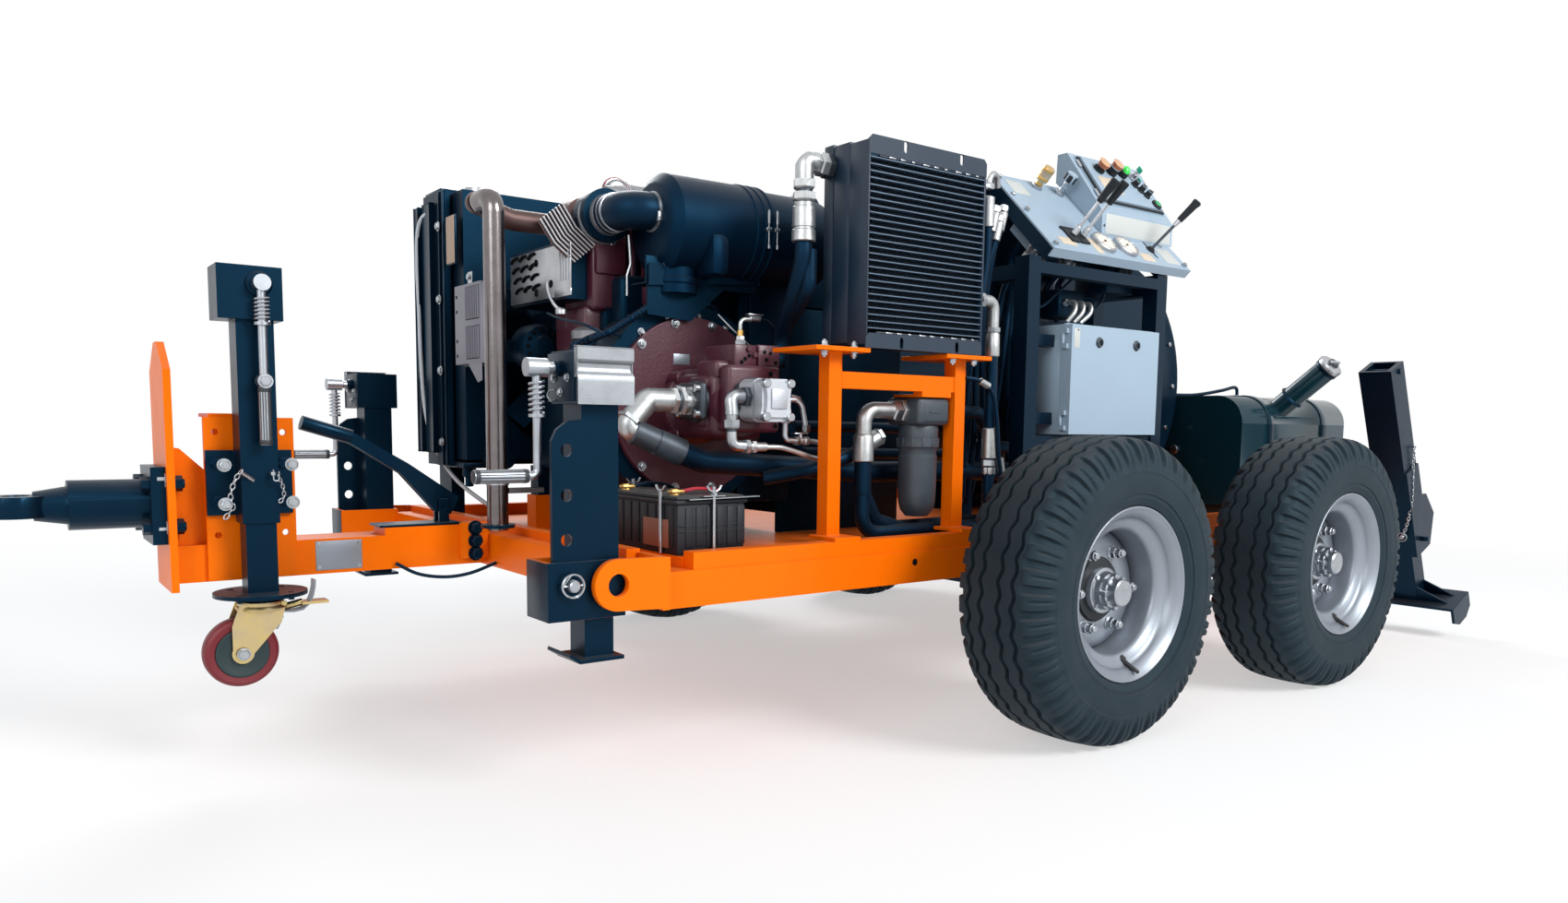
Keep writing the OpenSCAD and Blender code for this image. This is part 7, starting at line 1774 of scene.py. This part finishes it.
# ---------------------------------------------------------------- valve block and hoses under the panel
# Plated valve bank with hexagon unions, crimped hoses of two sizes running down and forward, and small
# gauge lines looping back up to the dials.
under = Stock()
for k in range(4):
    x = 0.32 + 0.052 * k
    top_of = on_panel(x - 0.118, 0.165, -0.0903)
    under.nut(top_of, panel_down, 0.034, 0.016, bright_zinc)
    under.nut(top_of + panel_down * 0.018, panel_down, 0.03, 0.014, galvanised)
    under.lathe(top_of + panel_down * 0.031, panel_down, [(0, 0.011), (0.003, 0.016), (0.052, 0.0168), (0.054, 0.015),
        (0.054, 0.0105)], galvanised, 26)
for k in range(5):
    x = 0.15 + 0.045 * k
    root = on_panel(x - 0.118, 0.085 + 0.018 * (k % 2), -0.05)
    under.nut(root, panel_down, 0.024, 0.012, bright_zinc)
    under.nut(root + panel_down * 0.014, panel_down, 0.02, 0.012, galvanised)
    under.lathe(root + panel_down * 0.026, panel_down, [(0, 0.008), (0.002, 0.0125), (0.045, 0.013), (0.047, 0.011)],
        galvanised, 22)
    tail = root + panel_down * 0.068
    under.pipe(smooth_way([tail, tail + Vector((-0.01, 0.045, -0.055)), (x - 0.03, -0.52, 1.06),
        (x - 0.05 + 0.01 * k, -0.515, 0.93), (x - 0.06 + 0.012 * k, -0.5, 0.78), (x - 0.04 + 0.012 * k, -0.49, 0.66)],
        8), 0.009, hose_rubber, 14)
for x, swing in ((0.39, -0.05), (0.496, 0.06)):
    start_at = on_panel(x - 0.118, 0.064, -0.002)
    under.lathe(start_at, panel_down, [(0, 0.0), (0, 0.033), (0.028, 0.033), (0.03, 0.03), (0.03, 0.0)],
        black_rubber, 40)
    under.nut(start_at + panel_down * 0.03, panel_down, 0.016, 0.014, brass)
    tail = start_at + panel_down * 0.044
    under.pipe(smooth_way([tail, tail + panel_down * 0.025, (x + swing - 0.05, -0.6, 1.165),
        (x + swing - 0.12, -0.59, 1.12), (x + swing - 0.18, -0.56, 1.15), (x + swing - 0.17, -0.53, 1.22)], 8), 0.004,
        hose_rubber, 10)
under.slabs(black_alloy, [
    ((0.47, -0.64, 1.18), (0.6, -0.52, 1.3), 0.006),
    ((0.6, -0.6, 1.205), (0.64, -0.54, 1.29), 0.01)])
under.lathe((0.535, -0.641, 1.24), left_way, [(0, 0.022), (0.01, 0.022), (0.012, 0.018), (0.012, 0.0)],
    dark_steel, 28)
under.slab((0.3, -0.6, 1.101), (0.42, -0.5, 1.18), black_alloy, 0.006)
for k in range(3):
    under.nut((0.322 + 0.036 * k, -0.601, 1.14), left_way, 0.02, 0.012, bright_zinc)
    under.pipe(smooth_way([(0.322 + 0.036 * k, -0.613, 1.14), (0.322 + 0.036 * k, -0.64, 1.136),
        (0.31 + 0.036 * k, -0.65, 1.11), (0.29 + 0.03 * k, -0.64, 1.08)], 6), 0.0072, galvanised, 12)
# tall thin black sheet with a top lip behind the valve bank: painted shade
under.slabs(black_alloy, [
    ((0.135, -0.462, 0.7), (0.425, -0.456, 1.466), 0.001),
    ((0.135, -0.496, 1.46), (0.425, -0.456, 1.47), 0.001)])
under.done("under_panel", "chassis", "zinc_plate")

# ---------------------------------------------------------------- cabinet
# Narrow grey switch cabinet with a lipped door, rain lip, two round locks, earth lug and bare places.
cab = Stock()
for x in (0.311, 0.487):
    cab.lathe((x, -0.74, 1.016), left_way, [(0, 0.015), (0.002, 0.015), (0.004, 0.0125), (0.0065, 0.012),
        (0.007, 0.0105)], dark_steel, 32)
    cab.lathe((x, -0.7462, 1.016), left_way, [(0, 0.0), (0, 0.0095), (0.0015, 0.0092), (0.0015, 0.0)],
        black_rubber, 28)
    # near-black slot for the key: painted shade
    cab.slab((x - 0.0014, -0.7488, 1.01), (x + 0.0014, -0.7476, 1.022), hole_shade, 0.0003)
cab.slab((0.1975, -0.7408, 0.996), (0.2225, -0.74, 1.05), cream_paint, 0.0003)
cab.rod((0.214, -0.7415, 1.046), (0.214, -0.7405, 1.046), 0.003, dark_steel, 12)
cab.rod((0.6, -0.731, 0.944), (0.606, -0.731, 0.944), 0.004, shield_steel, 12)
cab.done("cabinet_locks", "door", "grey_paint")
rim_lip = Stock()
rim_lip.slab((0.19, -0.719, 1.0605), (0.598, -0.708, 1.065), grey_paint, 0.001)
rim_lip.slab((0.47, -0.64, 1.062), (0.49, -0.625, 1.075), shield_steel, 0.002)
rim_lip.slab((0.1855, -0.7, 0.79), (0.1872, -0.56, 1.02), grey_paint, 0.0008)
for z in (0.784, 1.002):
    rim_lip.slab((0.0953, -0.6816, z - 0.0016), (0.1868, -0.6504, z + 0.0316), black_paint, 0.001)
for x in (0.26, 0.34, 0.42):
    rim_lip.nut((x, -0.64, 0.7545), down, 0.03, 0.014, black_rubber)
    rim_lip.pipe(smooth_way([(x, -0.64, 0.742), (x, -0.636, 0.7), (x - 0.03, -0.6, 0.62), (x - 0.05, -0.58, 0.52)],
        7), 0.0075, hose_rubber, 12)
rim_lip.done("cabinet_fittings", "chassis", "grey_paint")

# ---------------------------------------------------------------- tanks
# Glossy black fuel tank on two rests with two flat straps and their draw bolts, a leaning filler neck
# with a plated lever cap, and the horizontal hydraulic drum with a rolled rim, sight glass and breather.
# navy-black gloss: the blue in the colour and the pale blue specular tint are painted sky reflection
gloss_black = finish("gloss_black", (0.003, 0.022, 0.033), (0.005, 0.03, 0.043), 0.24, mottle=(3.0, 0.3),
    grain=(200.0, 0.0), dust=0.0, smudge=0.0, specular=0.3, coat=0.4, coat_roughness=0.08, tint=(0.5, 0.8, 1.0))
dress("fuel_tank", gloss_black, 0.0015)
tank_bits = Stock()
for x in (1.495, 1.885):
    for z in (0.498, 0.897):
        tank_bits.slab((x + 0.002, -0.52, z - 0.003), (x + 0.034, -0.17, z + 0.003), black_paint, 0.001)
    tank_bits.slab((x + 0.002, -0.615, 0.6), (x + 0.034, -0.612, 0.796), black_paint, 0.001)
    tank_bits.rod((x + 0.018, -0.6, 0.482), (x + 0.018, -0.6, 0.56), 0.005, bright_zinc, 14)
    tank_bits.nut((x + 0.018, -0.6, 0.486), up_way, 0.017, 0.009, bright_zinc, washer=0.002)
    tank_bits.slab((x, -0.615, 0.4985), (x + 0.036, -0.56, 0.5045), black_paint, 0.001)
tank_bits.lathes(bright_zinc, [
    ((1.3245, -0.343, 0.698), front_way, [(-0.002, 0.0), (0, 0.018), (0.004, 0.018), (0.005, 0.015), (0.01, 0.015),
        (0.011, 0.0)], 24),
    ((1.76, -0.33, 0.896), up_way, [(0, 0.034), (0.004, 0.034), (0.006, 0.028), (0.014, 0.026), (0.016, 0.0)], 28)])
tank_bits.pipe(smooth_way([(1.76, -0.33, 0.912), (1.755, -0.33, 0.935), (1.72, -0.335, 0.94), (1.64, -0.33, 0.925),
    (1.5, -0.3, 0.905), (1.34, -0.26, 0.902), (1.322, -0.25, 0.88), (1.318, -0.24, 0.7), (1.318, -0.2, 0.52)], 8),
    0.0065, hose_rubber, 12)
neck_way = Vector((0, -0.7705, 0.6374))
neck_at = Vector((1.625, -0.751, 0.998))
tank_bits.lathes(black_paint, [
    (neck_at - neck_way * 0.165, neck_way, [(0, 0.04), (0.001, 0.0475), (0.007, 0.044), (0.01, 0.0402)], 40),
    (neck_at - neck_way * 0.014, neck_way, [(0, 0.0402), (0.001, 0.0435), (0.011, 0.0435), (0.012, 0.0402)], 40)])
tank_bits.done("fuel_tank_fittings", "chassis", "black_paint")
cap = Stock()
cap.lathe(neck_at + neck_way * 0.0004, neck_way, [(0, 0.0), (0, 0.0425), (0.002, 0.044), (0.014, 0.044),
    (0.018, 0.0415), (0.02, 0.033), (0.021, 0.0)], shield_steel, 48)
neck_frame = Matrix.Translation(neck_at) @ neck_way.to_track_quat("Z", "X").to_matrix().to_4x4()
for a in around(3):
    cap.slab((0.03, -0.009, 0.002), (0.0475, 0.009, 0.016), shield_steel, 0.003,
        neck_frame @ Matrix.Rotation(a + 0.5, 4, "Z"))
cap.lathe(neck_at + neck_way * 0.02, neck_way, [(0, 0.02), (0.01, 0.018), (0.012, 0.015), (0.012, 0.0)],
    dark_steel, 28)
neck_turn = Matrix(((1, 0, 0, 0), (0, neck_way.z, neck_way.y, 0), (0, -neck_way.y, neck_way.z, 0), (0, 0, 0, 1)))
cap.slab((1.593, -0.006, 0.026), (1.657, 0.006, 0.034), bright_zinc, 0.003,
    moved(0, neck_at.y, neck_at.z) @ neck_turn)
cap.done("cap_made", "filler_cap", "black_plastic", stands_for=["tank_cap"])
drum = Stock()
for s, way in ((-1, left_way), (1, right_way)):
    drum.lathe((0.88, s * 0.35, 0.93), way, [(-0.012, 0.0), (0.0006, 0.2), (0.0012, 0.36), (0.0012, 0.409),
        (0.003, 0.414), (0.003, 0.4285), (-0.002, 0.43)], black_paint, 96)
    for a in around(16):
        drum.nut((0.88 + 0.395 * cos(a), s * 0.3508, 0.93 + 0.395 * sin(a)), way, 0.016, 0.007, bright_zinc)
drum.lathe((0.76, -0.06, 1.338), up_way, [(0, 0.06), (0.022, 0.062), (0.03, 0.062), (0.034, 0.05), (0.058, 0.048),
    (0.062, 0.04), (0.062, 0.0)], dark_steel, 40)
drum.slab((1.15, -0.353, 0.9), (1.176, -0.3505, 1.06), shield_steel, 0.001)
drum.slab((1.156, -0.3545, 0.912), (1.17, -0.3525, 1.048), dial_white, 0.001)
for p in ((0.76, 0.64, 0.038), (0.82, 0.71, 0.026), (0.88, 0.545, 0.025), (0.6, 0.69, 0.03)):
    drum.nut((p[0], -0.3508, p[1]), left_way, p[2] * 1.7, 0.012, galvanised)
drum.done("drum_fittings", "chassis", "black_paint")

# ---------------------------------------------------------------- frame hardware
# Weld beads at the joints, through bolts at the drawbar root, black sleeves round the leg sockets,
# a short air reservoir under the cross beam, and the thin brake cable.
for s, code in ((-1, "l"), (1, "r")):
    sleeve = Stock()
    pin_hole = [(-1.354 + 0.0126 * cos(a), 0.457 + 0.0126 * sin(a)) for a in around(24)]
    side_plane = side_on(-0.77 if s < 0 else 0.7715)
    sleeve.sheet([(-1.3998, 0.3864), (-1.233, 0.3864), (-1.233, 0.5012), (-1.3998, 0.5012)], 0.0014, black_paint,
        side_plane, [pin_hole])
    y0, y1 = sorted((s * 0.7712, s * 0.672))
    sleeve.slabs(black_paint, [
        ((-1.4, y0, 0.3864), (-1.3988, y1, 0.5012), 0.0003),
        ((-1.3998, s * 0.7712 if s < 0 else 0.759, 0.5008), (-1.233, -0.759 if s < 0 else 0.7712, 0.5016), 0.0003)])
    sleeve.done("leg_sleeve_" + code, "chassis", "black_paint")
hard = Stock()
hard.lathe((-1.128, -0.1, 0.374), back_way, [(0, 0.0), (0.001, 0.03), (0.006, 0.058), (0.016, 0.072), (0.024, 0.076),
    (0.078, 0.076), (0.084, 0.07), (0.084, 0.0)], black_paint, 48)
hard.lathe((-1.128, -0.1, 0.374), front_way, [(0, 0.01), (0.008, 0.01), (0.008, 0.0)], bright_zinc, 6)
hard.pipe(smooth_way([(-1.47, -0.068, 0.43), (-1.42, -0.08, 0.402), (-1.36, -0.096, 0.392), (-1.3, -0.104, 0.398),
    (-1.236, -0.112, 0.42)], 9), 0.0042, hose_rubber, 10)
hard.slab((-1.31, -0.068, 0.43), (-1.238, -0.06, 0.52), orange, 0.001)
hard.done("frame_fittings", "chassis", "orange_paint")
bolts("draw_bolts", [((-1.272, -0.0682, z), left_way) for z in (0.442, 0.474, 0.506)], 0.024, material=black_alloy,
    height=0.016, stud=0.004)
beads = [[(-1.2355, s * 0.0605, z0), (-1.2355, s * 0.0605, z0 + 0.05)] for s in (-1, 1) for z0 in (0.42, 0.46)]
beads += [[(-1.172, s * 0.7765, 0.396), (-1.172, s * 0.7765, 0.498)] for s in (-1, 1)]
beads += [[(-1.93, s * 0.0605, 0.415), (-1.93, s * 0.0605, 0.52)] for s in (-1, 1)]
beads += [[(-1.142, s * 0.7605, 0.39), (-1.142, s * 0.7605, 0.462)] for s in (-1, 1)]
welds("frame_welds", beads, 0.0038)
# near-black discs for the holes in the side beams: painted shade
holes = Stock()
for s, way in ((-1, left_way), (1, right_way)):
    for x in (-0.417, 0.47, 1.52):
        holes.lathe((x, s * 0.7602, 0.437), way, [(-0.001, 0.0085), (0.0004, 0.0085), (0.0004, 0.0)], hole_shade, 20)
holes.done("painted_beam_holes", "chassis", "orange_paint")
